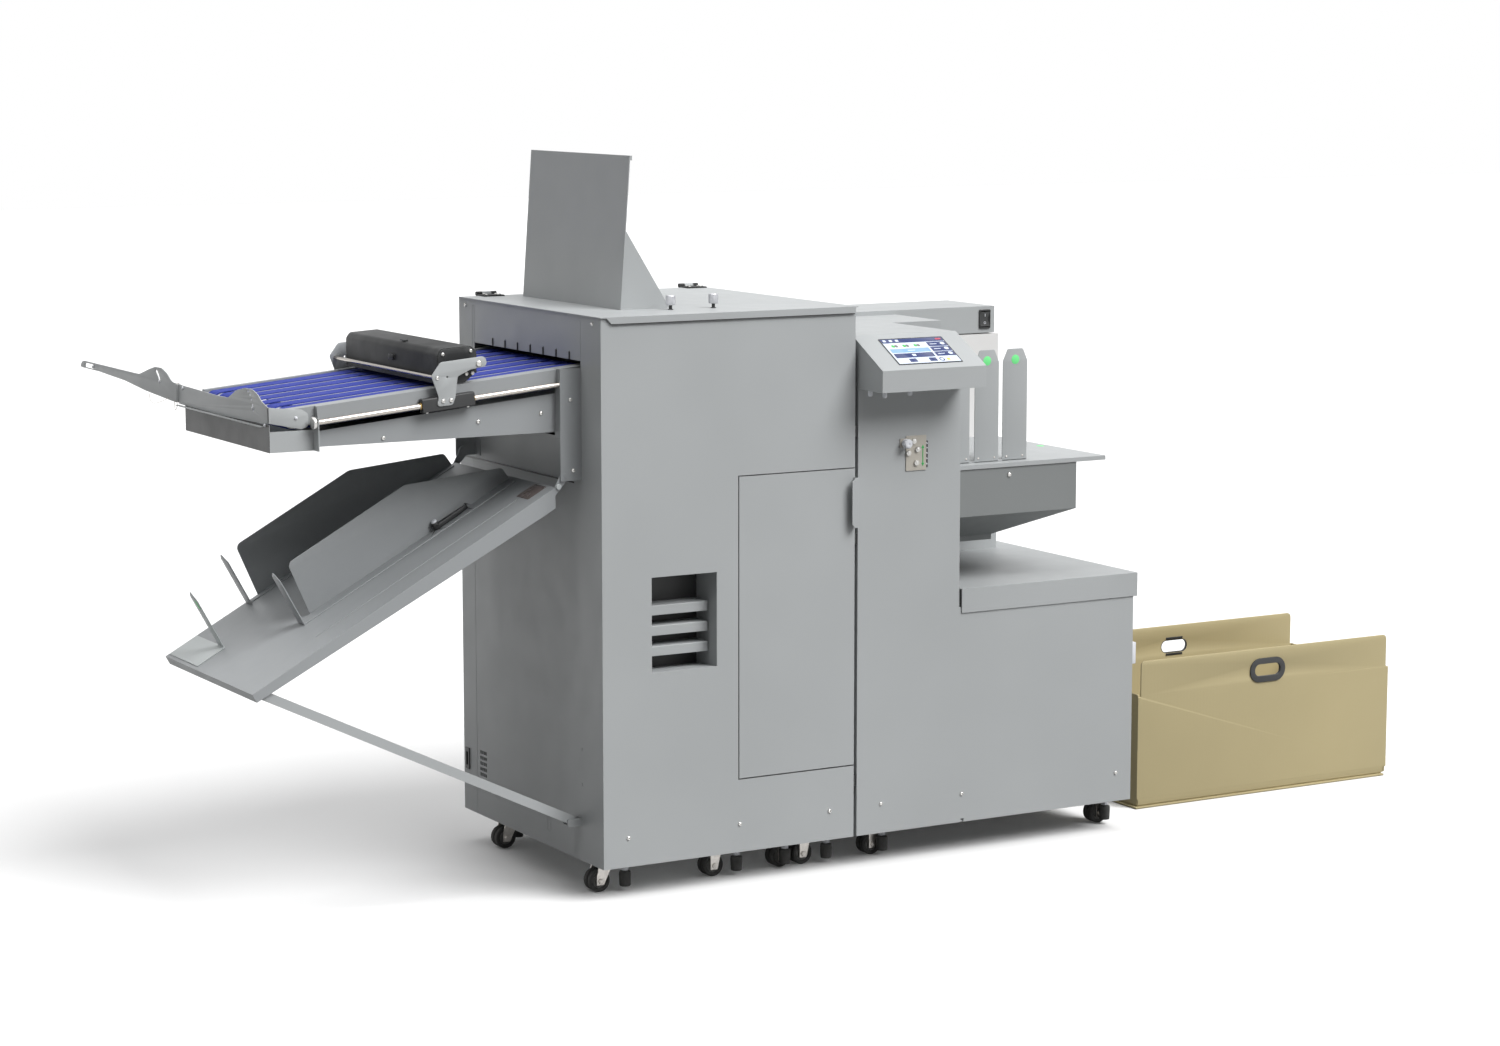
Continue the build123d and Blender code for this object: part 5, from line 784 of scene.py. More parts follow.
def turned(profile: Sequence[Flat], foot: Point, aim: Point, sides: int = 32) -> Mesh:
    """Turned shape that stands on a foot point and looks along an aim.

    Args:
        profile: radius and height of each point.
        foot: where its height is 0.
        aim: direction in which its height grows.
        sides: pieces round the axis.

    Returns:
        A closed mesh in millimetres.
    """
    mesh = lathe(profile, sides)
    turn = Vector(aim).to_track_quat("Z", "Y").to_matrix().to_4x4()
    mesh.transform(Matrix.Translation(foot) @ turn)
    return mesh


def bar(start: Point, end: Point, radius: float, edge: float = 0.6, sides: int = 28) -> Mesh:
    """Round bar with chamfered ends between two points.

    Args:
        start: centre of one end.
        end: centre of the other.
        radius: its radius.
        edge: width of the chamfers.
        sides: pieces round it.

    Returns:
        A closed mesh in millimetres.
    """
    run = Vector(end) - Vector(start)
    length, flat = run.length, radius - edge
    profile = [(0, 0), (flat, 0), (radius, edge), (radius, length - edge), (flat, length), (0, length)]
    return turned(profile, start, tuple(run), sides)


def block(x: Span, y: Span, z: Span, edge: float = 1.0, steps: int = 2) -> Mesh:
    """Box with rounded edges.

    Args:
        x: its two faces across X.
        y: its two faces across Y.
        z: its two faces across Z.
        edge: radius of its edges.
        steps: flat pieces in each round.

    Returns:
        A closed mesh in millimetres.
    """
    made = bmesh.new()
    bmesh.ops.create_cube(made, size=1.0)
    size = Matrix.Diagonal((x[1] - x[0], y[1] - y[0], z[1] - z[0], 1.0))
    middle = Matrix.Translation(((x[0] + x[1]) / 2, (y[0] + y[1]) / 2, (z[0] + z[1]) / 2))
    bmesh.ops.transform(made, matrix=middle @ size, verts=made.verts)
    bmesh.ops.bevel(made, geom=made.edges, offset=edge, segments=steps, profile=0.5, affect="EDGES")
    return mesh_from(made)


def wire(points: Sequence[Point], radius: float) -> Mesh:
    """Round wire bent smoothly along control points.

    Args:
        points: the control points, of which the wire touches the first and the last.
        radius: its radius.

    Returns:
        A closed mesh in millimetres.
    """
    curve = bpy.data.curves.new("wire", "CURVE")
    curve.dimensions = "3D"
    spline = curve.splines.new("NURBS")
    spline.points.add(len(points) - 1)
    for point, place in zip(spline.points, points):
        point.co = (*place, 1.0)
    spline.order_u = 3
    spline.use_endpoint_u = True
    spline.resolution_u = 10
    curve.bevel_depth = radius
    curve.bevel_resolution = 3
    curve.use_fill_caps = True
    return from_curve(curve)


def joined(*meshes: Mesh) -> Mesh:
    """Make one mesh from several.

    Args:
        meshes: closed meshes, which are used up.

    Returns:
        A mesh with all their shells.
    """
    made = bmesh.new()
    for mesh in meshes:
        made.from_mesh(mesh)
        bpy.data.meshes.remove(mesh)
    mesh = bpy.data.meshes.new("joined")
    made.to_mesh(mesh)
    made.free()
    return mesh


def strip(path: Sequence[Flat], thick: float) -> list[Flat]:
    """Closed outline of a bent sheet that follows an open path.

    Args:
        path: the sheet's outer face.
        thick: how far its inner face lies to the right of the path.

    Returns:
        Outline points, out along the outer face and back along the inner one.
    """
    inner: list[Flat] = []
    for i, here in enumerate(path):
        before = Vector(path[max(i - 1, 0)])
        after = Vector(path[min(i + 1, len(path) - 1)])
        along = (after - before).normalized()
        inner.append((here[0] + thick * along.y, here[1] - thick * along.x))
    return list(path) + inner[::-1]


# ------------------------------------------------------------------------------------------ pieces
def piece(
    name: str,
    mesh: Mesh,
    finish: Finish,
    body: Body | str,
    slot: Slot,
    frame: Incline = LEVEL,
    stands_for: Sequence[str] = (),
) -> bpy.types.Object:
    """Put a mesh in its place, give it its finish and let it ride on its body.

    Args:
        name: the piece's name.
        mesh: closed mesh in the millimetres of its frame.
        finish: its finish.
        body: the body that it moves with.
        slot: the record's material slot.
        frame: the unit that its places are counted in.
        stands_for: nodes that this piece is shown instead of.

    Returns:
        The piece's object, at the origin with its place in its mesh.
    """
    mesh.transform(frame.matrix())
    return show(name, mesh, finish, body, slot, stands_for)


def show(
    name: str,
    mesh: Mesh,
    finish: Finish,
    body: Body | str,
    slot: Slot,
    stands_for: Sequence[str] = (),
) -> bpy.types.Object:
    """Args:
        name: the piece's name.
        mesh: its closed mesh.
        finish: its finish.
        body: the body that it moves with.
        slot: the record's material slot; not used.
        stands_for: nodes that this piece is shown instead of.

    Returns:
        The piece's object, at the origin.
    """
    mesh.name = name
    mesh.materials.clear()
    mesh.materials.append(finish.material())
    mesh.shade_smooth()
    mesh.set_sharp_from_angle(angle=CREASE)
    made = bpy.data.objects.new(name, mesh)
    bpy.context.scene.collection.objects.link(made)
    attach(made, body.value if isinstance(body, Body) else body)
    if stands_for:
        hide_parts(*stands_for)
    LOG.info("%s: %d faces", name, len(mesh.polygons))
    return made


@dataclass(frozen=True)
class Place:
    """Where one repeated unit stands and which way it looks."""

    at: Point
    aim: Point = (0.0, -1.0, 0.0)


def both_sides(spots: Iterable[Flat], near: float, far: float) -> list[Place]:
    """Places on a near and on a far face, each looking away from the other.

    Args:
        spots: x and z of the places on one face.
        near: the near face's y.
        far: the far face's y.

    Returns:
        All places of the near face, then those of the far one.
    """
    spots = list(spots)
    return [Place((x, near, z)) for x, z in spots] + [Place((x, far, z), (0, 1, 0)) for x, z in spots]


class Repeater:
    """Geometry Nodes that stand one unit mesh on many places, with its sizes as named inputs."""

    TREE = "units_on_places"

    def tree(self) -> Tree:
        """The node tree, built once.

        Returns:
            A tree with inputs for the places, the unit, its width and height, and the finish.
        """
        known = bpy.data.node_groups.get(self.TREE)
        if known is not None:
            return known
        tree = bpy.data.node_groups.new(self.TREE, "GeometryNodeTree")
        kinds = {
            "Places": "Geometry",
            "Unit": "Object",
            "Width": "Float",
            "Height": "Float",
            "Finish": "Material",
        }
        for name, kind in kinds.items():
            tree.interface.new_socket(name, in_out="INPUT", socket_type=f"NodeSocket{kind}")
        tree.interface.new_socket("Result", in_out="OUTPUT", socket_type="NodeSocketGeometry")
        start = add(tree, "NodeGroupInput")
        unit = add(tree, "GeometryNodeObjectInfo", None, {"Object": start.outputs["Unit"]})
        aim = add(tree, "GeometryNodeInputNamedAttribute", {"data_type": "FLOAT_VECTOR"}, {"Name": "aim"})
        turn = add(tree, "FunctionNodeAlignRotationToVector", {"axis": "Z"}, {"Vector": aim.outputs[0]})
        width, height = start.outputs["Width"], start.outputs["Height"]
        size = add(tree, "ShaderNodeCombineXYZ", None, {0: width, 1: width, 2: height})
        sockets = {
            "Points": start.outputs["Places"],
            "Instance": unit.outputs["Geometry"],
            "Rotation": turn.outputs[0],
            "Scale": size.outputs[0],
        }
        stood = add(tree, "GeometryNodeInstanceOnPoints", None, sockets)
        real = add(tree, "GeometryNodeRealizeInstances", None, {0: stood.outputs[0]})
        sockets = {"Geometry": real.outputs[0], "Material": start.outputs["Finish"]}
        dressed = add(tree, "GeometryNodeSetMaterial", None, sockets)
        add(tree, "NodeGroupOutput", None, {0: dressed.outputs[0]})
        return tree

    def repeat(
        self,
        name: str,
        unit: Mesh,
        places: Sequence[Place],
        finish: Finish,
        body: Body | str,
        slot: Slot,
        width: float = 1.0,
        height: float = 1.0,
        frame: Incline = LEVEL,
        stands_for: Sequence[str] = (),
    ) -> bpy.types.Object:
        """Stand a unit on its places and make the result one plain piece.

        Args:
            name: the piece's name.
            unit: the unit's mesh round Z, in millimetres or as a unit size.
            places: where the units stand, in millimetres of the frame.
            finish: finish of all units.
            body: body that they move with.
            slot: the record's material slot.
            width: how many millimetres one unit of the mesh is across.
            height: how many it is along its aim.
            frame: the unit that the places are counted in.
            stands_for: nodes that the piece is shown instead of.

        Returns:
            The piece's object.
        """
        points = bpy.data.meshes.new("places")
        matrix = frame.matrix()
        points.from_pydata([matrix @ Vector(p.at) for p in places], [], [])
        turn = matrix.to_quaternion()
        aims = points.attributes.new("aim", "FLOAT_VECTOR", "POINT")
        for value, place in zip(aims.data, places):
            value.vector = turn @ Vector(place.aim)
        holder = bpy.data.objects.new("holder", points)
        pattern = bpy.data.objects.new("pattern", unit)
        for made in (holder, pattern):
            bpy.context.scene.collection.objects.link(made)
        modifier = holder.modifiers.new("repeat", "NODES")
        modifier.node_group = self.tree()
        values = {"Unit": pattern, "Width": width * MM, "Height": height * MM, "Finish": finish.material()}
        for item in modifier.node_group.interface.items_tree:
            if item.name in values:
                modifier[item.identifier] = values[item.name]
        bpy.context.view_layer.update()
        evaluated = holder.evaluated_get(bpy.context.evaluated_depsgraph_get())
        mesh = bpy.data.meshes.new_from_object(evaluated)
        holder.modifiers.remove(modifier)
        for made in (holder, pattern):
            bpy.data.objects.remove(made)
        bpy.data.meshes.remove(points)
        bpy.data.meshes.remove(unit)
        return show(name, mesh, finish, body, slot, stands_for)


REPEATER = Repeater()


class Units:
    """Small turned shapes that are repeated, at unit size or in millimetres."""

    @staticmethod
    def socket_head() -> Mesh:
        """Button head of radius and height 1 with a driver recess."""
        profile = [(0, 0), (1, 0), (1, 0.25), (0.86, 0.72), (0.6, 0.95), (0.42, 1.0), (0.38, 0.5), (0, 0.5)]
        return lathe(profile, 20)

    @staticmethod
    def dome() -> Mesh:
        """Domed cap of radius and height 1."""
        return lathe([(0, 0), (1, 0), (1, 0.3), (0.9, 0.62), (0.68, 0.86), (0.36, 0.98), (0, 1.0)], 20)

    @staticmethod
    def hex_nut() -> Mesh:
        """Hexagonal nut of width and height 1 with a chamfered top."""
        return lathe([(0, 0), (1, 0), (1, 0.8), (0.86, 1.0), (0.5, 1.0), (0.46, 1.25), (0, 1.25)], 6)

    @staticmethod
    def ridged_drum(radius: float, height: float, ridges: int) -> Mesh:
        """Knurled drum with chamfered rims, in millimetres.

        Args:
            radius: over the ridges.
            height: of the whole drum.
            ridges: number of ridges round it.

        Returns:
            A closed mesh round Z.
        """
        deep, rim = 0.07 * radius, 0.12 * radius
        flat, top = radius - rim, height - rim
        levels = [(0, 0), (flat, 0), (radius, rim), (radius, top), (flat, height), (0, height)]
        mesh = lathe(levels, 2 * ridges)
        for vertex in mesh.vertices:
            out = vertex.co.xy.length
            if out > radius - 0.5 * rim:
                turn = math.atan2(vertex.co.y, vertex.co.x) / (2 * math.pi)
                if round(turn * 2 * ridges) % 2:
                    vertex.co.xy *= (out - deep) / out
        return mesh


# ------------------------------------------------------------------------------------------ machine
class BareNodes:
    """Rigid solids whose own shape is right: they only get their finish."""

    FINISHES: dict[str, Finish] = {
        "main_casing": CASING,
        "louvre_vent": CASING_LOUVRE,
        "access_door": CASING,
        "door_handle": CASING,
        "feeder_casing": CASING,
        "feeder_rear_casing": CASING_REAR,
        "feeder_shelf": CASING,
        "console_housing": CASING,
        "conveyor_frame": CASING_TRAY_SHADE,
        "end_box": CASING_BOX_SHADED_END,
        "stacker_tray": CASING_TRAY_SHADE,
        "tray_strut": CASING,
        "suction_head": CASING,
        "table_chute": CASING_SHADED,
        "feed_table": CASING,
        "lid_flap": CASING,
        "top_lid": CASING,
        "chassis": FRAME_STEEL,
        "fold_knife": FRAME_STEEL,
        "crease_blade": FRAME_STEEL,
        "slide_rods": SHAFT,
        "fixed_castor_forks": PLATING,
        "left_near_castor_fork": PLATING,
        "left_far_castor_fork": PLATING,
        "docking_latches": BLACK_NYLON,
        "power_inlet": BLACK_NYLON,
        "lid_hinges": BLACK_PAINT,
        "adjuster_plate": SCALE,
        "fold_roller_a": ROLLER,
        "fold_roller_b": ROLLER,
        "press_roller": ROLLER,
        "conveyor_belts": BELT,
        "drive_roller": ALLOY,
        "idler_roller": ALLOY,
        "suction_rotor": ALLOY,
        "drive_motor": ALLOY,
        "vacuum_pump": ALLOY,
    }

    def dress(self, nodes: dict[str, bpy.types.Object]) -> None:
        """Give each node its finish.

        Args:
            nodes: the frame's objects by node name.
        """
        for name, finish in self.FINISHES.items():
            slots = nodes[name].data.materials
            slots.clear()
            slots.append(finish.material())
            LOG.info("%s dressed in %s", name, finish.name)


@dataclass
class FoldingCabinet:
    """Small parts of the folding cabinet: screws, knobs, black strips of painted shade in its gaps, stripper
    fingers and knock-outs.
    """

    front_screws: tuple[Flat, ...] = (
        (60, 139), (336, 138), (566, 141), (701, 142), (918, 141), (1349, 143),
    )
    console_screws: tuple[Flat, ...] = ((643, -40), (653, -83), (730, -65))
    console_low: float = 1080.7  # underside of the console
    knobs: tuple[Flat, ...] = ((231.0, 117.0), (336.0, 115.0))
    lid_top: float = 1264.0
    door_edge: tuple[float, float, float, float] = (333.5, 628.5, 238.5, 907.5)  # left, right, low, high
    gap_shade_wide: float = 1.1  # width of the black strip of painted shade round the door
    stripper_y: tuple[float, ...] = (145.0, 208.0, 271.0, 334.0, 397.0, 460.0, 523.0)

    def screws(self) -> None:
        """Button-head screws of casings, delivery arm, bracket, posts and console."""
        places = [Place((x, 0, z)) for x, z in self.front_screws]
        places += [Place((x, 116, z)) for x, z in ((-448, 1024), (-231, 1046), (-84, 1056))]
        places += [Place((x, 92, z)) for x, z in ((-26, 1084), (-20, 932))]
        places += [Place((0, y, 1247), (-1, 0, 0)) for y in (39, 665)]
        REPEATER.repeat(
            "button_head_screws", Units.socket_head(), places, NICKEL, Body.MACHINE, Slot.ZINC, 4.6, 3.4,
            stands_for=["panel_screws"],
        )
        hung = [Place((x, y, self.console_low), (0, 0, -1)) for x, y in self.console_screws]
        shank = lathe([(0, 0), (5.2, 0), (5.2, 9.5), (3.8, 12.5), (0, 12.5)], 20)
        REPEATER.repeat("console_bolts", shank, hung, PALE_NYLON_AND_PAINTED_GLINT, Body.MACHINE, Slot.ZINC)
        leaf = self.lid_top + 3
        places = [Place((x, y, leaf), (0, 0, 1)) for x in (56, 86, 584, 614) for y in (672, 686)]
        REPEATER.repeat("hinge_screws", Units.socket_head(), places, NICKEL, Body.LID, Slot.ZINC, 3.2, 2.4)

    def knurled_knobs(self) -> None:
        """Two aluminium thumb screws on black studs."""
        studs, drums = (
            [Place((x, y, self.lid_top + up), (0, 0, 1)) for x, y in self.knobs] for up in (0.0, 10.0)
        )
        stud = lathe([(0, 0), (6, 0), (6, 1.4), (3.6, 1.6), (3.6, 11), (0, 11)], 20)
        REPEATER.repeat("knob_studs", stud, studs, BLACK_NYLON, Body.LID, Slot.BLACK)
        drum = Units.ridged_drum(10.5, 21.0, 22)
        REPEATER.repeat("knurled_knobs", drum, drums, ALLOY, Body.LID, Slot.ZINC, stands_for=["lid_knobs"])

    def painted_gap_shades(self) -> None:
        """Black strips of painted shade in the gap on three sides of the door opening, under the lid's front
        skirt, and behind the tray's head.
        """
        left, right, low, high = self.door_edge
        wide, deep = self.gap_shade_wide, (-0.2, 1.9)
        # Painted shade: black strips widen the dark line of the door's gap.
        strips = [
            block((left - wide, left), deep, (low - wide, high + wide), 0.15),
            block((left, right), deep, (low - wide, low), 0.15),
            block((left, right), deep, (high, high + wide), 0.15),
        ]
        piece("door_edging", joined(*strips), BLACK_NYLON, Body.MACHINE, Slot.BLACK)
        # Painted shade: a black strip under the lid's skirt stands for the shadow line beneath it.
        lid_shade = block((26, 625), (-4.6, -0.4), (1247.4, 1249.6), 0.3)
        piece("lid_seal", lid_shade, BLACK_NYLON, Body.LID, Slot.BLACK)
        # Painted shadow: a black strip on the wall stands for the tray head's contact shadow.
        lining = block((-1.3, 0.1), (128, 690), (899.5, 903.0), 0.3)
        piece("tray_head_lining", lining, BLACK_NYLON, Body.MACHINE, Slot.BLACK)

    def strippers(self) -> None:
        """Black fingers in the slots over the belt window, which free the sheets from the last roller."""
        outline = rounded([(-1.8, 1), (0.4, 0), (2.2, 4), (2.2, 15), (-1.8, 18)], (1, 1, 2, 1, 1))
        finger = plate(outline, (-1.5, 1.5), Across.Y, edge=0.3)
        places = [Place((-0.6, y, 1164.6), (0, 0, 1)) for y in self.stripper_y]
        REPEATER.repeat("stripper_fingers", finger, places, BLACK_NYLON, Body.MACHINE, Slot.BLACK)

    def knock_outs(self) -> None:
        """Two pressed knock-out outlines and two rivets on the left wall."""
        frames = []
        for y, z in ((530, 150), (262, 128)):
            outer = oblong((y - 9, y + 9), (z - 22, z + 22), 5)
            inner = oblong((y - 7, y + 7), (z - 20, z + 20), 4)
            frames.append(plate(outer, (-0.4, 0.0), Across.X, [inner], 0.1))
        piece("knock_out_rims", joined(*frames), CASING, Body.MACHINE, Slot.CASING)
        rivets = [Place((0, 100, z), (-1, 0, 0)) for z in (245, 322)]
        REPEATER.repeat("blind_rivets", Units.dome(), rivets, CASING, Body.MACHINE, Slot.CASING, 3.4, 1.2)

    def build(self) -> None:
        """Build every piece of the cabinet."""
        self.screws()
        self.knurled_knobs()
        self.painted_gap_shades()
        self.strippers()
        self.knock_outs()


@dataclass
class Carriage:
    """Pressing carriage on the slide rods: arms, slider blocks, tie bar and the covered head."""

    arm_inner: Span = (88.0, 624.0)
    thick: float = 3.0
    block_s: Span = (-374.0, -254.0)
    block_n: Span = (-43.0, -14.0)
    near_block: Span = (88.0, 107.0)
    far_block: Span = (604.5, 624.0)
    head_y: Span = (110.0, 588.0)
    pivot: Flat = (-242.0, 1172.0)  # x and z of the shaft that the head flips up round

    def arms(self) -> None:
        """Two bent side arms with their screws, pins and the tie bar."""
        outline = rounded(
            [
                (-340, 1086), (-303, 1088), (-297, 1104), (-291, 1147), (-262, 1160),
                (-222, 1166), (-228, 1187), (-330, 1178), (-351, 1150), (-334, 1104),
            ],
            (6, 8, 12, 6, 20, 9, 10, 12, 8, 20),
        )
        holes = [circle((-315, 1147), 2.2)]
        low, high = self.arm_inner[0] - self.thick, self.arm_inner[1] + self.thick
        spans = ((low, self.arm_inner[0]), (self.arm_inner[1], high))
        arms = joined(*(plate(outline, span, holes=holes) for span in spans))
        piece("carriage_arms", arms, CASING, Body.CARRIAGE, Slot.CASING, stands_for=["roller_carriage"])
        tie = bar((-338, low, 1146), (-338, high, 1146), 4.0)
        piece("carriage_tie_bar", tie, SHAFT, Body.CARRIAGE, Slot.ROD)
        places = both_sides(((-325, 1097), (-307, 1098), (-338, 1146)), low, high)
        REPEATER.repeat(
            "carriage_screws", Units.socket_head(), places, NICKEL, Body.CARRIAGE, Slot.ZINC, 4.6, 3.0
        )

    def blocks(self) -> None:
        """Black slider blocks with bronze bushings."""
        shells, bushes = [], []
        for rod, side in zip(ROD_Y, (self.near_block, self.far_block)):
            profile = oblong(side, self.block_n, 3.0)
            shells.append(plate(profile, self.block_s, Across.X, [circle((rod, ROD_N), 7.4)], 0.8))
            for end, way in zip(self.block_s, (-1, 1)):
                ring = tube(6.15, 7.3, (-3, 2.6), sides=28)
                turn = Matrix.Rotation(math.radians(90 * way), 4, "Y")
                ring.transform(Matrix.Translation((end, rod, ROD_N)) @ turn)
                bushes.append(ring)
        piece("slider_blocks", joined(*shells), BLACK_NYLON, Body.CARRIAGE, Slot.BLACK, BELTS)
        piece("slider_bushings", joined(*bushes), BRONZE, Body.CARRIAGE, Slot.ZINC, BELTS)
        places = [Place((s, y, self.block_n[0]), (0, 0, -1)) for s in (-362, -268) for y in (97, 614)]
        REPEATER.repeat(
            "slider_screws", Units.dome(), places, NICKEL, Body.CARRIAGE, Slot.ZINC, 3.4, 3.0, frame=BELTS
        )

    def head(self) -> None:
        """Black cover bent over the pressing roller, its cheeks and their screws."""
        corners = [(-327, 1131), (-327, 1192), (-318, 1204), (-250, 1208), (-236, 1196), (-236, 1150)]
        path = rounded([*corners, (-400, 1000)], (0, 12, 10, 10, 10, 0, 0), 6)[:-1]
        shell = plate(strip(path, SHEET), self.head_y, Across.Y, (), 0.4)
        outline = rounded(
            [
                (-325, 1141), (-296, 1131), (-264, 1131), (-238, 1152), (-238, 1195),
                (-251, 1206), (-317, 1202), (-325, 1191),
            ],
            (4, 8, 10, 8, 8, 8, 8, 8),
        )
        near, far = self.head_y[0] - 1.0, self.head_y[1] + 1.0
        cheeks = [plate(outline, span) for span in ((near, near + 2.5), (far - 2.5, far))]
        slot_rim = block((-318, -306), (300, 316), (1206, 1209), 0.8)
        grip = block((-333, -326), (325, 349), (1164, 1176), 1.4)
        piece(
            "head_cover", joined(shell, *cheeks, slot_rim, grip), BLACK_PAINT, Body.HEAD, Slot.BLACK,
            stands_for=["roller_head"],
        )
        x, z = self.pivot
        piece("head_pivot_shaft", bar((x, 84, z), (x, 628, z), 3.5), SHAFT, Body.HEAD, Slot.ROD)
        places = both_sides(((-314, 1192), (-250, 1197), (-246, 1150), (-260, 1149)), near, far)
        REPEATER.repeat("cheek_screws", Units.socket_head(), places, NICKEL, Body.HEAD, Slot.ZINC, 4.2, 2.8)
        pivots = both_sides([self.pivot], 85, 627)
        REPEATER.repeat("pivot_caps", Units.dome(), pivots, NICKEL, Body.HEAD, Slot.ZINC, 7.0, 4.5)

    def build(self) -> None:
        """Build the arms, blocks and head."""
        self.arms()
        self.blocks()
        self.head()


@dataclass
class BeltDelivery:
    """End of the belt delivery: the two wings, rod caps, pins and wire loops."""

    wing_x: Span = (-702.0, -700.0)
    near_y: Span = (116.0, 628.0)
    pin: Flat = (-701.0, 634.0)  # x and y of the hinge pin between the wings
    knuckle_z: Span = (1078.3, 1091.7)  # the far wing's knuckle, between the near wing's two
    tip: float = 1279.0

    def near_wing(self) -> None:
        """Upright plate with an arched ear, returned round the near corner with a soft bend."""
        start, end = self.near_y
        outline = rounded(
            [
                (start, 1068), (160, 1065), (381, 1060), (end, 1062), (end, 1104), (498, 1102),
                (407, 1100.4), (338, 1101), (287, 1122), (242, 1130), (199, 1130.5), (171, 1123),
                (150, 1110), (start, 1100),
            ],
            (0, 60, 300, 0, 0, 0, 300, 70, 60, 60, 40, 50, 60, 0),
        )
        spots = ((224, 1125), (213, 1119), (205, 1110), (200, 1099), (197, 1088))
        holes = [circle(spot, 3.0, 14) for spot in spots]
        ear = plate(outline, self.wing_x, Across.X, holes)
        corners = [(-702, 1068), (-628, 1052), (-614, 1058), (-614, 1084), (-628, 1093), (-702, 1100)]
        side = plate(rounded(corners, (0, 14, 6, 8, 6, 0)), (start, start + SHEET))
        bend = tube(2.0, 4.2, (1068, 1099.6), (-698, 120))
        flange = block((-710, -702), (140, end), (1058, 1060), 0.5)
        knuckles = [tube(3.1, 6, span, self.pin) for span in ((1066, 1078), (1092, 1104))]
        piece(
            "near_wing_plate", joined(ear, side, bend, flange, *knuckles), CASING, Body.MACHINE, Slot.CASING,
            stands_for=["near_end_wing"],
        )
        face = self.wing_x[0]
        places = [Place((face, y, z), (-1, 0, 0)) for y, z in ((197, 1092), (602, 1098), (132, 1063))]
        places.insert(2, Place((-641, start, 1076)))
        REPEATER.repeat("wing_pins", Units.dome(), places, PALE_NYLON_AND_PAINTED_GLINT, Body.MACHINE, Slot.ZINC, 3.6, 3.4)

    def far_wing(self) -> None:
        """Long tapering plate that folds back, with its ear slot and tip slot."""
        x, y = self.pin
        root = y + 6.3
        outline = rounded(
            [
                (root, 1063), (674, 1064), (838, 1072), (973, 1083), (1148, 1089), (self.tip - 8, 1089),
                (self.tip - 4, 1094), (self.tip - 16, 1103), (1246, 1105.5), (877, 1105.5),
                (817, 1121), (775, 1130), (734, 1131), (699.5, 1121.6), (672, 1105.5), (root, 1104.5),
            ],
            (0, 200, 200, 200, 100, 4, 4, 8, 20, 120, 80, 60, 50, 60, 60, 0),
        )
        arc = [(770, 1124), (762, 1119), (754, 1112), (748, 1104), (745, 1097)]
        slot = strip([(v - 3.2, z + 3.2) for v, z in arc], -8.0)
        holes = [slot, pill((1188, 1096.5), (1236, 1096.5), 5.0)]
        leaf = plate(outline, self.wing_x, Across.X, holes)
        knuckle = tube(3.0, 6, self.knuckle_z, self.pin)
        web = block(self.wing_x, (y + 3, root + 4), self.knuckle_z, 0.4)
        plates = joined(leaf, knuckle, web)
        piece("far_wing_plate", plates, CASING, Body.WING, Slot.CASING, stands_for=["far_end_wing"])
        piece("wing_hinge_pin", bar((x, y, 1064), (x, y, 1106), 3.0), SHAFT, Body.WING, Slot.ROD)
        places = [Place((self.wing_x[0], v, z), (-1, 0, 0)) for v, z in ((1186, 1096.5), (746, 1100))]
        REPEATER.repeat("far_wing_pins", Units.dome(), places, PALE_NYLON_AND_PAINTED_GLINT, Body.WING, Slot.ZINC, 3.4, 3.0)

    def wire_loops(self) -> None:
        """Thin spring wire clips that hang under the wings."""
        large = [
            (-703, 812, 1068), (-704, 806, 1056), (-706, 790, 1050), (-707, 765, 1050),
            (-706, 735, 1056), (-704, 705, 1064), (-703, 690, 1069),
        ]
        small = [
            (-703, 652, 1068), (-705, 648, 1054), (-706, 640, 1046), (-705, 634, 1052), (-703, 636, 1062),
        ]
        piece("wire_clip_large", wire(large, 0.7), SHAFT, Body.WING, Slot.ROD)
        piece("wire_clip_small", wire(small, 0.7), SHAFT, Body.MACHINE, Slot.ROD)

    def rod_caps(self) -> None:
        """Turned caps on the outer ends of the slide rods."""
        cap = lathe([(0, -2), (13.5, -2), (13.5, 2), (12, 4), (6, 4.6), (0, 4.6)], 28)
        places = [Place((-614, y, ROD_N), (-1, 0, 0)) for y in ROD_Y]
        REPEATER.repeat("rod_caps", cap, places, NICKEL, Body.MACHINE, Slot.ZINC, frame=BELTS)

    def build(self) -> None:
        """Build wings, wires and caps."""
        self.near_wing()
        self.far_wing()
        self.wire_loops()
        self.rod_caps()


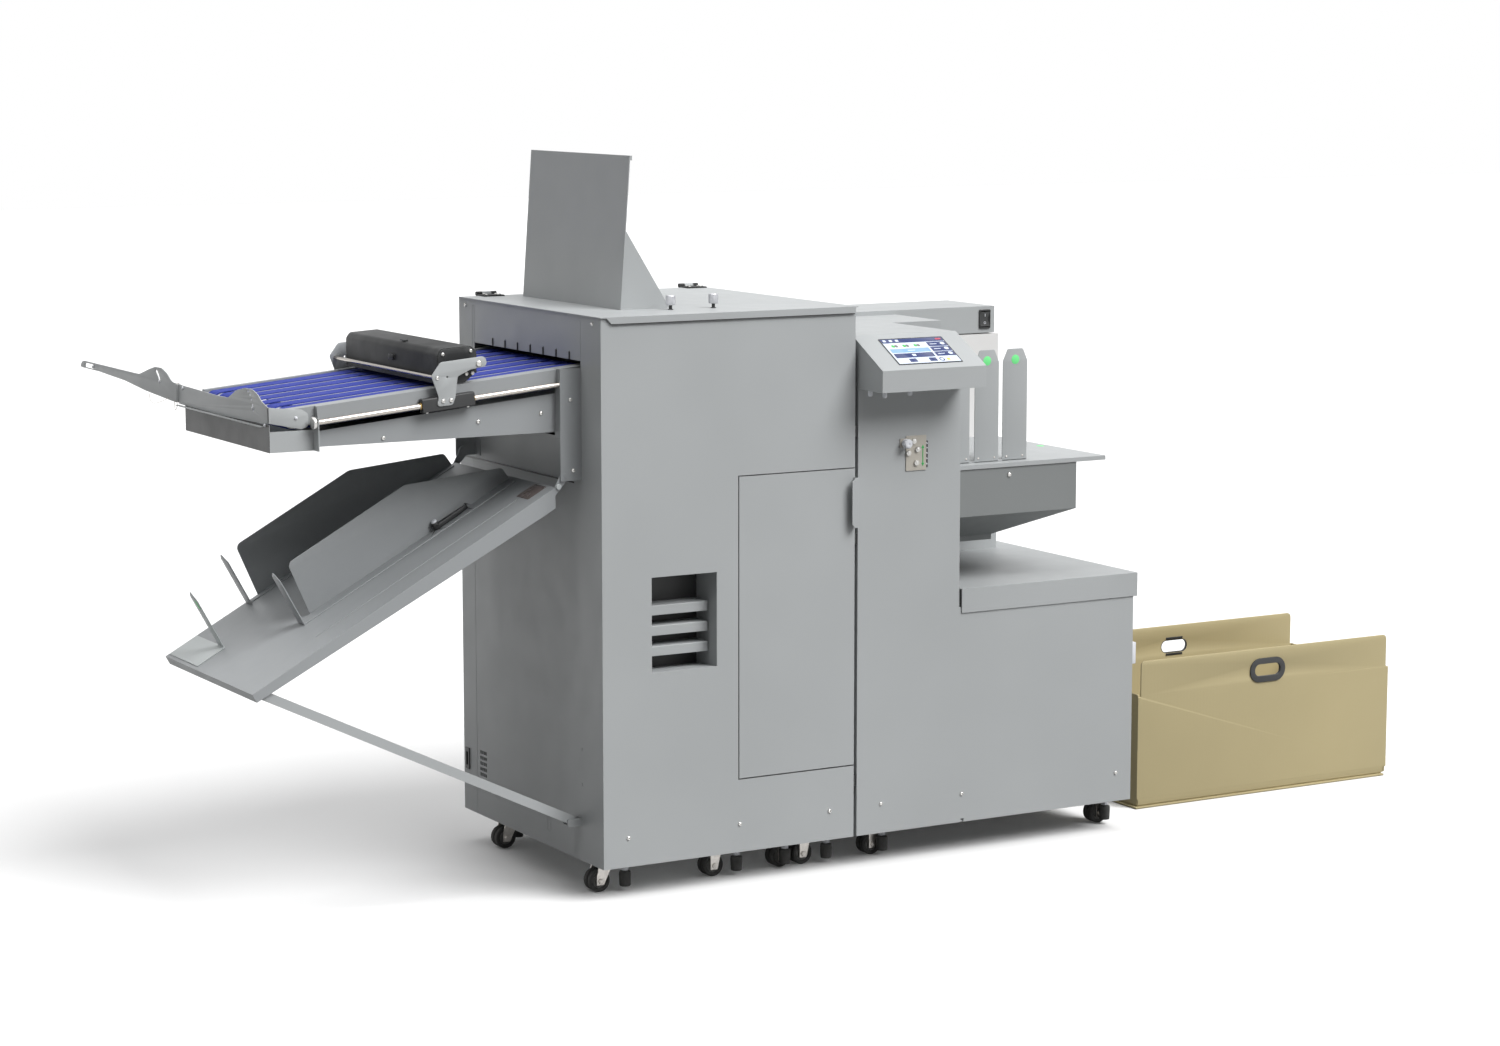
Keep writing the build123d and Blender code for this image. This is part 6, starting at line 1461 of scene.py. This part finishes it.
@dataclass
class StackerTray:
    """Guides, stop, lever, window and bosses of the stacker tray."""

    clear: float = 0.3  # air between the deck and what slides on it
    guide_high: float = 124.0
    guide_s: Span = (-581.0, -11.0)  # a guide's foot along the tray
    stop_s: Span = (-785.0, -712.0)
    clamp: Flat = (-212.0, 292.0)  # the lever's pivot along and across the tray

    def guide(self, name: str, body: Body, face_y: float, foot_wide: float, node: str) -> None:
        """One upright guide with its foot and pointed end finger.

        Args:
            name: the piece's name.
            body: the guide's body.
            face_y: where the upright sheet stands.
            foot_wide: how far its foot reaches towards the operator.
            node: the node that it is shown instead of.
        """
        clear, high = self.clear, self.guide_high
        start, end = self.guide_s
        sides = [(-549, clear), (-538, high), (-229, high), (-15, 33), (end, clear)]
        upright = plate(rounded(sides, (0, 14, 30, 12, 0)), (face_y, face_y + SHEET))
        flat = oblong(self.guide_s, (face_y - foot_wide, face_y + 0.2), (3, 6, 0, 3))
        foot = plate(flat, (clear, clear + SHEET), Across.Z, edge=0.25)
        left = face_y - 35
        tip = [(left, clear), (face_y, clear), (face_y, 118), (face_y - 12, 130), (left, 112)]
        finger = plate(rounded(tip, (0, 0, 3, 4, 4)), (start, start + SHEET), Across.X)
        piece(name, joined(upright, foot, finger), CASING_TRAY_SHADE, body, Slot.CASING, TRAY, [node])

    def stop(self) -> None:
        """End stop: thin base, pointed finger with a green mark."""
        clear, thick, end = self.clear, 1.5, self.stop_s[1]
        flat = oblong(self.stop_s, (430, 598), (2, 4, 4, 2))
        base = plate(flat, (clear, clear + thick), Across.Z, edge=0.2)
        tip = [(435, clear), (467, clear), (467, 128), (452, 143), (435, 120)]
        finger = plate(rounded(tip, (0, 0, 3, 4, 3)), (end - thick, end), Across.X, edge=0.25)
        piece("end_stop_plate", joined(base, finger), CASING_PALE, Body.STOP, Slot.CASING, TRAY, ["end_stop"])
        corners = [(444, 96), (452, 100), (452, 122), (444, 116)]
        mark = plate(rounded(corners, 1.5), (end - thick - 0.4, end - thick + 0.1), Across.X, edge=0.1)
        piece("end_stop_mark", mark, GREEN, Body.STOP, Slot.SCREEN, TRAY)

    def lever(self) -> None:
        """Black clamp lever with a metal nut, whose bright reflection is painted as white."""
        low = 2.6
        x, y = self.clamp
        sides = [
            (x - 7.4, y), (x, y - 7.8), (-150, 286.5), (-129, 290.5), (-129, 293), (-150, 296), (x, y + 7.6),
        ]
        arm = plate(rounded(sides, (8, 8, 12, 3, 3, 12, 8)), (low, low + 11), Across.Z, edge=1.8)
        profile = [(0, 0), (7.5, 0), (7.8, 1), (7.8, 14), (7, 16.5), (0, 16.5)]
        hub = turned(profile, (x, y, low), (0, 0, 1))
        stud = bar((x, y, 0.6), (x, y, low + 1), 3.0)
        handle = joined(arm, hub, stud)
        piece("clamp_handle", handle, BLACK_NYLON, Body.CLAMP, Slot.BLACK, TRAY, ["clamp_lever"])
        # Painted reflection: the metal nut is drawn in white nylon for the bright shine it shows.
        nut = [Place((x, y, low + 16), (0, 0, 1))]
        REPEATER.repeat(
            "clamp_nut", Units.dome(), nut, PALE_NYLON_AND_PAINTED_GLINT, Body.CLAMP, Slot.ZINC, 6.6, 5.5, frame=TRAY
        )

    def window(self) -> None:
        """Tinted sensor window in the tray's deck."""
        pane = plate(oblong((-56.5, -5.5), (129.5, 188.5), 4), (0.02, 0.25), Across.Z, edge=0.05)
        piece("sensor_window", pane, WINDOW, Body.TRAY, Slot.BLACK, TRAY)

    def bosses(self) -> None:
        """Bosses that the tray hangs on, in its two hooked sides."""
        boss = lathe([(0, 0), (6.2, 0), (6.2, 5), (5.2, 6.4), (0, 6.4)], 24)
        ends = both_sides([(-54, 898)], 98, 602)
        REPEATER.repeat("tray_hook_bosses", boss, ends, CASING_PALE, Body.TRAY, Slot.CASING)

    def build(self) -> None:
        """Build guides, stop, lever, window and bosses."""
        self.guide("near_guide_plate", Body.NEAR_GUIDE, 300.0, 33.0, "near_side_plate")
        self.guide("far_guide_plate", Body.FAR_GUIDE, 598.0, 17.0, "far_side_plate")
        self.stop()
        self.lever()
        self.window()
        self.bosses()


@dataclass
class TouchPanel:
    """Console screen with a plain, lettering-free control page."""

    across: Span = (690.0, 857.0)
    upward: Span = (19.0, 122.0)
    margin: float = 3.0  # black glass that shows round the page
    proud: float = 1.0

    def area(self, u: Span, v: Span, level: int, round_mm: float = 1.5) -> Mesh:
        """Flat field of the page.

        Args:
            u: from left to right, as shares of the page.
            v: from bottom to top, as shares of the page.
            level: how many fields it lies on.
            round_mm: radius of its corners.

        Returns:
            A thin plate on the screen.
        """
        margin = self.margin
        width, tall = (span[1] - span[0] - 2 * margin for span in (self.across, self.upward))
        x = [self.across[0] + margin + width * share for share in u]
        y = [self.upward[0] + margin + tall * share for share in v]
        base = self.proud + 0.12 * level
        radius = min(round_mm, 0.45 * (y[1] - y[0]), 0.45 * (x[1] - x[0]))
        return plate(oblong(x, y, radius, 4), (base - 0.1, base + 0.1), Across.Z, edge=0.03)

    def dots(self, shares: Iterable[float]) -> list[Mesh]:
        """Round dials in a row near the top of the page, from their left edges as shares of its width."""
        return [self.area((u, u + 0.05), (0.66, 0.76), 1, 6.0) for u in shares]

    def build(self) -> None:
        """Build the glass and the page's fields, grouped by colour."""
        glass = plate(oblong(self.across, self.upward, 2.0), (-8.0, self.proud - 0.05), Across.Z, edge=0.3)
        piece("screen_glass", glass, BLACK_GLASS, Body.MACHINE, Slot.SCREEN, SLOPE, ["touch_screen"])
        area = self.area
        pages: tuple[tuple[str, Finish, list[Mesh]], ...] = (
            ("screen_page", SCREEN_PALE, [area((0, 1), (0, 1), 0)]),
            (
                "screen_navy_fields",
                SCREEN_NAVY,
                [area((0, 1), (0.84, 1), 1), area((0.03, 0.66), (0.23, 0.41), 1)]
                + [area((0.69, 1.0), (v - 0.01, v + 0.17), 1) for v in (0.65, 0.45, 0.25)]
                + [area((u, u + 0.12), (0.05, 0.19), 1) for u in (0.2, 0.52)]
                + [area((0.68, 0.76), (0.04, 0.18), 1, 7.0)],
            ),
            ("screen_blue_field", SCREEN_BLUE, [area((0.03, 0.66), (0.44, 0.6), 1)]),
            (
                "screen_white_marks",
                SCREEN_PALE,
                [area((u, u + 0.05), (0.89, 0.97), 2) for u in (0.03, 0.13, 0.23)]
                + [area((0.9, 0.97), (v + 0.03, v + 0.13), 2, 6.0) for v in (0.66, 0.46, 0.26)]
                + [area((0.73, 0.84), (v + 0.06, v + 0.085), 2) for v in (0.66, 0.46, 0.26)]
                + [area((0.31, 0.37), (0.29, 0.37), 2), area((0.3, 0.42), (0.505, 0.535), 2)]
                + [area((0.695, 0.745), (0.065, 0.155), 2, 7.0)],
            ),
            ("screen_green_dials", SCREEN_GREEN, self.dots((0.1, 0.28, 0.46))),
            ("screen_grey_dials", GREY_NYLON, self.dots((0.15, 0.33, 0.51))),
            ("screen_red_mark", SCREEN_RED, [area((0.88, 0.97), (0.9, 0.96), 2)]),
            ("screen_yellow_mark", SCREEN_YELLOW, [area((0.8, 0.85), (0.06, 0.15), 1)]),
        )
        for name, finish, fields in pages:
            piece(name, joined(*fields), finish, Body.MACHINE, Slot.SCREEN, SLOPE)


@dataclass
class Feeder:
    """Fine parts of the feeder: side-lay adjuster, rocker, fences, marks and the tab on its right wall."""

    fence_y: float = 59.0
    fence_x: tuple[Span, ...] = ((909.5, 970.0), (984.0, 1049.0), (1060.0, 1127.0))
    table_top: float = 890.0
    plate_face: float = -2.3  # front of the adjuster's plate

    def adjuster(self) -> None:
        """Knob, bolts, arrow and scale of the side-lay adjuster."""
        profile = [
            (0, 0), (5.5, 0), (7.2, 1.4), (7.2, 7), (10.5, 9), (10.5, 19), (8.5, 21.4), (3, 21.6),
            (2.6, 20.4), (0, 20.4),
        ]
        knob = turned(profile, (755, -2.6, 955), (0, -1, 0))
        stem = bar((755, -2.8, 955), (755, -0.4, 955), 3.0)
        piece(
            "adjuster_grip", joined(knob, stem), PALE_NYLON_AND_PAINTED_GLINT, Body.ADJUSTER_KNOB, Slot.BLACK,
            stands_for=["adjuster_knob"],
        )
        face = self.plate_face
        bolts = [Place((x, face, z)) for x, z in ((780, 958), (790, 939), (766, 932), (787, 909))]
        REPEATER.repeat("adjuster_nuts", Units.hex_nut(), bolts, NICKEL, Body.ADJUSTER, Slot.ZINC, 6.6, 5.0)
        outline = [
            (805, 949), (809, 941), (806.2, 941), (806.2, 908), (809, 908), (805, 900), (801, 908),
            (803.8, 908), (803.8, 941), (801, 941),
        ]
        arrow = plate(outline, (face - 0.25, face + 0.05), edge=0.05)
        piece("adjuster_arrow", arrow, DEEP_GREEN, Body.ADJUSTER, Slot.SCREEN)
        backing = plate(oblong((812.5, 819.5), (897, 957), 1), (-0.6, 0.1), edge=0.1)
        piece("scale_strip", backing, BLACK_NYLON, Body.MACHINE, Slot.BLACK)
        marks = [Place((816, -0.6, z)) for z in (905, 917, 929, 941, 951)]
        REPEATER.repeat("scale_marks", Units.dome(), marks, PALE_NYLON_AND_PAINTED_GLINT, Body.MACHINE, Slot.SCREEN, 2.0, 2.4)

    def rocker(self) -> None:
        """Bezel and rocker of the main switch, with a round and a straight mark."""
        hole = oblong((1283.7, 1310.3), (1155, 1195))
        bezel = plate(oblong((1281, 1313), (1152, 1198), 3), (486.6, 490.2), holes=[hole], edge=0.6)
        piece("switch_bezel", bezel, BLACK_NYLON, Body.MACHINE, Slot.BLACK)
        sides = [(486, 1157.5), (489.5, 1175), (486, 1192.5), (499, 1189.5), (501, 1175), (499, 1160.5)]
        tilt = plate(sides, (1284, 1310), Across.X, edge=0.5)
        pins = bar((1282.5, 497, 1175), (1311.5, 497, 1175), 2.0)
        rocker = joined(tilt, pins)
        piece("switch_rocker", rocker, BLACK_NYLON, Body.ROCKER, Slot.BLACK, stands_for=["rocker_switch"])
        centre = (1297, 1166)
        ring = plate(circle(centre, 3.2), (486.9, 487.6), holes=[circle(centre, 2.2)], edge=0.05)
        line = plate(oblong((1296.3, 1297.7), (1181, 1188)), (486.3, 487.2), edge=0.05)
        piece("switch_marks", joined(ring, line), PALE_NYLON_AND_PAINTED_GLINT, Body.ROCKER, Slot.SCREEN)

    def fences(self) -> None:
        """Three upright fence plates on one foot, with rivets, and green dots on the last two."""
        plates = []
        dots = []
        rivets = []
        y, low, shoulder, top = self.fence_y, self.table_top + 0.3, 1118, 1146
        for left, right in self.fence_x:
            outline = [
                (left, low), (right, low), (right, shoulder), (right - 13, top), (left + 13, top),
                (left, shoulder),
            ]
            plates.append(plate(rounded(outline, (0, 0, 6, 5, 5, 6)), (y, y + SHEET)))
            centre = (left + right) / 2
            dots.append(Place((centre, y, shoulder + 3)))
            rivets += [Place((centre + shift, y, low + 9)) for shift in (-22, 22)]
        foot = block((self.fence_x[0][0], self.fence_x[-1][1]), (y, y + 16), (low, low + SHEET), 0.4)
        fence = joined(*plates, foot)
        piece("fence_plates", fence, CASING, Body.FENCE, Slot.CASING, stands_for=["feed_guides"])
        disc = lathe([(0, 0), (10.8, 0), (10.8, 0.2), (10.4, 0.35), (0, 0.35)], 28)
        REPEATER.repeat("fence_dots", disc, dots[1:], GREEN, Body.FENCE, Slot.SCREEN)
        REPEATER.repeat("fence_rivets", Units.dome(), rivets, PLATING, Body.FENCE, Slot.ZINC, 2.4, 1.2)

    def marks(self) -> None:
        """Green mark and screw of the table, pale tab on the right wall, and a black strip of painted shade
        in the shelf's gap.
        """
        mark = turned([(0, 0), (9, 0), (9, 0.3), (0, 0.3)], (1302, 255, self.table_top), (0, 0, 1))
        piece("table_mark", mark, GREEN, Body.TABLE, Slot.SCREEN)
        screw = [Place((1060, 30, 862))]
        REPEATER.repeat("chute_screw", Units.dome(), screw, NICKEL, Body.TABLE, Slot.ZINC, 5.4, 4.4)
        tab = block((1393, 1412), (12, 30), (395, 446), 1.5)
        piece("side_tab", tab, PALE_NYLON_AND_PAINTED_GLINT, Body.MACHINE, Slot.SCREEN)
        # Painted shade: a black strip darkens the gap beside the shelf.
        lining = block((907.3, 912.7), (2.6, 4.2), (572, 611.5), 0.2)
        piece("shelf_gap_lining", lining, BLACK_NYLON, Body.MACHINE, Slot.BLACK)

    def build(self) -> None:
        """Build the feeder's fine parts."""
        self.adjuster()
        self.rocker()
        self.fences()
        self.marks()
        TouchPanel().build()


@dataclass
class RunningGear:
    """Castor wheels, axle nuts and levelling feet."""

    radius: float = 25.0
    front: float = 116.0
    rear: float = 584.0
    fixed_x: tuple[float, ...] = (326.0, 500.0, 556.0, 740.0, 1376.0)
    swivel_x: float = 42.0
    foot_x: tuple[float, ...] = (95.0, 375.0, 500.0, 608.0, 757.0, 1380.0)
    foot_y: Span = (84.0, 616.0)
    fork_half: float = 19.3  # from a wheel's middle to the outer face of its fork

    def tyre_unit(self) -> Mesh:
        """Twin tyres of one castor round Z, with a groove between them.

        Returns:
            A mesh of two rings in millimetres.
        """
        halves = []
        for low, high in ((-16.0, -2.0), (2.0, 16.0)):
            profile = [
                (16.5, low + 1.2), (19, low), (23, low), (self.radius, low + 2.2),
                (self.radius, high - 2.2), (23, high), (19, high), (16.5, high - 1.2),
            ]
            halves.append(lathe(profile, 40, closed=True))
        return joined(*halves)

    def disc_unit(self) -> Mesh:
        """Grey wheel centres with a raised hub, bored for the axle.

        Returns:
            A closed mesh round Z in millimetres.
        """
        half = [
            (4.2, -16), (7, -16), (7.6, -13.6), (11, -13.4), (11.4, -15), (13.6, -15), (14, -13.2),
            (16.6, -13.2),
        ]
        other = [(radius, -height) for radius, height in reversed(half)]
        return lathe(half + other, 40, closed=True)

    def wheels(self) -> None:
        """Wheels of each body, as tyres and centres."""
        sets = [
            (f"wheel_pair_{i}", f"fixed_wheel_pair_{i}", ((x, self.front), (x, self.rear)))
            for i, x in enumerate(self.fixed_x, 1)
        ]
        sets.append(("near_swivel_wheel", "left_near_castor_wheel", ((self.swivel_x, self.front),)))
        sets.append(("far_swivel_wheel", "left_far_castor_wheel", ((self.swivel_x, self.rear),)))
        for body, node, spots in sets:
            places = [Place((x, y, self.radius), (0, 1, 0)) for x, y in spots]
            tyres = self.tyre_unit()
            REPEATER.repeat(f"{body}_tyres", tyres, places, TYRE, body, Slot.TYRE, stands_for=[node])
            REPEATER.repeat(f"{body}_centres", self.disc_unit(), places, GREY_NYLON, body, Slot.TYRE)

    def axle_nuts(self) -> None:
        """Nuts on both sides of every fork."""
        half = self.fork_half
        for body, spots in (
            (Body.MACHINE.value, [(x, y) for x in self.fixed_x for y in (self.front, self.rear)]),
            ("near_swivel", [(self.swivel_x, self.front)]),
            ("far_swivel", [(self.swivel_x, self.rear)]),
        ):
            places = [Place((x, y - half, self.radius)) for x, y in spots]
            places += [Place((x, y + half, self.radius), (0, 1, 0)) for x, y in spots]
            REPEATER.repeat(f"{body}_axle_nuts", Units.hex_nut(), places, PLATING, body, Slot.ZINC, 5.8, 3.4)

    def feet(self) -> None:
        """Rubber levelling feet on zinc studs."""
        spots = [(x, y) for x in self.foot_x for y in self.foot_y]
        pad = lathe([(0, 12), (11.5, 12), (12.4, 14), (13.4, 38), (12.6, 44), (9, 46), (0, 46)], 28)
        places = [Place((x, y, 0), (0, 0, 1)) for x, y in spots]
        nodes = ["levelling_feet"]
        REPEATER.repeat("foot_pads", pad, places, TYRE, Body.MACHINE, Slot.TYRE, stands_for=nodes)
        stud = lathe([(0, 45), (5, 45), (5, 75), (0, 75)], 16)
        REPEATER.repeat("foot_studs", stud, places, PLATING, Body.MACHINE, Slot.ZINC)
        nuts = [Place((x, y, 47), (0, 0, 1)) for x, y in spots]
        REPEATER.repeat("foot_nuts", Units.hex_nut(), nuts, PALE_NYLON_AND_PAINTED_GLINT, Body.MACHINE, Slot.ZINC, 9.0, 9.0)

    def build(self) -> None:
        """Build wheels, nuts and feet."""
        self.wheels()
        self.axle_nuts()
        self.feet()


@dataclass
class CollectingBin:
    """Loose bin of hollow board: notched side walls, end walls on a base tray, and lined hand holes."""

    left: float = 1540.0
    right: float = 2318.0
    near: Span = (172.0, 176.0)
    far: Span = (551.0, 555.0)
    high: float = 361.0
    end_high: float = 280.0
    notch: float = 8.0  # the walls' upper part is this much shorter at each end
    foot: float = 8.0
    toe: float = 22.0  # the walls' lowest part is shorter too
    middle_x: float = 1931.5
    hole_z: float = 307.0
    hole_half: Flat = (41.0, 16.5)

    def pill_round(self, over: float) -> list[Flat]:
        """Outline round a hand hole.

        Args:
            over: how far it lies outside the hole's edge.

        Returns:
            The outline's points.
        """
        x, z = self.middle_x, self.hole_z
        half_x, half_z = self.hole_half[0] + over, self.hole_half[1] + over
        return oblong((x - half_x, x + half_x), (z - half_z, z + half_z), half_z - 0.3, 10)

    def wall(self, span: Span) -> Mesh:
        """One side wall with its stepped ends and its hand hole.

        Args:
            span: the wall's two faces across Y.

        Returns:
            A closed mesh in millimetres.
        """
        left, right, inner = self.left, self.right, self.notch
        high, step, toe = self.high, self.end_high, self.toe
        corners = [
            (left + 3, self.foot), (right - 9, self.foot), (right - 9, toe), (right, toe), (right, step),
            (right - inner, step), (right - inner, high), (left + inner, high), (left + inner, step - 6),
            (left, step - 6), (left, toe), (left + 3, toe),
        ]
        outline = rounded(corners, (0, 0, 0, 3, 3, 2, 11, 11, 2, 3, 3, 0), 6)
        return plate(outline, span, holes=[self.pill_round(0.0)], edge=0.8)

    def board(self) -> None:
        """Walls, ends and base of the bin."""
        end = oblong((self.near[1] - 0.5, self.far[0] + 0.5), (self.foot, self.end_high), 3)
        ends = [plate(end, (x, x + 4), Across.X, edge=0.8) for x in (self.left + 1, self.right - 5)]
        base = block((self.left - 5, self.right - 9), (self.near[0] - 4, self.far[1] + 4), (0.2, 4.6), 1.2)
        inside = (self.near[0] + 3, self.far[1] - 3)
        pad = block((self.left + 3, self.right - 12), inside, (4.2, self.foot + 4), 0.8)
        meshes = [self.wall(self.near), self.wall(self.far), *ends, base, pad]
        piece("bin_board", joined(*meshes), BOARD, Body.BIN, Slot.BIN, stands_for=["collecting_bin"])

    def grommets(self) -> None:
        """Black linings of the hand holes, with a rim outside and two clips inside."""
        rims = []
        hole, rim = (self.pill_round(over) for over in (-1.6, 13.5))
        x, z = self.middle_x, self.hole_z
        half = self.hole_half[1]
        for lining, outside, inside in (
            (self.near, (self.near[0] - 3.2, self.near[0] + 0.1), (self.near[1], self.near[1] + 1.4)),
            (self.far, (self.far[1] - 0.1, self.far[1] + 3.2), (self.far[0] - 1.4, self.far[0])),
        ):
            rims.append(plate(rim, outside, holes=[hole], edge=1.2))
            rims.append(plate(self.pill_round(0.2), lining, holes=[hole], edge=0.1))
            for low in (z - half - 7, z + half + 1):
                rims.append(block((x - 26, x + 26), inside, (low, low + 6), 0.5))
        piece("hand_hole_grommets", joined(*rims), BLACK_NYLON, Body.BIN, Slot.BLACK)

    def build(self) -> None:
        """Build the board and the linings."""
        self.board()
        self.grommets()


# ------------------------------------------------------------------------------------------ studio
@dataclass
class Studio:
    """Pale floor, soft light and the camera."""

    eye: Point = (-4.034606, -6.8675, 1.829)
    down: float = 8.061
    yaw: float = 29.9125
    lens: float = 80.894
    ambient: float = 0.13  # light of the white room round the machine
    bounce: Span = (0.16, 0.2)  # light that the floor throws back, under the machine and far from it
    bounce_reach: Span = (1.0, 4.0)  # metres from the middle that these two hold for
    floor_seen: float = 0.86  # the floor's paleness to the eye
    floor_lift: float = 0.035  # glow to the eye that lifts the deepest shadow

    def camera(self) -> None:
        """Camera at eye height, left of the operator's side."""
        made = bpy.data.cameras.new("camera")
        made.sensor_width = 36.0
        made.lens = self.lens
        made.clip_end = 100.0
        holder = bpy.data.objects.new("camera", made)
        holder.location = self.eye
        holder.rotation_euler = (math.radians(90 - self.down), 0.0, -math.radians(self.yaw))
        bpy.context.scene.collection.objects.link(holder)
        bpy.context.scene.camera = holder

    def sun(self, name: str, aim: Point, strength: float, softness: float) -> None:
        """Distant softbox, as even over the floor as over the machine.

        Args:
            name: the lamp's name.
            aim: where its light comes from, as a direction.
            strength: light on a face that looks at it, where pi shows a colour as it is written.
            softness: how wide it looks, in degrees.
        """
        made = bpy.data.lights.new(name, "SUN")
        made.energy = strength
        made.angle = math.radians(softness)
        holder = bpy.data.objects.new(name, made)
        holder.rotation_euler = Vector(aim).to_track_quat("Z", "Y").to_euler()
        bpy.context.scene.collection.objects.link(holder)

    def seen(self, tree: Tree) -> Socket:
        """What the eye, a reflection or clear glass sees directly.

        Args:
            tree: the world's or a material's tree.

        Returns:
            A socket that is 1 for such a ray and 0 for any other.
        """
        path = add(tree, "ShaderNodeLightPath").outputs
        sockets = {0: path["Is Camera Ray"], 1: path["Is Glossy Ray"]}
        direct = add(tree, "ShaderNodeMath", {"operation": "MAXIMUM"}, sockets).outputs[0]
        sockets = {0: direct, 1: path["Is Transmission Ray"]}
        return add(tree, "ShaderNodeMath", {"operation": "MAXIMUM"}, sockets).outputs[0]

    def surroundings(self) -> None:
        """World that looks white and gives only a little even light."""
        world = bpy.data.worlds.new("studio")
        bpy.context.scene.world = world
        world.use_nodes = True
        tree = world.node_tree
        ground = tree.nodes["Background"]
        ground.inputs["Color"].default_value = (1.0, 1.0, 1.0, 1.0)
        sockets = {"Value": self.seen(tree), "To Min": self.ambient, "To Max": 1.0}
        strength = add(tree, "ShaderNodeMapRange", None, sockets)
        tree.links.new(strength.outputs[0], ground.inputs["Strength"])

    def floor(self) -> None:
        """Pale matt floor that stays white to the eye, keeps the shadow and throws little light back up."""
        made = bmesh.new()
        bmesh.ops.create_grid(made, x_segments=8, y_segments=8, size=30.0)
        mesh = bpy.data.meshes.new("floor")
        made.to_mesh(mesh)
        made.free()
        finish = bpy.data.materials.new("studio_floor")
        finish.use_nodes = True
        tree = finish.node_tree
        tree.nodes.clear()
        place = add(tree, "ShaderNodeTexCoord").outputs["Object"]
        far = add(tree, "ShaderNodeVectorMath", {"operation": "LENGTH"}, {0: place}).outputs["Value"]
        sockets = {
            "Value": far,
            "From Min": self.bounce_reach[0],
            "From Max": self.bounce_reach[1],
            "To Min": self.bounce[0],
            "To Max": self.bounce[1],
        }
        bounce = add(tree, "ShaderNodeMapRange", None, sockets).outputs[0]
        seen = self.seen(tree)
        sockets = {"Value": seen, "To Min": bounce, "To Max": self.floor_seen}
        shade = add(tree, "ShaderNodeMapRange", None, sockets)
        matt = add(tree, "ShaderNodeBsdfDiffuse", None, {"Color": shade.outputs[0]})
        sockets = {0: seen, 1: self.floor_lift}
        lift = add(tree, "ShaderNodeMath", {"operation": "MULTIPLY"}, sockets).outputs[0]
        glow = add(tree, "ShaderNodeEmission", None, {"Strength": lift})
        both = add(tree, "ShaderNodeAddShader", None, {0: matt.outputs[0], 1: glow.outputs[0]})
        add(tree, "ShaderNodeOutputMaterial", None, {"Surface": both.outputs[0]})
        mesh.materials.append(finish)
        holder = bpy.data.objects.new("floor", mesh)
        holder.location.z = -0.0005
        bpy.context.scene.collection.objects.link(holder)

    def build(self) -> None:
        """Set floor, world, lamps and camera."""
        bpy.context.scene.view_settings.view_transform = "Standard"
        self.camera()
        self.surroundings()
        self.floor()
        self.sun("key", aim=(0.38, -0.78, 0.9), strength=3.7, softness=38.0)
        self.sun("overhead", aim=(-0.25, 0.15, 1.0), strength=1.7, softness=70.0)


def main() -> None:
    """Load the frame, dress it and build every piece."""
    logging.basicConfig(level=logging.INFO, format="%(message)s")
    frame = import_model()
    BareNodes().dress(frame["nodes"])
    for unit in (FoldingCabinet, Carriage, BeltDelivery, StackerTray, Feeder, RunningGear, CollectingBin):
        unit().build()
        LOG.info("%s is done", unit.__name__)
    Studio().build()


if __name__ == "__main__":
    main()
